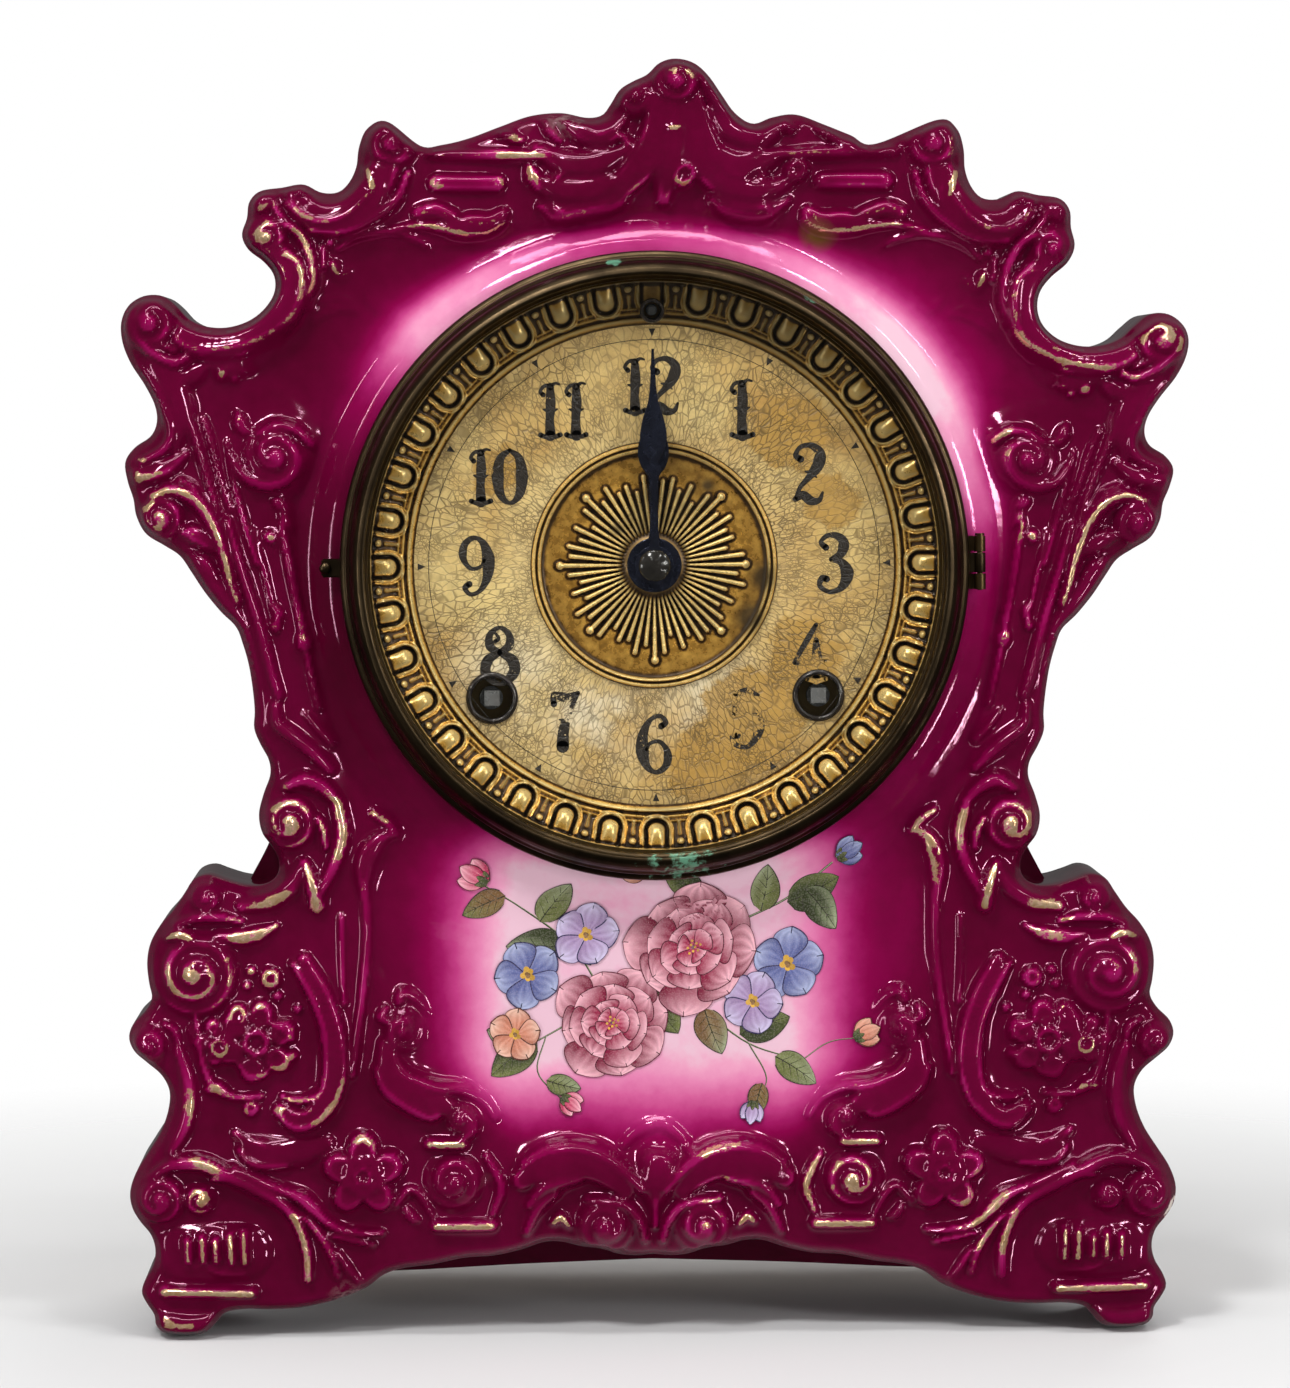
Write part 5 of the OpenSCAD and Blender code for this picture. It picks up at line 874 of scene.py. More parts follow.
def raised(line, y):
    """A line of (x, z) at this depth."""
    return np.column_stack([line[:, 0], np.full(len(line), y), line[:, 1]])


def prism(rings):
    """A closed solid through rings [(line, y)], from the front one to the back one."""
    n, count = len(rings[0][0]), len(rings)
    v = np.vstack([raised(*r) for r in rings])
    return v, bands(count, n) + lids(rings[0][0], rings[-1][0], (count - 1) * n)


def front_shell():
    """The front with its relief, its sides and a flat back at the front shell's depth."""
    grid = 0.55
    nx, nz = np.arange(-122, 122.01, grid), np.arange(-1, 292, grid)
    X, Z = np.meshgrid(nx, nz, indexing="ij")
    good = sample(np.where(in_case, edge, -edge), X, Z) > 1.1
    cell = good[:-1, :-1] & good[1:, :-1] & good[1:, 1:] & good[:-1, 1:]
    used = np.zeros(good.shape, bool)
    for a, b in ((0, 0), (1, 0), (1, 1), (0, 1)):
        used[a : a + cell.shape[0], b : b + cell.shape[1]] |= cell
    index = np.full(good.shape, -1)
    index[used] = np.arange(used.sum())
    x, z = X[used], Z[used]
    v = [np.column_stack([x, -sample(height, x, z), z])]
    c = np.argwhere(cell)
    i, j = c[:, 0], c[:, 1]
    corners = (index[i, j], index[i + 1, j], index[i + 1, j + 1], index[i, j + 1])
    faces = np.column_stack(corners).tolist()
    # the band between these squares and the outline
    wide = np.pad(cell, 1)
    rim = []
    for di, dj, p, q in (
        (0, -1, (0, 0), (1, 0)), (1, 0, (1, 0), (1, 1)), (0, 1, (1, 1), (0, 1)), (-1, 0, (0, 1), (0, 0)),
    ):
        lone = cell & ~wide[1 + di : wide.shape[0] - 1 + di, 1 + dj : wide.shape[1] - 1 + dj]
        for a, b in np.argwhere(lone):
            rim.append((index[a + p[0], b + p[1]], index[a + q[0], b + q[1]]))
    rings = [(inset(LINE, d), ROUND - math.sqrt(ROUND**2 - (ROUND - d) ** 2)) for d in (0.5, 0.14, 0)]
    rings += [(LINE, y) for y in (9, 14, 20, 26, 31)] + [(inset(LINE, d), y) for d, y in ((0.6, 33.3), (1.9, 34))]
    n, base = len(LINE), len(x)
    v += [raised(*r) for r in rings]
    faces += bands(len(rings), n, base)
    ids = sorted({i for e in rim for i in e})
    place = {i: k for k, i in enumerate(ids)}
    points = [(x[i], z[i]) for i in ids] + rings[0][0].tolist()
    m = len(ids)
    edges = [(place[a], place[b]) for a, b in rim] + loop(n, m)
    real = np.concatenate([ids, base + np.arange(n)])
    tri, mid = triangles(points, edges, rings[0][0])
    at = np.floor((mid - (nx[0], nz[0])) / grid).astype(int)
    faces += real[tri[~cell[at[:, 0], at[:, 1]]]].tolist()
    back = base + (len(rings) - 1) * n
    faces += (back + fill(rings[-1][0])[:, ::-1]).tolist()
    return np.vstack(v), faces


def temporary(verts, faces, mat):
    mesh = raw_mesh("carving", verts, faces)
    mesh.materials.append(mat)
    return link("carving", mesh)


def carve(base, steps):
    """The mesh of a solid after unions and differences with others."""
    for kind, tool in steps:
        m = base.modifiers.new("carve", "BOOLEAN")
        m.operation, m.object, m.solver = kind, tool, "MANIFOLD"
    bpy.context.view_layer.update()
    mesh = bpy.data.meshes.new_from_object(base.evaluated_get(bpy.context.evaluated_depsgraph_get()))
    for obj in [base] + [tool for _, tool in steps]:
        old = obj.data
        bpy.data.objects.remove(obj)
        bpy.data.meshes.remove(old)
    return mesh


def drum(r, y0, y1):
    return prism([(circle(r, (0, DIAL), 240), y) for y in (y0, y1)])


def pad(x, y, low, high, z):
    """A round foot pad that stands on the floor."""
    n = 48
    rings = [(low - 1.2, 0), (low - 0.3, 0.25), (low, 1.1), (high, z)]
    v = np.vstack([np.column_stack([circle(r, (x, y), n), np.full(n, h)]) for r, h in rings])
    f = [(p, s, r, q) for p, q, r, s in bands(4, n)]
    return v, f + [tuple(range(n))[::-1], tuple(3 * n + i for i in range(n))]


def glaze():
    """Magenta glaze: 'tone' holds shade, with painted light and shade in it, gilding and depth behind the front."""
    t = Tree("glaze", IOR=1.56, Specular_Tint=(1, 0.5, 0.7, 1))
    tone = t.node("SeparateColor")
    t.put(tone.inputs[0], t.painted("tone"))
    shade, gild, back = tone.outputs
    cloud, fine = t.noise(38, 4, 0.55, 0.3), t.noise(260, 4, 0.6)
    value = t.add(shade, t.span(cloud, 0.3, 0.7, -0.035, 0.035))
    colour = t.ramp(
        t.add(value, t.span(fine, 0.3, 0.7, -0.018, 0.018)),
        (0.0, (0.018, 0.0004, 0.003)), (0.12, (0.044, 0.0005, 0.0075)), (0.24, (0.078, 0.0006, 0.0155)),
        (0.36, (0.125, 0.0008, 0.028)), (0.48, (0.21, 0.001, 0.054)), (0.58, (0.31, 0.009, 0.105)),
        (0.68, (0.46, 0.04, 0.19)), (0.78, (0.6, 0.11, 0.29)), (0.88, (0.72, 0.22, 0.41)),
        (0.95, (0.79, 0.34, 0.5)), (1.0, (0.78, 0.5, 0.6)),
    )
    # the back of the body is ivory where the sprayed colour runs out
    spray = t.span(t.add(back, t.span(cloud, 0.3, 0.7, -0.09, 0.09)), 0.08, 0.8)
    aged = t.span(t.add(fine, t.mul(cloud, 0.6)), 0.55, 1.0)
    colour = t.mix(spray, colour, t.mix(aged, (0.82, 0.76, 0.69), (0.72, 0.64, 0.58)))
    # a dark stain of old glue at the upper right, grey dirt in places, and two chips
    stain = t.mul(t.spot(38, -2, 249.6, 1.5, 5), t.span(fine, 0.3, 0.5))
    colour = t.mix(t.mul(stain, 0.85), colour, (0.12, 0.075, 0.01))
    dirt = t.mul(t.most(t.spot(-19, -3, 277, 1.5, 6), t.spot(-71, 2, 9, 1, 6)), t.span(t.noise(420, 3, 0.7), 0.45, 0.6))
    colour = t.mix(t.mul(dirt, 0.6), colour, (0.3, 0.2, 0.2))
    chips = t.most(t.spot(-88.4, 2, 11.4, 0.8, 4.6), t.spot(115.4, 1, 28.4, 0.8, 4.4))
    chips = t.span(t.add(chips, t.speck(520, 4, 0.7)), 0.5, 0.58)
    colour = t.mix(chips, colour, t.mix(fine, (0.8, 0.73, 0.66), (0.6, 0.5, 0.42)))
    # worn gilding on the high places
    worn = t.noise(480, 5, 0.7, 0.5)
    gilt = t.span(t.add(gild, t.span(worn, 0.25, 0.75, -0.4, 0.4)), 0.58, 0.74)
    gilt = t.mul(gilt, t.math("SUBTRACT", 1.0, chips))
    t.out("Base Color", t.mix(gilt, colour, t.mix(t.span(worn, 0.35, 0.65), (1.0, 0.76, 0.5), (0.7, 0.42, 0.2))))
    t.out("Metallic", t.mul(gilt, 0.7))
    t.out("Roughness", t.add(t.add(t.speck(90, 3, 0.6, 0.06, 0.13), t.mul(chips, 0.55)), t.mul(gilt, 0.14)))
    t.bump(t.add(t.noise(75, 2, 0.4), t.mul(fine, 0.12)), 0.0009, 0.35)
    return t.mat


def bisque():
    t = Tree("bisque")
    speck, patch = t.noise(700, 4, 0.7), t.noise(30, 4, 0.6)
    body = t.mix(t.span(patch, 0.35, 0.7), (0.72, 0.66, 0.6), (0.6, 0.5, 0.46))
    t.out("Base Color", t.mix(t.span(speck, 0.58, 0.7), body, (0.34, 0.24, 0.2)))
    t.out("Roughness", t.span(patch, 0.3, 0.7, 0.7, 0.88))
    t.bump(t.add(speck, t.noise(120, 3)), 0.0004, 0.5)
    return t.mat


# angle from three o'clock, strength of the pale ground there and its width in millimetres: the sprayed pale ground with
# painted light on it, strongest on the upper right and none in the bezel's shadow on the left and below
HALO = np.array([
    (-180, 0, 5), (-30, 0, 5), (-15, 0.15, 5), (0, 0.32, 6), (15, 0.75, 7), (30, 1, 7.5), (45, 1, 7.5), (60, 0.88, 6),
    (75, 0.62, 3.4), (90, 0.5, 3), (105, 0.58, 3.2), (120, 0.85, 4.4), (135, 0.9, 6.2), (150, 0.32, 7), (165, 0, 6),
    (180, 0, 5),
]).T


def halo(x, z):
    """How pale the ground is: palest round the bezel, where the sprayed pale ground carries painted light, and in the
    lower panel.
    """
    turn = np.degrees(np.arctan2(z - DIAL, x))
    strength, wide = (np.interp(turn, HALO[0], row) for row in HALO[1:])
    near = strength * np.exp(-((np.clip(np.hypot(x, z - DIAL) - 76, 0, None) / wide) ** 1.6))
    panel = (1 - smooth(np.abs(x + 1), 29, 57)) * smooth(z, 36, 66) * (1 - smooth(z, 106, 122))
    return np.clip(np.maximum(near, panel), 0, 1)


def case_tone(v):
    """Shade with painted light and shade in it, gilding and depth behind the front for points in millimetres."""
    x, y, z = v.T
    s = lambda f: sample(f, x, z)
    pale_and_lit = halo(x, z)
    ridge = np.clip(s(cavity), -1, 1)
    hill = np.clip(s(broad) / 2.4, -1, 1)
    # the plain ground, darker at the upper left as painted shade
    upper = smooth(z, 118, 160)
    ground = (0.35 + 0.05 * smooth(x, -60, 60)) * (1 - upper) + (0.27 + 0.08 * smooth(x, -50, 60)) * upper
    ground = np.where(z > 248, 0.34, ground)
    # painted shadow of the bezel on the ground to its left
    ground -= 0.1 * smooth(-x, 30, 70) * smooth(z, 110, 140) * (1 - smooth(z, 165, 200))
    plain = ground + (1 - ground) * pale_and_lit
    # the relief, dark in its creases as pooled glaze and painted shade, a little lighter on broad swells as painted
    # light, paler near the lit pale ground, and darker towards the top and at the far left
    relief_shade = 0.25 + 0.06 * np.clip(ridge, 0, 1) + 0.55 * np.clip(ridge, -0.36, 0) + 0.04 * hill
    relief_shade += 0.14 * pale_and_lit * (0.6 + 0.4 * ridge) - 0.05 * smooth(z, 235, 270) - 0.03 * smooth(-x, 70, 110)
    # pale lines on the ridges: thin glaze together with painted highlight
    thin_glaze_and_highlight = smooth(s(fine), 0.2, 0.42) * np.clip(0.6 + 0.4 * s(patchy), 0, 1) * smooth(s(edge), 2.5, 5)
    relief_shade = np.maximum(relief_shade, 0.28 + 0.34 * thin_glaze_and_highlight)
    soft, side = s(soft_panel), smooth(y, 1.5, 6.5)
    front = plain * soft + relief_shade * (1 - soft)
    shade = front * (1 - side) + (0.13 + 0.03 * smooth(z, 60, 200)) * side
    gild = s(gold) * np.clip(0.35 + 0.85 * ridge, 0, 1.1) * (1 - side)
    return np.stack([np.clip(shade, 0, 1), np.clip(gild, 0, 1), smooth(y, 30, 78), np.ones_like(x)], 1)


porcelain, bare = glaze(), bisque()
shell = temporary(*front_shell(), porcelain)
rear = even(both(spline(REAR, 10)), 1.6)
inner_hollow = shrink(even(both(spline(INNER, 8)), 1.6), 7.5)
rear_hollow = shrink(rear, 6.5)
body_rings = [(y, 0) for y in (20, 34, 46, 58, 70, 82, 91, 96.5)]
body_rings += [(99.5, 0.4), (102, 1.5), (103.8, 3), (104.8, 4.8), (105, 6.6)]
hollows = [
    prism([(inner_hollow, 8), (inner_hollow, 27.5)]),
    prism([(rear_hollow, 27), (rear_hollow, 94), (inset(rear_hollow, 1.2), 97), (inset(rear_hollow, 3.2), 98.5)]),
    drum(OPENING, -12, 20),
    drum(62, 90, 112),
]
steps = [("UNION", temporary(*prism([(inset(rear, d), y) for y, d in body_rings]), porcelain))]
for side in (1, -1):
    steps.append(("UNION", temporary(*pad(107.5 * side, 15, 4.6, 5.4, 6), bare)))
    steps.append(("UNION", temporary(*pad(84 * side, 84, 6.2, 7.8, 20), bare)))
steps += [("DIFFERENCE", temporary(*tool, bare)) for tool in hollows]
case_mesh = carve(shell, steps)
v = np.empty(len(case_mesh.vertices) * 3)
case_mesh.vertices.foreach_get("co", v)
v = v.reshape(-1, 3)
paint(case_mesh, "tone", case_tone(v))
x, y, z = v.T
w = far(x, z)
moved = np.stack([x + lean(z) * w, y - MID, z + rise(x, z) * w * smooth(z, 2, 14)], 1)
case_mesh.vertices.foreach_set("co", (moved * MM).ravel())
case_mesh.update()
finish_piece("porcelain_case", case_mesh, "clock", ["case_shell"], "porcelain", angle=58)


# ---------------------------------------------------------------- dial, rings and hands
def polar(radii, n, height_at, thick, skip=None):
    """A pressed ring: y = height_at(radius, angle) on a polar grid, with short walls back at its inner and outer edges
    and an open back.
    """
    a = angles(n)
    R, A = np.meshgrid(radii, a)
    Y = height_at(R, A)
    m = len(radii)
    top = np.stack([R * np.sin(A), Y, DIAL + R * np.cos(A)], 2).reshape(-1, 3)
    back = [
        (r * math.sin(t), y + thick, DIAL + r * math.cos(t))
        for t, ya, yb in zip(a, Y[:, 0], Y[:, -1])
        for r, y in ((radii[0], ya), (radii[-1], yb))
    ]
    faces, base = [], len(top)
    for i in range(n):
        k = (i + 1) % n
        for j in range(m - 1):
            if skip is None or not skip(top[i * m + j], top[k * m + j + 1]):
                faces.append((i * m + j, k * m + j, k * m + j + 1, i * m + j + 1))
        faces.append((i * m, base + 2 * i, base + 2 * k, k * m))
        faces.append((i * m + m - 1, k * m + m - 1, base + 2 * k + 1, base + 2 * i + 1))
    return np.vstack([top, back]), faces


def pressed(name, radii, n, height_at, reach, shade, replace, skip=None):
    """A pressed ring with its high places and hollows, and the shade given, written to its points for the material;
    hollows darken as patina and as painted shade.
    """
    v, f = polar(radii, n, height_at, 0.4, skip)
    obj = make(name, v, f, "clock", [replace], "gilt", gilt_brass, 70)
    R, A = np.meshgrid(radii, angles(n))
    near, d = 0, 0.7
    for dr, da in ((0, 0), (1, 0), (-1, 0), (0, 1), (0, -1), (d, d), (-d, d), (d, -d), (-d, -d)):
        near = near + height_at(np.clip(R + dr * reach, radii[0], radii[-1]), A + da * reach / R) / 9
    high = np.clip(0.5 + 0.5 * (near - height_at(R, A)) / (0.45 * reach), 0, 1)
    tone = np.zeros((len(v), 4))
    tone[: high.size, :2] = np.column_stack([high.ravel(), shade(R, A).ravel()])
    paint(obj.data, "press", tone)


def bell_curve(x, width):
    return np.exp(-((x / width) ** 2))


def cap(square):
    """Height of a round back at this squared share of its half width."""
    return np.sqrt(np.clip(1 - square, 0, 1))


def pitches(A, count):
    """Share of a pitch from the middle of the nearest motif, and that motif's number."""
    turns = A / (2 * math.pi / count)
    return (turns + 0.5) % 1 - 0.5, np.round(turns).astype(int) % count, 2 * math.pi / count


def egg_height(R, A):
    """Eggs in round-ended frames with a bead and a dart between, on a sloping band."""
    r = R - 55.5
    base = np.interp(
        R,
        [53.7, 54.4, 55.0, 55.6, 56.2, 56.8, 57.6, 63.6, 64.0],
        [-0.1, -0.9, -1.0, -0.8, -1.4, -1.5, -1.7, -3.7, -6.2],
    )
    rim = bell_curve(R - 55.1, 0.42) * 0.6 + bell_curve(R - 56.4, 0.3) * 0.4
    u, k, pitch = pitches(A, 36)
    x = u * pitch * R
    d = np.where(r < 4.1, np.hypot(x, r - 4.1), np.abs(x))
    fade = 1 - smooth(r, 8.1, 8.6)
    egg = 2.1 * cap((d / 2.0) ** 2) * (0.72 + 0.28 * np.cos((r - 4.4) * 0.75)) * fade * (k != 0)
    groove = -0.5 * bell_curve(d - 2.45, 0.34) * fade
    frame_line = (0.95 * bell_curve(d - 3.05, 0.3) + 0.5 * bell_curve(d - 3.75, 0.22)) * fade
    xb = (np.abs(u) - 0.5) * pitch * R
    bead = 1.3 * cap(np.hypot(xb, r - 6.7) ** 2 / 0.85**2)
    dart = 0.75 * bell_curve(xb, 0.24) * smooth(r, 1.8, 2.4) * (1 - smooth(r, 4.9, 5.5))
    bar = 0.6 * bell_curve(r - 1.95, 0.24) * (np.abs(xb) < 1.7)
    return base - rim - egg - groove - frame_line - bead - dart - bar


RAYS = np.array([20.9, 18.3, 19.9, 17.2, 18.9, 16.3, 19.4])


def medal_height(R, A):
    """A pressed rosette of rounded rays, some ending in a ball, inside a double rim."""
    floor = np.interp(
        R,
        [3.4, 3.6, 5.9, 6.6, 7.4, 22, 24.4, 25.0, 25.7, 26.3, 26.9, 27.4, 27.6],
        [-0.3, -0.9, -0.9, -0.5, -0.2, -0.2, -0.3, -0.5, -1.5, -0.6, -1.4, -0.5, -0.1],
    )
    u, k, pitch = pitches(A, 56)
    reach = RAYS[k % 7] + 0.5 * np.sin(k * 2.1)
    x = np.abs(u) * pitch * R
    w = np.clip(0.3 + 0.024 * (R - 8), 0.28, 0.62)
    ray = 0.95 * cap((x**2 + np.clip(R - reach, 0, None) ** 2) / w**2) * smooth(R, 6.8, 8.2)
    ball = (k % 7 == 0) * 1.25 * cap((x**2 + (R - reach) ** 2) / 0.95**2)
    return floor - np.maximum(ray, ball)


def box(x, y, z, bevel):
    """A small block with rounded edges between pairs of limits."""
    bm = bmesh.new()
    bmesh.ops.create_cube(bm, size=1)
    for vert in bm.verts:
        vert.co = [(a + b) / 2 + c * (b - a) for (a, b), c in zip((x, y, z), vert.co)]
    bmesh.ops.bevel(bm, geom=bm.edges[:], offset=bevel, segments=2, affect="EDGES")
    bm.verts.index_update()
    out = [v.co[:] for v in bm.verts], [[v.index for v in f.verts] for f in bm.faces]
    bm.free()
    return out


def knuckle(x, y, r, bore, half, n=40):
    """A hinge barrel about an upright axis, in place on the dial's centre height."""
    p = rounded([(bore, -half), (r, -half), (r, half), (bore, half)])
    v = [(x + q * math.cos(t), y + q * math.sin(t), DIAL + h) for t in angles(n) for q, h in p]
    return v, turned_faces(n, len(p))


def plate(outline, y0, y1, hole, bevel=0.2):
    """A flat piece with a hole, cut to an outline (x and z from the dial centre), front edge eased."""
    v, f, base = [], [], 0
    caps = {0: [], 2: []}
    for line in (outline, hole):
        n = len(line)
        for k, (d, y) in enumerate(((bevel, y0), (0.0, y0 + bevel * 0.8), (0.0, y1))):
            p = inset(line, d)
            v.append(raised(p + (0, DIAL), y))
            if k in caps:
                caps[k].append((p, base + k * n))
        f += bands(3, n, base)
        base += 3 * n
    for k, ((p, start), (q, hole_start)) in caps.items():
        ids = np.concatenate([start + np.arange(len(p)), hole_start + np.arange(len(q))])
        tri, mid = triangles(np.vstack([p, q]), loop(len(p)) + loop(len(q), len(p)), p)
        tri = tri[~within(q, mid)]
        f += ids[tri if k == 0 else tri[:, ::-1]].tolist()
    return np.vstack(v), f


def hand_outline(boss, profile):
    """A hand that points up: half widths at heights, joined to a round boss."""
    p = spline(profile, 6)
    join = math.acos(p[0, 0] / boss)
    turn = np.linspace(math.pi - join, 2 * math.pi + join, 60)
    ring = np.stack([boss * np.cos(turn), boss * np.sin(turn)], 1)
    side = p[p[:, 1] > boss * math.sin(join) + 0.25]
    return np.vstack([ring, side, side[::-1] * (-1, 1)])


bronze = metal(
    "bezel_bronze", (0.1, 0.068, 0.036), (0.016, 0.011, 0.007), (0.27, 0.46), (260, 900, 260), 0.8, 60, verdigris=True
)


def old_gilt():
    """Lacquered brass sheet: bright on the high places, brown and black down in the pressing, as wear and patina
    together with painted light and shade.
    """
    t = Tree("pressed_gilt", Metallic=0.5)
    press = t.node("SeparateColor")
    t.put(press.inputs[0], t.painted("press"))
    high, shade = press.outputs[:2]
    patch, fine = t.noise(70, 4, 0.6, 0.5), t.noise(520, 3, 0.6)
    colour = t.ramp(
        t.add(high, t.span(fine, 0.3, 0.7, -0.07, 0.07)),
        (0.0, (0.016, 0.007, 0.002)), (0.36, (0.09, 0.036, 0.006)), (0.47, (0.5, 0.24, 0.035)),
        (0.6, (0.98, 0.54, 0.1)), (0.85, (1.0, 0.72, 0.28)),
    )
    # tarnished patches, and the shade given to each ring: the bezel's painted shadow on the egg band, dark patches and
    # grooves on the rosette
    tarnish_and_shadow = t.most(t.mul(t.span(patch, 0.48, 0.7), 0.5), t.mul(shade, 0.9))
    t.out("Base Color", t.mix(tarnish_and_shadow, colour, (0.045, 0.028, 0.012)))
    t.out("Roughness", t.span(t.add(fine, t.mul(tarnish_and_shadow, 0.5)), 0.35, 1.2, 0.2, 0.5))
    t.bump(t.add(patch, t.mul(fine, 0.2)), 0.0004, 0.3)
    return t.mat


gilt_brass = old_gilt()

# bezel ring with its latch tab and hinge barrel
BEZEL = [
    (67.5, -7.4), (71, -7.4), (71, -9.0), (70.75, -9.7), (70.1, -10.15), (69.55, -10.25), (69.3, -10.9),
    (69.5, -11.6), (69.3, -12.5), (68.75, -13.0), (68.55, -13.5), (68.3, -14.6), (67.7, -15.6), (66.9, -16.3),
    (66.0, -16.6), (65.4, -16.45), (65.2, -15.9), (64.9, -15.6), (64.5, -15.3), (64.5, -13.2), (67.5, -13.2),
]
LATCH = [(0.02, -10.15), (0.9, -10.05), (1.35, -9.6), (1.3, -9.0), (0.9, -8.6), (0.02, -8.6)]
bezel = Bag()
bezel.add(*lathe(rounded(BEZEL, 0.14, 2), 300))
bezel.add(*box((-75.1, -70.2), (-8.95, -7.95), (DIAL - 2.1, DIAL + 2.1), 0.35))
bezel.add(*lathe(LATCH, 32, (-74.2, DIAL)))
bezel.add(*box((70.0, 72.6), (-8.45, -7.75), (DIAL - 2.2, DIAL + 2.2), 0.12))
bezel.add(*knuckle(73.4, -8.0, 1.3, 0.65, 2.2))
bezel.piece("bezel_rim", "bezel", mat=bronze, replace=["bezel_ring"], slot="bezel_bronze", angle=50)


def dome(y):
    """A domed skin of the glass from its middle out."""
    return [(63.5 * k, y - 4.8 * (1 - k * k)) for k in np.linspace(0, 1, 26)[1:]]


front_skin = [(0.02, -18.0), *dome(-13.2), (67.2, -13.2), (67.2, -11.2)]
back_skin = [*dome(-11.2)[::-1], (0.02, -16.0)]
t = Tree("crystal", IOR=1.45, Base_Color=(0.985, 0.995, 0.99, 1), Transmission_Weight=1.0)
t.out("Roughness", t.span(t.noise(45, 4, 0.6, 1.2), 0.5, 0.75, 0.0, 0.05))
rays = t.node("LightPath").outputs
t.let_through(t.most(*(rays[f"Is {kind} Ray"] for kind in ("Shadow", "Diffuse", "Glossy"))), (0.96, 0.97, 0.965, 1))
make("crystal", *lathe((front_skin + back_skin)[::-1], 160), "bezel", ["bezel_glass"], "glass", t.mat)


# pressed egg ring and rosette
def egg_shade(R, A):
    """Painted shadow of the bezel: darkest at the top, and a little on the right."""
    at = [0, 30, 50, 80, 100, 150, 200, 260, 300, 325, 360]
    return np.interp(np.degrees(A) % 360, at, [0.85, 0.75, 0.5, 0.4, 0.2, 0, 0.12, 0.22, 0.3, 0.5, 0.85])


def medal_shade(R, A):
    x, z = R * np.sin(A), R * np.cos(A)
    places = ((24.5, -3, 3.0, 1), (21.5, -12, 3.4, 1), (12, 17.5, 1.8, 0.9), (-8, 8, 1.6, 0.8))
    spots = sum(share * bell_curve(np.hypot(x - cx, z - cz), r) for cx, cz, r, share in places)
    groove = 0.9 * bell_curve(R - 25.05, 0.35) + 0.8 * bell_curve(R - 26.3, 0.25) + 0.7 * smooth(R, 27.2, 27.5)
    middle = 0.9 * (1 - smooth(R, 6.0, 9.5)) + 0.25 * smooth(R, 18, 23) * (R < 24.6)
    return np.clip(spots + middle + groove, 0, 1)


def spaced(*runs):
    return np.concatenate([np.linspace(*r) for r in runs])


def regulator_hole(p, q):
    return math.hypot((p[0] + q[0]) / 2, (p[2] + q[2]) / 2 - DIAL - 57) < 2.75


egg_radii = spaced((53.7, 57.6, 26), (57.72, 64.0, 44))
pressed("egg_band", egg_radii, 36 * 54, egg_height, 1.1, egg_shade, "egg_ring", regulator_hole)
medal_radii = spaced((3.4, 8, 14), (8.2, 22.4, 64), (22.7, 27.6, 30))
pressed("rosette", medal_radii, 56 * 26, medal_height, 0.75, medal_shade, "medallion")

# hands and the nut
blued = metal(
    "blued_steel", (0.045, 0.05, 0.085), (0.012, 0.011, 0.014), (0.2, 0.36), (500, 500, 500), 0.6, 150, share=0.8
)
HOUR = [
    (1.25, 3), (0.95, 9), (0.95, 14), (1.0, 18), (1.35, 20), (2.6, 21.8), (3.4, 24.2), (3.3, 27), (2.4, 30), (1.2, 33),
    (0.3, 35.6),
]
MINUTE = [
    (1.15, 2), (0.75, 13), (0.85, 19.5), (1.7, 21.4), (1.0, 23), (2.3, 25.4), (3.0, 28.6), (2.4, 32.6), (1.15, 36.6),
    (0.65, 41), (0.28, 48.5),
]
for body, profile, boss, y, bore in (("hour", HOUR, 6.1, -3.6, 3.05), ("minute", MINUTE, 4.4, -6.4, 2.15)):
    leaf = plate(hand_outline(boss, profile), y, y + 0.7, circle(bore, n=48, way=-1))
    make(body + "_hand_leaf", *leaf, body, [body + "_hand"], "blued_steel", blued)
NUT = [
    (0.02, -8.3), (1.25, -8.3), (1.25, -6.7), (3.6, -6.7), (3.6, -7.3), (3.35, -7.9), (2.6, -8.35), (2.1, -8.5),
    (1.6, -8.75), (1.0, -8.93), (0.5, -8.99), (0.02, -9.0),
]
nut_mat = metal("nut_black", (0.03, 0.026, 0.022), (0.012, 0.01, 0.009), (0.1, 0.2), (60, 60, 60), 0.3, 200, share=0.3)
make("centre_nut", *lathe(NUT, 64), "minute", ["hand_nut"], "bezel_bronze", nut_mat)

# black cups round the winding holes and the regulator hole
CUP = [
    (4.6, 3.4), (4.98, 3.4), (4.98, 0), (5.8, 0), (5.85, -0.45), (5.55, -0.85), (5.1, -1.0), (4.75, -0.8), (4.6, -0.4),
]
EYELET = [(1.9, 2.6), (2.5, 2.6), (2.5, 1), (2.8, 1), (2.8, -5.5), (2.6, -5.9), (2.2, -6.0), (1.95, -5.7)]
cups = Bag()
for cx in (36.5, -36.5):
    cups.add(*lathe(CUP, 72, (cx, DIAL - 29.5)))
cups.add(*lathe(EYELET, 48, (0, DIAL + 57)))
cup_mat = metal(
    "eyelet_black", (0.045, 0.035, 0.03), (0.012, 0.01, 0.009), (0.16, 0.3), (500, 500, 500), 0.6, 200, share=0.4
)
cups.piece("winding_cups", "clock", mat=cup_mat, replace=["dial_eyelets"], slot="eyelet_black")


# ---------------------------------------------------------------- printed numerals
def ribbon(bag, points, widths, y):
    """A flat stroke with round ends on the panel plane; points are (x, z), widths are half widths."""
    p, w, v, f = strip(points, widths)
    for k in (0, -1):
        f.append(tuple(len(v) + i for i in range(14)))
        v = np.vstack([v, circle(w[k], p[k], 14)])
    bag.add(raised(v, y), f)


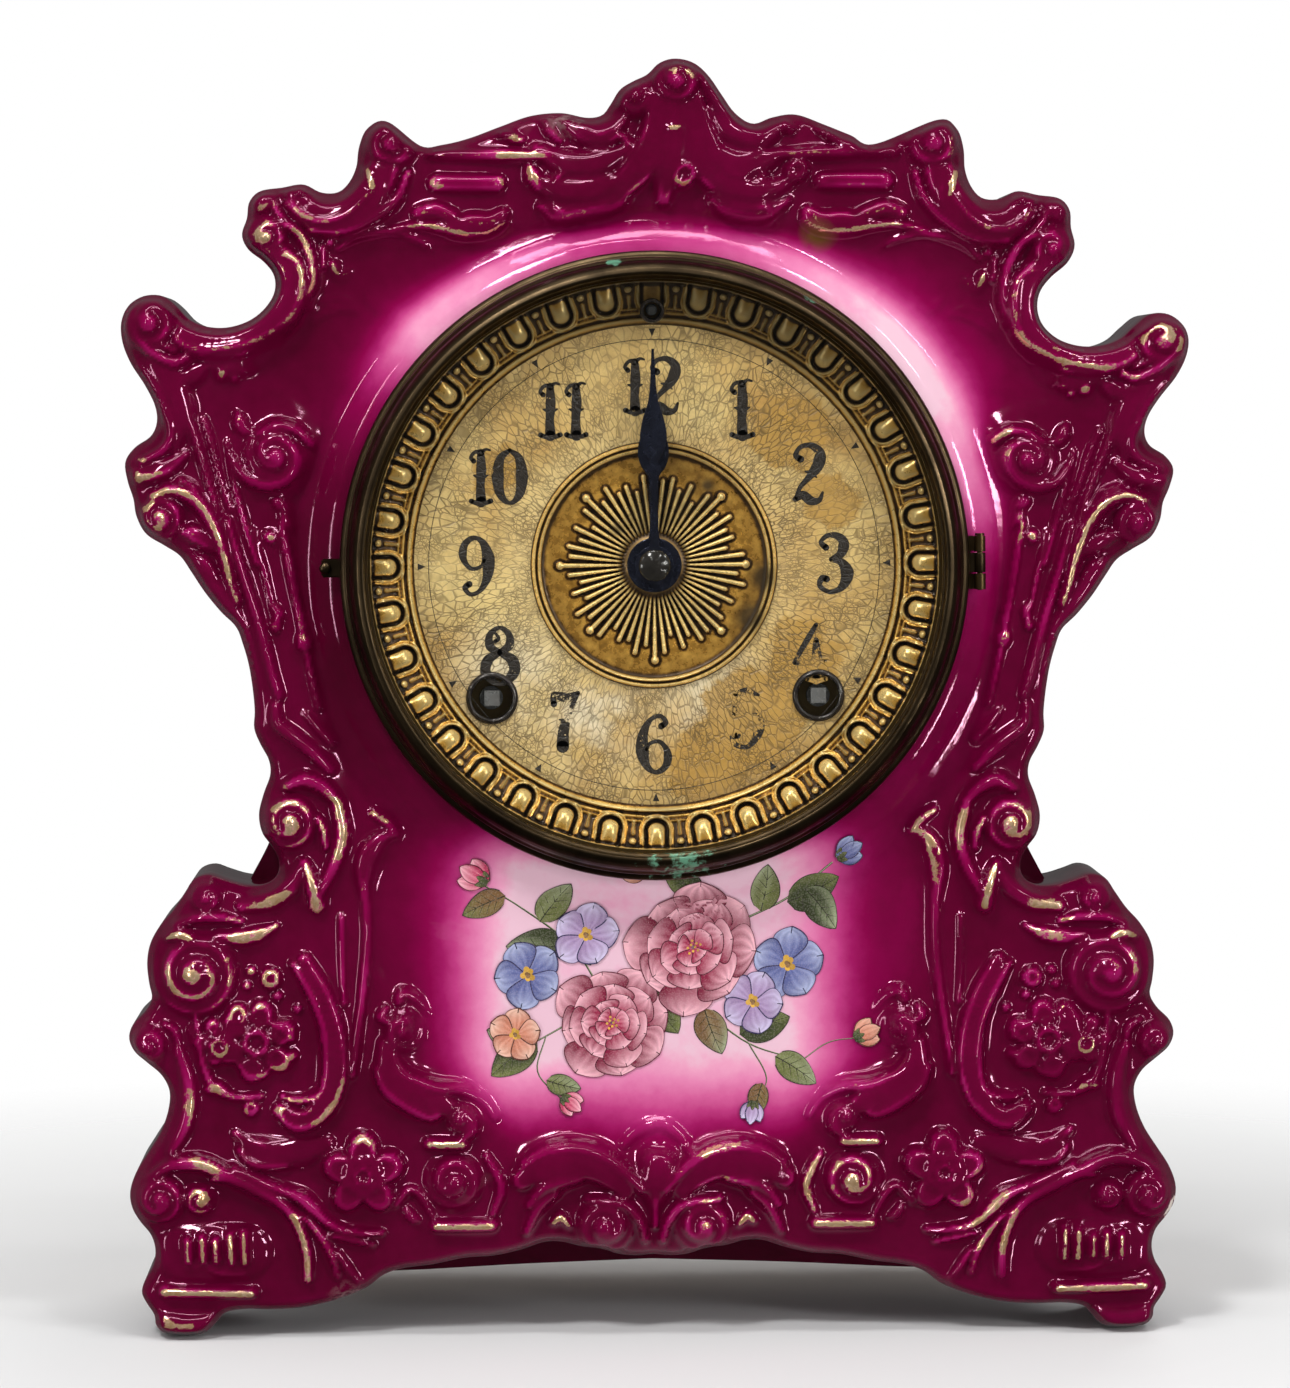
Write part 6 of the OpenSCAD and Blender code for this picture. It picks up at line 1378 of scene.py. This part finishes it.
DIGITS = {
    "1": [
        ([(0, 5.2), (0.1, 1.6), (-0.1, -2), (0, -5.4)], (0.7, 1.0, 0.8, 1.05)),
        ([(0, 5.4), (-1.3, 5.3), (-2.1, 4.2), (-1.5, 3.4)], (0.5, 0.35, 0.35, 0.5)),
        ([(0.2, 5.3), (1.1, 5.9), (2.0, 5.7)], (0.45, 0.3, 0.2)),
        ([(-2.1, -5.2), (-0.8, -5.7), (0.8, -5.7), (2.1, -5.2)], (0.5, 0.4, 0.4, 0.5)),
        ([(-1.5, 0.3), (0, -0.1), (1.5, 0.3)], (0.16, 0.6, 0.16)),
    ],
    "2": [
        ([(-1.5, 3.0), (-2.5, 3.9), (-1.5, 5.5), (0.6, 5.8), (2.4, 4.3), (2.0, 1.8), (0.2, -0.6),
         (-1.6, -2.6), (-2.6, -4.9)], (0.65, 0.4, 0.45, 0.8, 1.15, 0.95, 0.55, 0.4, 0.35)),
        ([(-2.7, -5.1), (-1.2, -4.3), (0.6, -5.5), (2.2, -5.3), (2.9, -3.8)], (0.5, 0.85, 0.9, 0.5, 0.25)),
        ([(-0.6, 0.5), (0.7, 0.2), (1.7, -0.7)], (0.15, 0.45, 0.15)),
    ],
    "3": [
        ([(-1.4, 3.2), (-2.4, 4.3), (-1.2, 5.6), (0.8, 5.6), (2.2, 4.2), (1.6, 1.9), (-0.5, 0.9)],
         (0.6, 0.4, 0.45, 0.75, 1.05, 0.75, 0.3)),
        ([(-0.5, 0.7), (1.7, 0.2), (2.9, -2.2), (1.7, -4.9), (-0.7, -5.8), (-2.7, -4.6), (-2.3, -3.0), (-1.3, -3.2)],
         (0.3, 0.75, 1.25, 0.95, 0.5, 0.4, 0.5, 0.6)),
    ],
    "4": [
        ([(1.3, 5.7), (-0.2, 3.2), (-2.0, 0.2), (-3.1, -1.8)], (0.4, 0.55, 0.5, 0.35)),
        ([(-3.2, -2.0), (0, -1.9), (3.1, -1.7)], (0.35, 0.55, 0.3)),
        ([(1.3, 2.6), (1.4, -1.2), (1.3, -5.4)], (0.5, 1.05, 0.9)),
        ([(-0.6, -5.3), (1.3, -5.7), (3.2, -5.3)], (0.4, 0.4, 0.4)),
    ],
    "5": [
        ([(-1.9, 5.2), (0.4, 5.6), (2.8, 4.9)], (0.5, 0.75, 0.25)),
        ([(-1.9, 5.2), (-2.1, 3.0), (-2.3, 1.1)], (0.45, 0.4, 0.4)),
        ([(-2.3, 1.0), (-0.2, 1.9), (2.3, 0.4), (2.6, -3.0), (0.6, -5.6), (-1.9, -5.2), (-2.5, -3.6), (-1.5, -3.3)],
         (0.35, 0.6, 1.1, 1.15, 0.6, 0.4, 0.5, 0.6)),
    ],
    "6": [
        ([(1.2, 3.6), (2.1, 4.4), (0.9, 5.7), (-1.1, 4.8), (-2.5, 2.0), (-2.7, -1.6), (-1.7, -4.7),
         (0.2, -5.8), (2.1, -4.4), (2.4, -1.7), (0.9, 0.4), (-1.1, 0.1), (-1.9, -1.2)],
         (0.6, 0.4, 0.4, 0.7, 1.05, 1.2, 0.8, 0.4, 0.6, 0.8, 0.45, 0.35, 0.3)),
        ([(-3.7, -0.4), (-2.6, -0.2), (-1.5, -0.5)], (0.14, 0.5, 0.14)),
    ],
    "7": [
        ([(-2.4, 3.4), (-2.5, 5.3), (-1.2, 5.0), (0.4, 4.7), (2.6, 5.7)], (0.6, 0.45, 0.85, 0.75, 0.3)),
        ([(2.6, 5.6), (0.9, 2.2), (-0.4, -1.6), (-0.7, -5.3)], (0.3, 0.5, 0.95, 1.15)),
        ([(-1.3, 0.2), (0.2, 0.1), (1.5, 0.6)], (0.14, 0.45, 0.14)),
    ],
    "0": [
        ([(0, 5.7), (-2.0, 3.9), (-2.6, 0), (-2.0, -3.9), (0, -5.7), (2.0, -3.9), (2.6, 0), (2.0, 3.9), (0, 5.7)],
         (0.35, 0.9, 1.2, 0.9, 0.35, 0.9, 1.2, 0.9, 0.35)),
        ([(-3.9, 0), (-2.6, 0.1), (-1.5, 0)], (0.14, 0.4, 0.14)),
        ([(1.5, 0), (2.6, 0.1), (3.9, 0)], (0.14, 0.4, 0.14)),
    ],
}
upper = [(0, 0.7), (-1.9, 1.8), (-2.0, 4.2), (0, 5.7), (1.9, 4.3), (1.9, 2.0), (0, 0.7)]
lower = [(0, 0.6), (2.5, -0.9), (2.8, -3.5), (0, -5.8), (-2.8, -3.6), (-2.4, -0.9), (0, 0.6)]
DIGITS["8"] = [
    (upper, (0.5, 0.85, 0.6, 0.35, 0.6, 0.85, 0.5)),
    (lower, (0.5, 1.05, 1.0, 0.35, 0.9, 1.0, 0.5)),
    ([(-1.4, 5.2), (-0.2, 3.6), (-0.9, 2.9)], (0.2, 0.3, 0.4)),
]
DIGITS["9"] = [([(-x, -z) for x, z in line], w) for line, w in DIGITS["6"]]

numerals = Bag()
for hour in range(1, 13):
    a = math.radians(30 * hour)
    cx, cz = 40 * math.sin(a), 40 * math.cos(a)
    word = str(hour)
    size = 1.1 if len(word) == 1 else 1.04
    for k, digit in enumerate(word):
        shift = 0 if len(word) == 1 else ((-2.9, 2.9) if word == "11" else (-3.9, 2.6))[k]
        for j, (line, widths) in enumerate(DIGITS[digit]):
            q = [(cx + shift + x * size, DIAL + cz + z * size) for x, z in line]
            ribbon(numerals, q, [1.12 * w * size for w in widths], -0.05 - 0.003 * (j + 4 * k))
    x, z = np.array([(-0.75, 52.9), (0.75, 52.9), (0, 51.1)]).T
    mark = (x * math.cos(a) + z * math.sin(a), DIAL - x * math.sin(a) + z * math.cos(a))
    numerals.add(raised(np.stack(mark, 1), -0.05), [(0, 2, 1)])
numerals.add(*polar([50.35, 50.5], 240, lambda R, A: R * 0 - 0.045, thick=0.04))

PAPER = ((0.78, 0.56, 0.22), (0.56, 0.31, 0.075), (0.78, 0.56, 0.25))


def paper(name, ink=None):
    """Old varnished dial paper, cracked all over, stained brown, paler round the rosette."""
    t = Tree(name, IOR=1.45, Coat_Weight=0.2, Coat_Roughness=0.2)
    middle = (0, -MID * MM, DIAL * MM)
    nudge = t.chain("VectorMath", 0, t.noise(240, 2, out="Color"), ("Scale", 0.0016), operation="SCALE")
    where = t.chain("VectorMath", 0, t.coord, nudge, operation="ADD")
    # cracks that run round and outwards, and a finer net over them
    x, _, z = t.node("SeparateXYZ").outputs
    t.put(x.node.inputs[0], t.chain("VectorMath", 0, where, middle, operation="SUBTRACT"))
    around = t.mul(t.math("ARCTAN2", x, z), 0.042 / 0.0013)
    out = t.mul(t.math("SQRT", t.add(t.mul(x, x), t.mul(z, z))), 1 / 0.0027)
    rings = t.span(t.cells(1.0, at=t.chain("CombineXYZ", 0, around, out)), 0.02, 0.1, 1.0, 0.0)
    net = t.span(t.cells(1000, at=where), 0.02, 0.12, 0.8, 0.0)
    coarse, rare = t.span(t.noise(60, 3), 0.3, 0.6, 0.35, 1.0), t.span(t.noise(120, 2), 0.45, 0.6)
    crack = t.most(t.mul(rings, coarse), t.mul(net, rare))
    # varnish, paler round the rosette and rubbed white below it
    cloud = t.noise(26, 4, 0.6, 0.4)
    c = t.mix(t.span(cloud, 0.38, 0.66), PAPER[0], PAPER[1])
    away = t.apart(t.coord, middle)
    c = t.mix(t.mul(t.span(away, 0.0255, 0.036, 0.9, 0.0), t.span(cloud, 0.2, 0.6, 1.0, 0.5)), c, PAPER[2])
    white = t.most(t.spot(-13, 0, 143, 4, 20), t.spot(12, 0, 146, 2, 15), t.spot(-33, 0, 150, 2, 16))
    c = t.mix(t.mul(t.mul(white, t.span(t.noise(70, 4, 0.65), 0.35, 0.6)), 0.85), c, (0.84, 0.7, 0.48))
    # brown stains, darker towards the edge, and grain
    stains = t.most(
        t.spot(21, 0, 140, 6, 16), t.spot(31, 0, 205, 3, 13), t.spot(33, 0, 155, 4, 14), t.spot(12, 0, 128, 5, 13),
        t.spot(-36, 0, 196, 1, 9), t.spot(40, 0, 188, 2, 11),
    )
    stains = t.span(t.add(stains, t.speck(110, 4, 0.6, -0.35)), 0.42, 0.56)
    c = t.mix(t.mul(stains, 0.85), c, (0.5, 0.27, 0.05))
    c = t.mix(t.span(away, 0.05, 0.0556, 0.0, 0.55), c, (0.36, 0.22, 0.08))
    c = t.mix(t.span(t.noise(330, 4, 0.7), 0.4, 0.7, 0.0, 0.45), c, t.mix(0.6, c, (0.12, 0.07, 0.02)))
    c = t.mix(t.mul(crack, 0.75), c, (0.1, 0.06, 0.018))
    if ink:
        lost = t.most(t.spot(36, 0, 151, 2.5, 8), t.spot(19.5, 0, 141, 3.5, 9), t.mul(t.spot(-19, 0, 141, 2, 8), 0.7))
        rub = t.add(t.speck(420, 5, 0.75, 0, 1), t.mul(lost, 0.6))
        c = t.mix(t.span(rub, 0.88, 0.98), t.mix(t.noise(300), (0.016, 0.012, 0.01), (0.04, 0.028, 0.018)), c)
    t.out("Base Color", c)
    t.out("Roughness", t.speck(200, 3, 0.5, 0.36, 0.55))
    t.bump(t.math("SUBTRACT", t.mul(t.noise(300), 0.3), crack), 0.0003, 0.6)
    return t.mat


numerals.piece("numerals", "clock", mat=paper("dial_ink", ink=True), angle=0)
dial_paper = paper("dial_paper")


# ---------------------------------------------------------------- enamel flower spray on the lower panel
class Enamel(Bag):
    """Flat painted shapes laid on the glaze, each a little above the last."""

    def __init__(self):
        super().__init__()
        self.layer = 0

    def lay(self, points, faces, colours):
        self.layer += 1
        p = np.asarray(points, float)
        rgb = np.column_stack([colours, np.ones(len(p))])
        w = far(p[:, 0], p[:, 1])
        y = -sample(height, p[:, 0], p[:, 1]) - 0.03 - 0.0011 * self.layer
        spot = np.stack([p[:, 0] + lean(p[:, 1]) * w, p[:, 1] + rise(p[:, 0], p[:, 1]) * w], 1)
        self.add(raised(spot, y), faces, rgb)

    def line(self, points, widths, colour, per=6):
        _, _, v, f = strip(points, widths, per)
        self.lay(v, f, np.tile(colour, (len(v), 1)))

    def petal(self, base, angle, length, width, tones, bend=0.0, notch=0.0, round_=0.75, veins=5, rim=0.13):
        """A petal or leaf from its base outwards, with streaks, a darker side and a drawn edge."""
        inner, outer, edge = tones
        nu, nv = 12, 10
        U, V = np.meshgrid(np.linspace(0, 1, nu + 1), np.linspace(-1, 1, nv + 1), indexing="ij")
        half = width * np.sin(math.pi * np.clip(U, 0, 1) ** round_) ** 0.75 * (0.98 * (U > 0) + 0.02)
        a = math.radians(angle)
        along = length * (U - notch * (1 - np.abs(V)) * U**3 + 0.1 * notch)
        off = V * half + bend * length * U**2
        X = base[0] + along * math.cos(a) - off * math.sin(a)
        Z = base[1] + along * math.sin(a) + off * math.cos(a)
        shade = 0.5 + 0.5 * np.sin(V * veins * 3.1 + 2.2 * math.sin(angle) + U * 2.0)
        mixw = np.clip(U**2.2 * 0.95 + 0.26 * (shade - 0.5) + 0.24 * V, 0, 1)[..., None]
        c = np.asarray(inner) * (1 - mixw) + np.asarray(outer) * mixw
        c = c * (0.82 + 0.18 * shade[..., None]) * (1 - 0.25 * np.clip(-V, 0, 1)[..., None] ** 2)
        grid, k = np.stack([X, Z], 2), nv + 1
        low = [i * k + j for i in range(nu) for j in range(nv)]
        self.lay(grid.reshape(-1, 2), [(i, i + k, i + k + 1, i + 1) for i in low], c.reshape(-1, 3))
        border = np.vstack([grid[1:, 0], grid[-1, 1:-1], grid[:0:-1, -1]])
        self.line(border, (rim, rim * 1.1, rim * 0.5, rim), edge, 2)
        return grid

    def leaf(self, base, angle, length, width, dark, light, bend=0.1):
        grid = self.petal(base, angle, length, width, (dark, light, EDGE), bend, round_=0.8, veins=2, rim=0.12)
        mid = grid[:, 5]
        self.line(mid[::3], (0.14, 0.1, 0.05), EDGE, 3)
        for i in range(2, 11, 2):
            for j in (1, 9):
                q = grid[min(i + 2, 12), j]
                vein = [mid[i], 0.5 * (mid[i] + q) + 0.12 * (mid[i] - mid[i - 1]), q]
                self.line(vein, (0.08, 0.06, 0.03), EDGE, 3)

    def dots(self, centre, count, spread, r, colour):
        for k in range(count):
            a, q = 2.399 * k, spread * math.sqrt((k + 0.5) / count)
            c = np.array([centre[0] + q * math.cos(a), centre[1] + q * math.sin(a)])
            t = np.arange(10) * 0.628
            ring_at = np.vstack([c, c + r * np.stack([np.cos(t), np.sin(t)], 1)])
            shades = np.tile(np.asarray(colour) * (0.75 + 0.5 * ((k * 7) % 5) / 4), (11, 1))
            self.lay(ring_at, [(0, 1 + i, 1 + (i + 1) % 10) for i in range(10)], shades)


EDGE = (0.03, 0.032, 0.018)
DEEP_LEAF, OLIVE, SAGE, RUST = (0.055, 0.07, 0.028), (0.17, 0.19, 0.06), (0.33, 0.37, 0.22), (0.22, 0.12, 0.05)
ROSE, BLUSH, WINE = (0.6, 0.045, 0.13), (0.95, 0.5, 0.58), (0.1, 0.01, 0.025)
BLUE, SKY, INK = (0.13, 0.15, 0.36), (0.42, 0.46, 0.68), (0.035, 0.03, 0.09)
LILAC, SALMON, UMBER = (0.42, 0.28, 0.5), (0.66, 0.24, 0.15), (0.1, 0.03, 0.02)
BLUES, ROSES, LILACS = (BLUE, SKY, INK), (ROSE, BLUSH, WINE), (LILAC, (0.66, 0.58, 0.8), INK)
GOLDEN = (0.6, 0.34, 0.05)
spray = Enamel()


def stem(points, w=0.22):
    spray.line(points, (w, w, 0.6 * w), DEEP_LEAF)
    spray.line([(x + 0.12, z + 0.1) for x, z in points], (0.4 * w, 0.3 * w, 0.2 * w), SAGE)


def camellia(c, size, turn):
    """A full round flower of overlapping petals in rings about a golden eye."""
    rings = ((8, 0.34, 0.72, 0.42), (7, 0.2, 0.58, 0.36), (6, 0.08, 0.44, 0.28), (5, 0.02, 0.28, 0.2))
    for row, (count, r, length, width) in enumerate(rings):
        tones = (tuple(v * (0.42 + 0.1 * row) for v in ROSE), BLUSH, WINE)
        for k in range(count):
            a = turn + 360 / count * k + 23 * row
            b = (c[0] + r * size * math.cos(math.radians(a)), c[1] + r * size * math.sin(math.radians(a)))
            wob = 0.9 + 0.16 * math.sin(k * 2.7 + row)
            bend = 0.04 * math.sin(k)
            spray.petal(b, a, length * size * wob, width * size, tones, bend, notch=0.12, round_=1.35, rim=0.11)
    spray.dots(c, 9, 0.12 * size, 0.3, GOLDEN)


def primrose(c, size, turn, tones=BLUES):
    """Five broad notched petals about a yellow eye."""
    for k in range(5):
        length = size * (0.96 + 0.08 * math.sin(3 * k))
        spray.petal(c, turn + 72 * k, length, 0.47 * size, tones, 0.03, notch=0.2, round_=1.5, veins=6)
    spray.dots(c, 7, 0.17 * size, 0.085 * size, GOLDEN)
    spray.dots(c, 3, 0.05 * size, 0.06 * size, RUST)


def bell(c, size, turn, tones=(SALMON, (0.82, 0.45, 0.33), UMBER)):
    """A half open bud of three petals on a green cup."""
    for a, k in ((-26, 0.9), (26, 0.92), (0, 1.0)):
        spray.petal(c, turn + a, size * k, 0.27 * size, tones, round_=1.1, veins=3)
    for a in (-40, 40, 0):
        spray.petal(c, turn + a, 0.4 * size, 0.1 * size, (DEEP_LEAF, OLIVE, EDGE), rim=0.07)


# one long bough that hangs from the upper right to the lower left, with a light return to the right
stem([(40, 107), (30, 99), (18, 93), (4, 84), (-10, 76), (-24, 68), (-36, 62)], 0.26)
stem([(4, 84), (12, 74), (22, 66), (34, 62)], 0.22)
stem([(-10, 76), (-18, 88), (-30, 97), (-40, 103)], 0.22)
stem([(18, 93), (10, 102), (-2, 106)], 0.18)
stem([(-24, 68), (-26, 60), (-21, 54)], 0.16)
stem([(22, 66), (26, 58), (23, 52.6)], 0.15)
stem([(34, 62), (40, 66), (46, 67)], 0.14)
for base, a, length, width, dark, light, bend in (
    ((30, 98), 20, 13, 4.0, DEEP_LEAF, OLIVE, 0.1), ((34, 101), -42, 12, 3.6, DEEP_LEAF, SAGE, -0.12),
    ((24, 96), 78, 11, 3.4, OLIVE, SAGE, 0.1), ((12, 74), -75, 11, 3.6, RUST, SAGE, 0.1),
    ((20, 68), 25, 12, 3.8, DEEP_LEAF, OLIVE, -0.1), ((28, 63), -28, 11, 3.2, OLIVE, SAGE, -0.1),
    ((-2, 80), -62, 14, 4.6, DEEP_LEAF, OLIVE, 0.12), ((-14, 74), -95, 13, 4.2, DEEP_LEAF, SAGE, -0.1),
    ((-26, 67), -150, 13, 3.9, DEEP_LEAF, OLIVE, 0.12), ((-28, 66), 165, 10, 3.2, RUST, SAGE, -0.1),
    ((-20, 88), 172, 13, 4.0, DEEP_LEAF, SAGE, 0.1), ((-26, 94), 60, 11, 3.4, OLIVE, SAGE, -0.12),
    ((-34, 100), 200, 10, 3.0, RUST, OLIVE, 0.1), ((-14, 84), 100, 14, 4.2, DEEP_LEAF, OLIVE, -0.1),
    ((10, 100), 140, 10, 3.1, DEEP_LEAF, OLIVE, 0.1), ((-24, 58), -20, 8, 2.4, OLIVE, SAGE, 0.1),
    ((25, 57), -110, 8, 2.3, RUST, OLIVE, 0.12),
):
    spray.leaf(base, a, length, width, dark, light, bend)
primrose((31, 84), 8.6, 12)
primrose((-28, 82), 8.0, 40)
primrose((23, 75.5), 7.4, 65, (LILAC, (0.62, 0.54, 0.76), INK))
camellia((-9, 71), 13.0, 10)
camellia((9, 88), 14.6, 40)
primrose((-15.5, 91), 7.6, 5, LILACS)
primrose((-31, 68.5), 6.2, 80, (SALMON, (0.84, 0.52, 0.4), UMBER))
bell((-38, 103), 7.4, 150, ROSES)
bell((-2, 105.4), 6.4, 165)
bell((46, 67), 6.4, 25)
bell((-20.6, 54.4), 5.6, -38, ROSES)
bell((23, 53), 5.4, -100, LILACS)
bell((41, 108), 6.8, 30, BLUES)


def enamel():
    t = Tree("enamel")
    colour = t.painted("paint")
    dots = t.span(t.cells(2600, "F1"), 0.25, 0.6, 1.0, 0.0)
    c = t.mix(t.mul(dots, 0.16), colour, t.mix(0.5, colour, (0.9, 0.75, 0.74)))
    c = t.mix(t.span(t.noise(700, 3, 0.6), 0.4, 0.7, 0.0, 0.2), c, t.mix(0.5, c, (0.03, 0.02, 0.02)))
    t.out("Base Color", c)
    t.out("Roughness", t.speck(90, 3, 0.6, 0.06, 0.13))
    t.bump(t.noise(75, 2, 0.4), 0.0009, 0.35)
    return t.mat


spray.piece("flower_spray", "clock", colour="paint", mat=enamel(), angle=0)


# ---------------------------------------------------------------- the CAD parts that stay: movement, pan, back
STAY = {
    name: metal(name, *values[:6], share=(values[6:] or (1,))[0])
    for name, *values in (
        ("plate_brass", (0.66, 0.45, 0.17), (0.33, 0.2, 0.07), (0.3, 0.48), (60, 400, 60), 0.6, 60),
        ("pan_brass", (0.2, 0.125, 0.045), (0.05, 0.03, 0.012), (0.32, 0.5), (300, 300, 300), 0.6, 70),
        ("hinge_brass", (0.16, 0.105, 0.045), (0.04, 0.026, 0.014), (0.32, 0.5), (500, 500, 200), 0.6, 140),
        ("wheel_brass", (0.74, 0.52, 0.2), (0.42, 0.27, 0.09), (0.24, 0.4), (400, 400, 400), 0.5, 120),
        ("steel", (0.42, 0.41, 0.4), (0.2, 0.18, 0.16), (0.2, 0.36), (500, 120, 500), 0.5, 150, 0.7),
        ("spring_steel", (0.2, 0.2, 0.24), (0.09, 0.07, 0.07), (0.2, 0.36), (150, 700, 150), 0.5, 90),
        ("gong_steel", (0.1, 0.1, 0.13), (0.05, 0.035, 0.03), (0.25, 0.45), (400, 400, 400), 0.6, 80),
        ("iron", (0.06, 0.055, 0.05), (0.11, 0.055, 0.03), (0.45, 0.7), (350, 350, 350), 0.7, 110),
        ("bob_brass", (0.62, 0.42, 0.15), (0.27, 0.16, 0.06), (0.25, 0.42), (100, 500, 100), 0.6, 70),
        ("door_brass", (0.86, 0.57, 0.2), (0.46, 0.27, 0.08), (0.24, 0.42), (70, 300, 70), 0.35, 110, 0.55),
    )
}
STAY |= {
    "bezel_bronze": bronze, "gilt": gilt_brass, "blued_steel": blued, "eyelet_black": cup_mat, "dial_paper": dial_paper,
}
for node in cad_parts.values():
    if not node.hide_render:
        given = node.data.materials[0].name.split(".")[0]
        node.data.materials.clear()
        node.data.materials.append(STAY[given])


# ---------------------------------------------------------------- light, floor and camera
def area(name, at, look, size, power):
    data = bpy.data.lights.new(name, "AREA")
    data.shape = "RECTANGLE"
    data.size, data.size_y = size
    data.energy = power
    lamp = link(name, data)
    lamp.location = at
    lamp.rotation_euler = (Vector(look) - Vector(at)).to_track_quat("-Z", "Y").to_euler()
    return lamp


scene = bpy.context.scene
scene.view_settings.view_transform = "Standard"
middle = (0, -0.05, 0.15)
for name, at, size, power in (
    ("key", (-0.42, -0.95, 1.15), (0.22, 0.22), 9), ("right", (1.05, -1.0, 0.4), (0.16, 0.26), 5),
    ("high_right", (0.55, -1.0, 1.1), (0.12, 0.12), 2.5), ("low_left", (-1.0, -0.8, 0.12), (0.12, 0.4), 2),
    ("top_strip", (0.0, -0.4, 1.2), (0.9, 0.1), 4),
):
    area(name, at, middle, size, power)
# these give mirror images only, for the small highlights on the relief
for name, at, size in (
    ("glint_left", (-1.0, -0.9, 0.75), (0.05, 0.25)), ("glint_right", (0.85, -0.75, 0.85), (0.05, 0.25)),
    ("glint_high", (-0.15, -0.75, 1.25), (0.3, 0.05)), ("glint_low", (0.75, -0.8, -0.25), (0.05, 0.2)),
):
    area(name, at, middle, size, 1.5).visible_diffuse = False
area("rear", (0.5, 1.3, 0.9), (0, 0.05, 0.15), (0.6, 0.4), 5).visible_glossy = False

# the world lights evenly; the camera sees it white, and mirrors see it dark, less so behind the object
world = bpy.data.worlds.new("studio")
scene.world = world
world.use_nodes = True
wt = world.node_tree
wt.nodes.clear()


def world_node(kind, *inputs, **settings):
    n = wt.nodes.new("ShaderNode" + kind)
    for k, v in settings.items():
        setattr(n, k, v)
    for k, v in enumerate(inputs):
        if hasattr(v, "is_output"):
            wt.links.new(v, n.inputs[k])
        elif v is not None:
            n.inputs[k].default_value = v
    return n.outputs[0]


def glow(strength):
    return world_node("Background", (1, 1, 1, 1), strength)


path = wt.nodes.new("ShaderNodeLightPath").outputs
facing = wt.nodes.new("ShaderNodeSeparateXYZ")
wt.links.new(world_node("TexCoord"), facing.inputs[0])
behind = wt.nodes.new("ShaderNodeMapRange")
wt.links.new(facing.outputs[1], behind.inputs[0])
for k, v in enumerate((0.3, 0.95, 0.0, 1.0)):
    behind.inputs[k + 1].default_value = v
mirror = world_node("MixShader", behind.outputs[0], glow(0.05), glow(0.12))
light = world_node("MixShader", path["Is Glossy Ray"], glow(0.42), mirror)
seen = world_node("Math", path["Is Camera Ray"], path["Is Transmission Ray"], operation="MAXIMUM")
wt.links.new(world_node("MixShader", seen, light, glow(1.0)), wt.nodes.new("ShaderNodeOutputWorld").inputs[0])

t = Tree("floor", Roughness=0.9)
t.out("Base Color", t.mix(t.noise(3), (0.82, 0.82, 0.82), (0.78, 0.78, 0.78)))
away = t.chain("VectorMath", "Value", t.coord, operation="LENGTH")
rays = t.node("LightPath").outputs
seen_off = t.mul(t.span(away, 0.15, 0.42), rays["Is Camera Ray"])
t.let_through(t.most(seen_off, t.mul(t.span(away, 0.04, 0.085), rays["Is Glossy Ray"])))
floor_mesh = raw_mesh("floor", np.column_stack([circle(6, n=96), np.zeros(96)]), [range(96)])
floor_mesh.materials.append(t.mat)
link("floor", floor_mesh)

cam_data = bpy.data.cameras.new("camera")
cam = scene.camera = link("camera", cam_data)
distance, focal_width = 1.15, 0.293
cam.location = (-0.033, -MID * MM - distance, 0.210)
cam_data.sensor_fit = "HORIZONTAL"
cam_data.sensor_width = 36
cam_data.lens = 36 * distance / focal_width
cam_data.shift_x = (-0.0016 + 0.033) / focal_width
cam_data.shift_y = (0.1458 - 0.210) / focal_width
turned = Matrix.Rotation(math.radians(0.5), 4, "Y") @ Matrix.Rotation(math.radians(90), 4, "X")
cam.rotation_euler = turned.to_euler()
cam_data.clip_start = 0.05
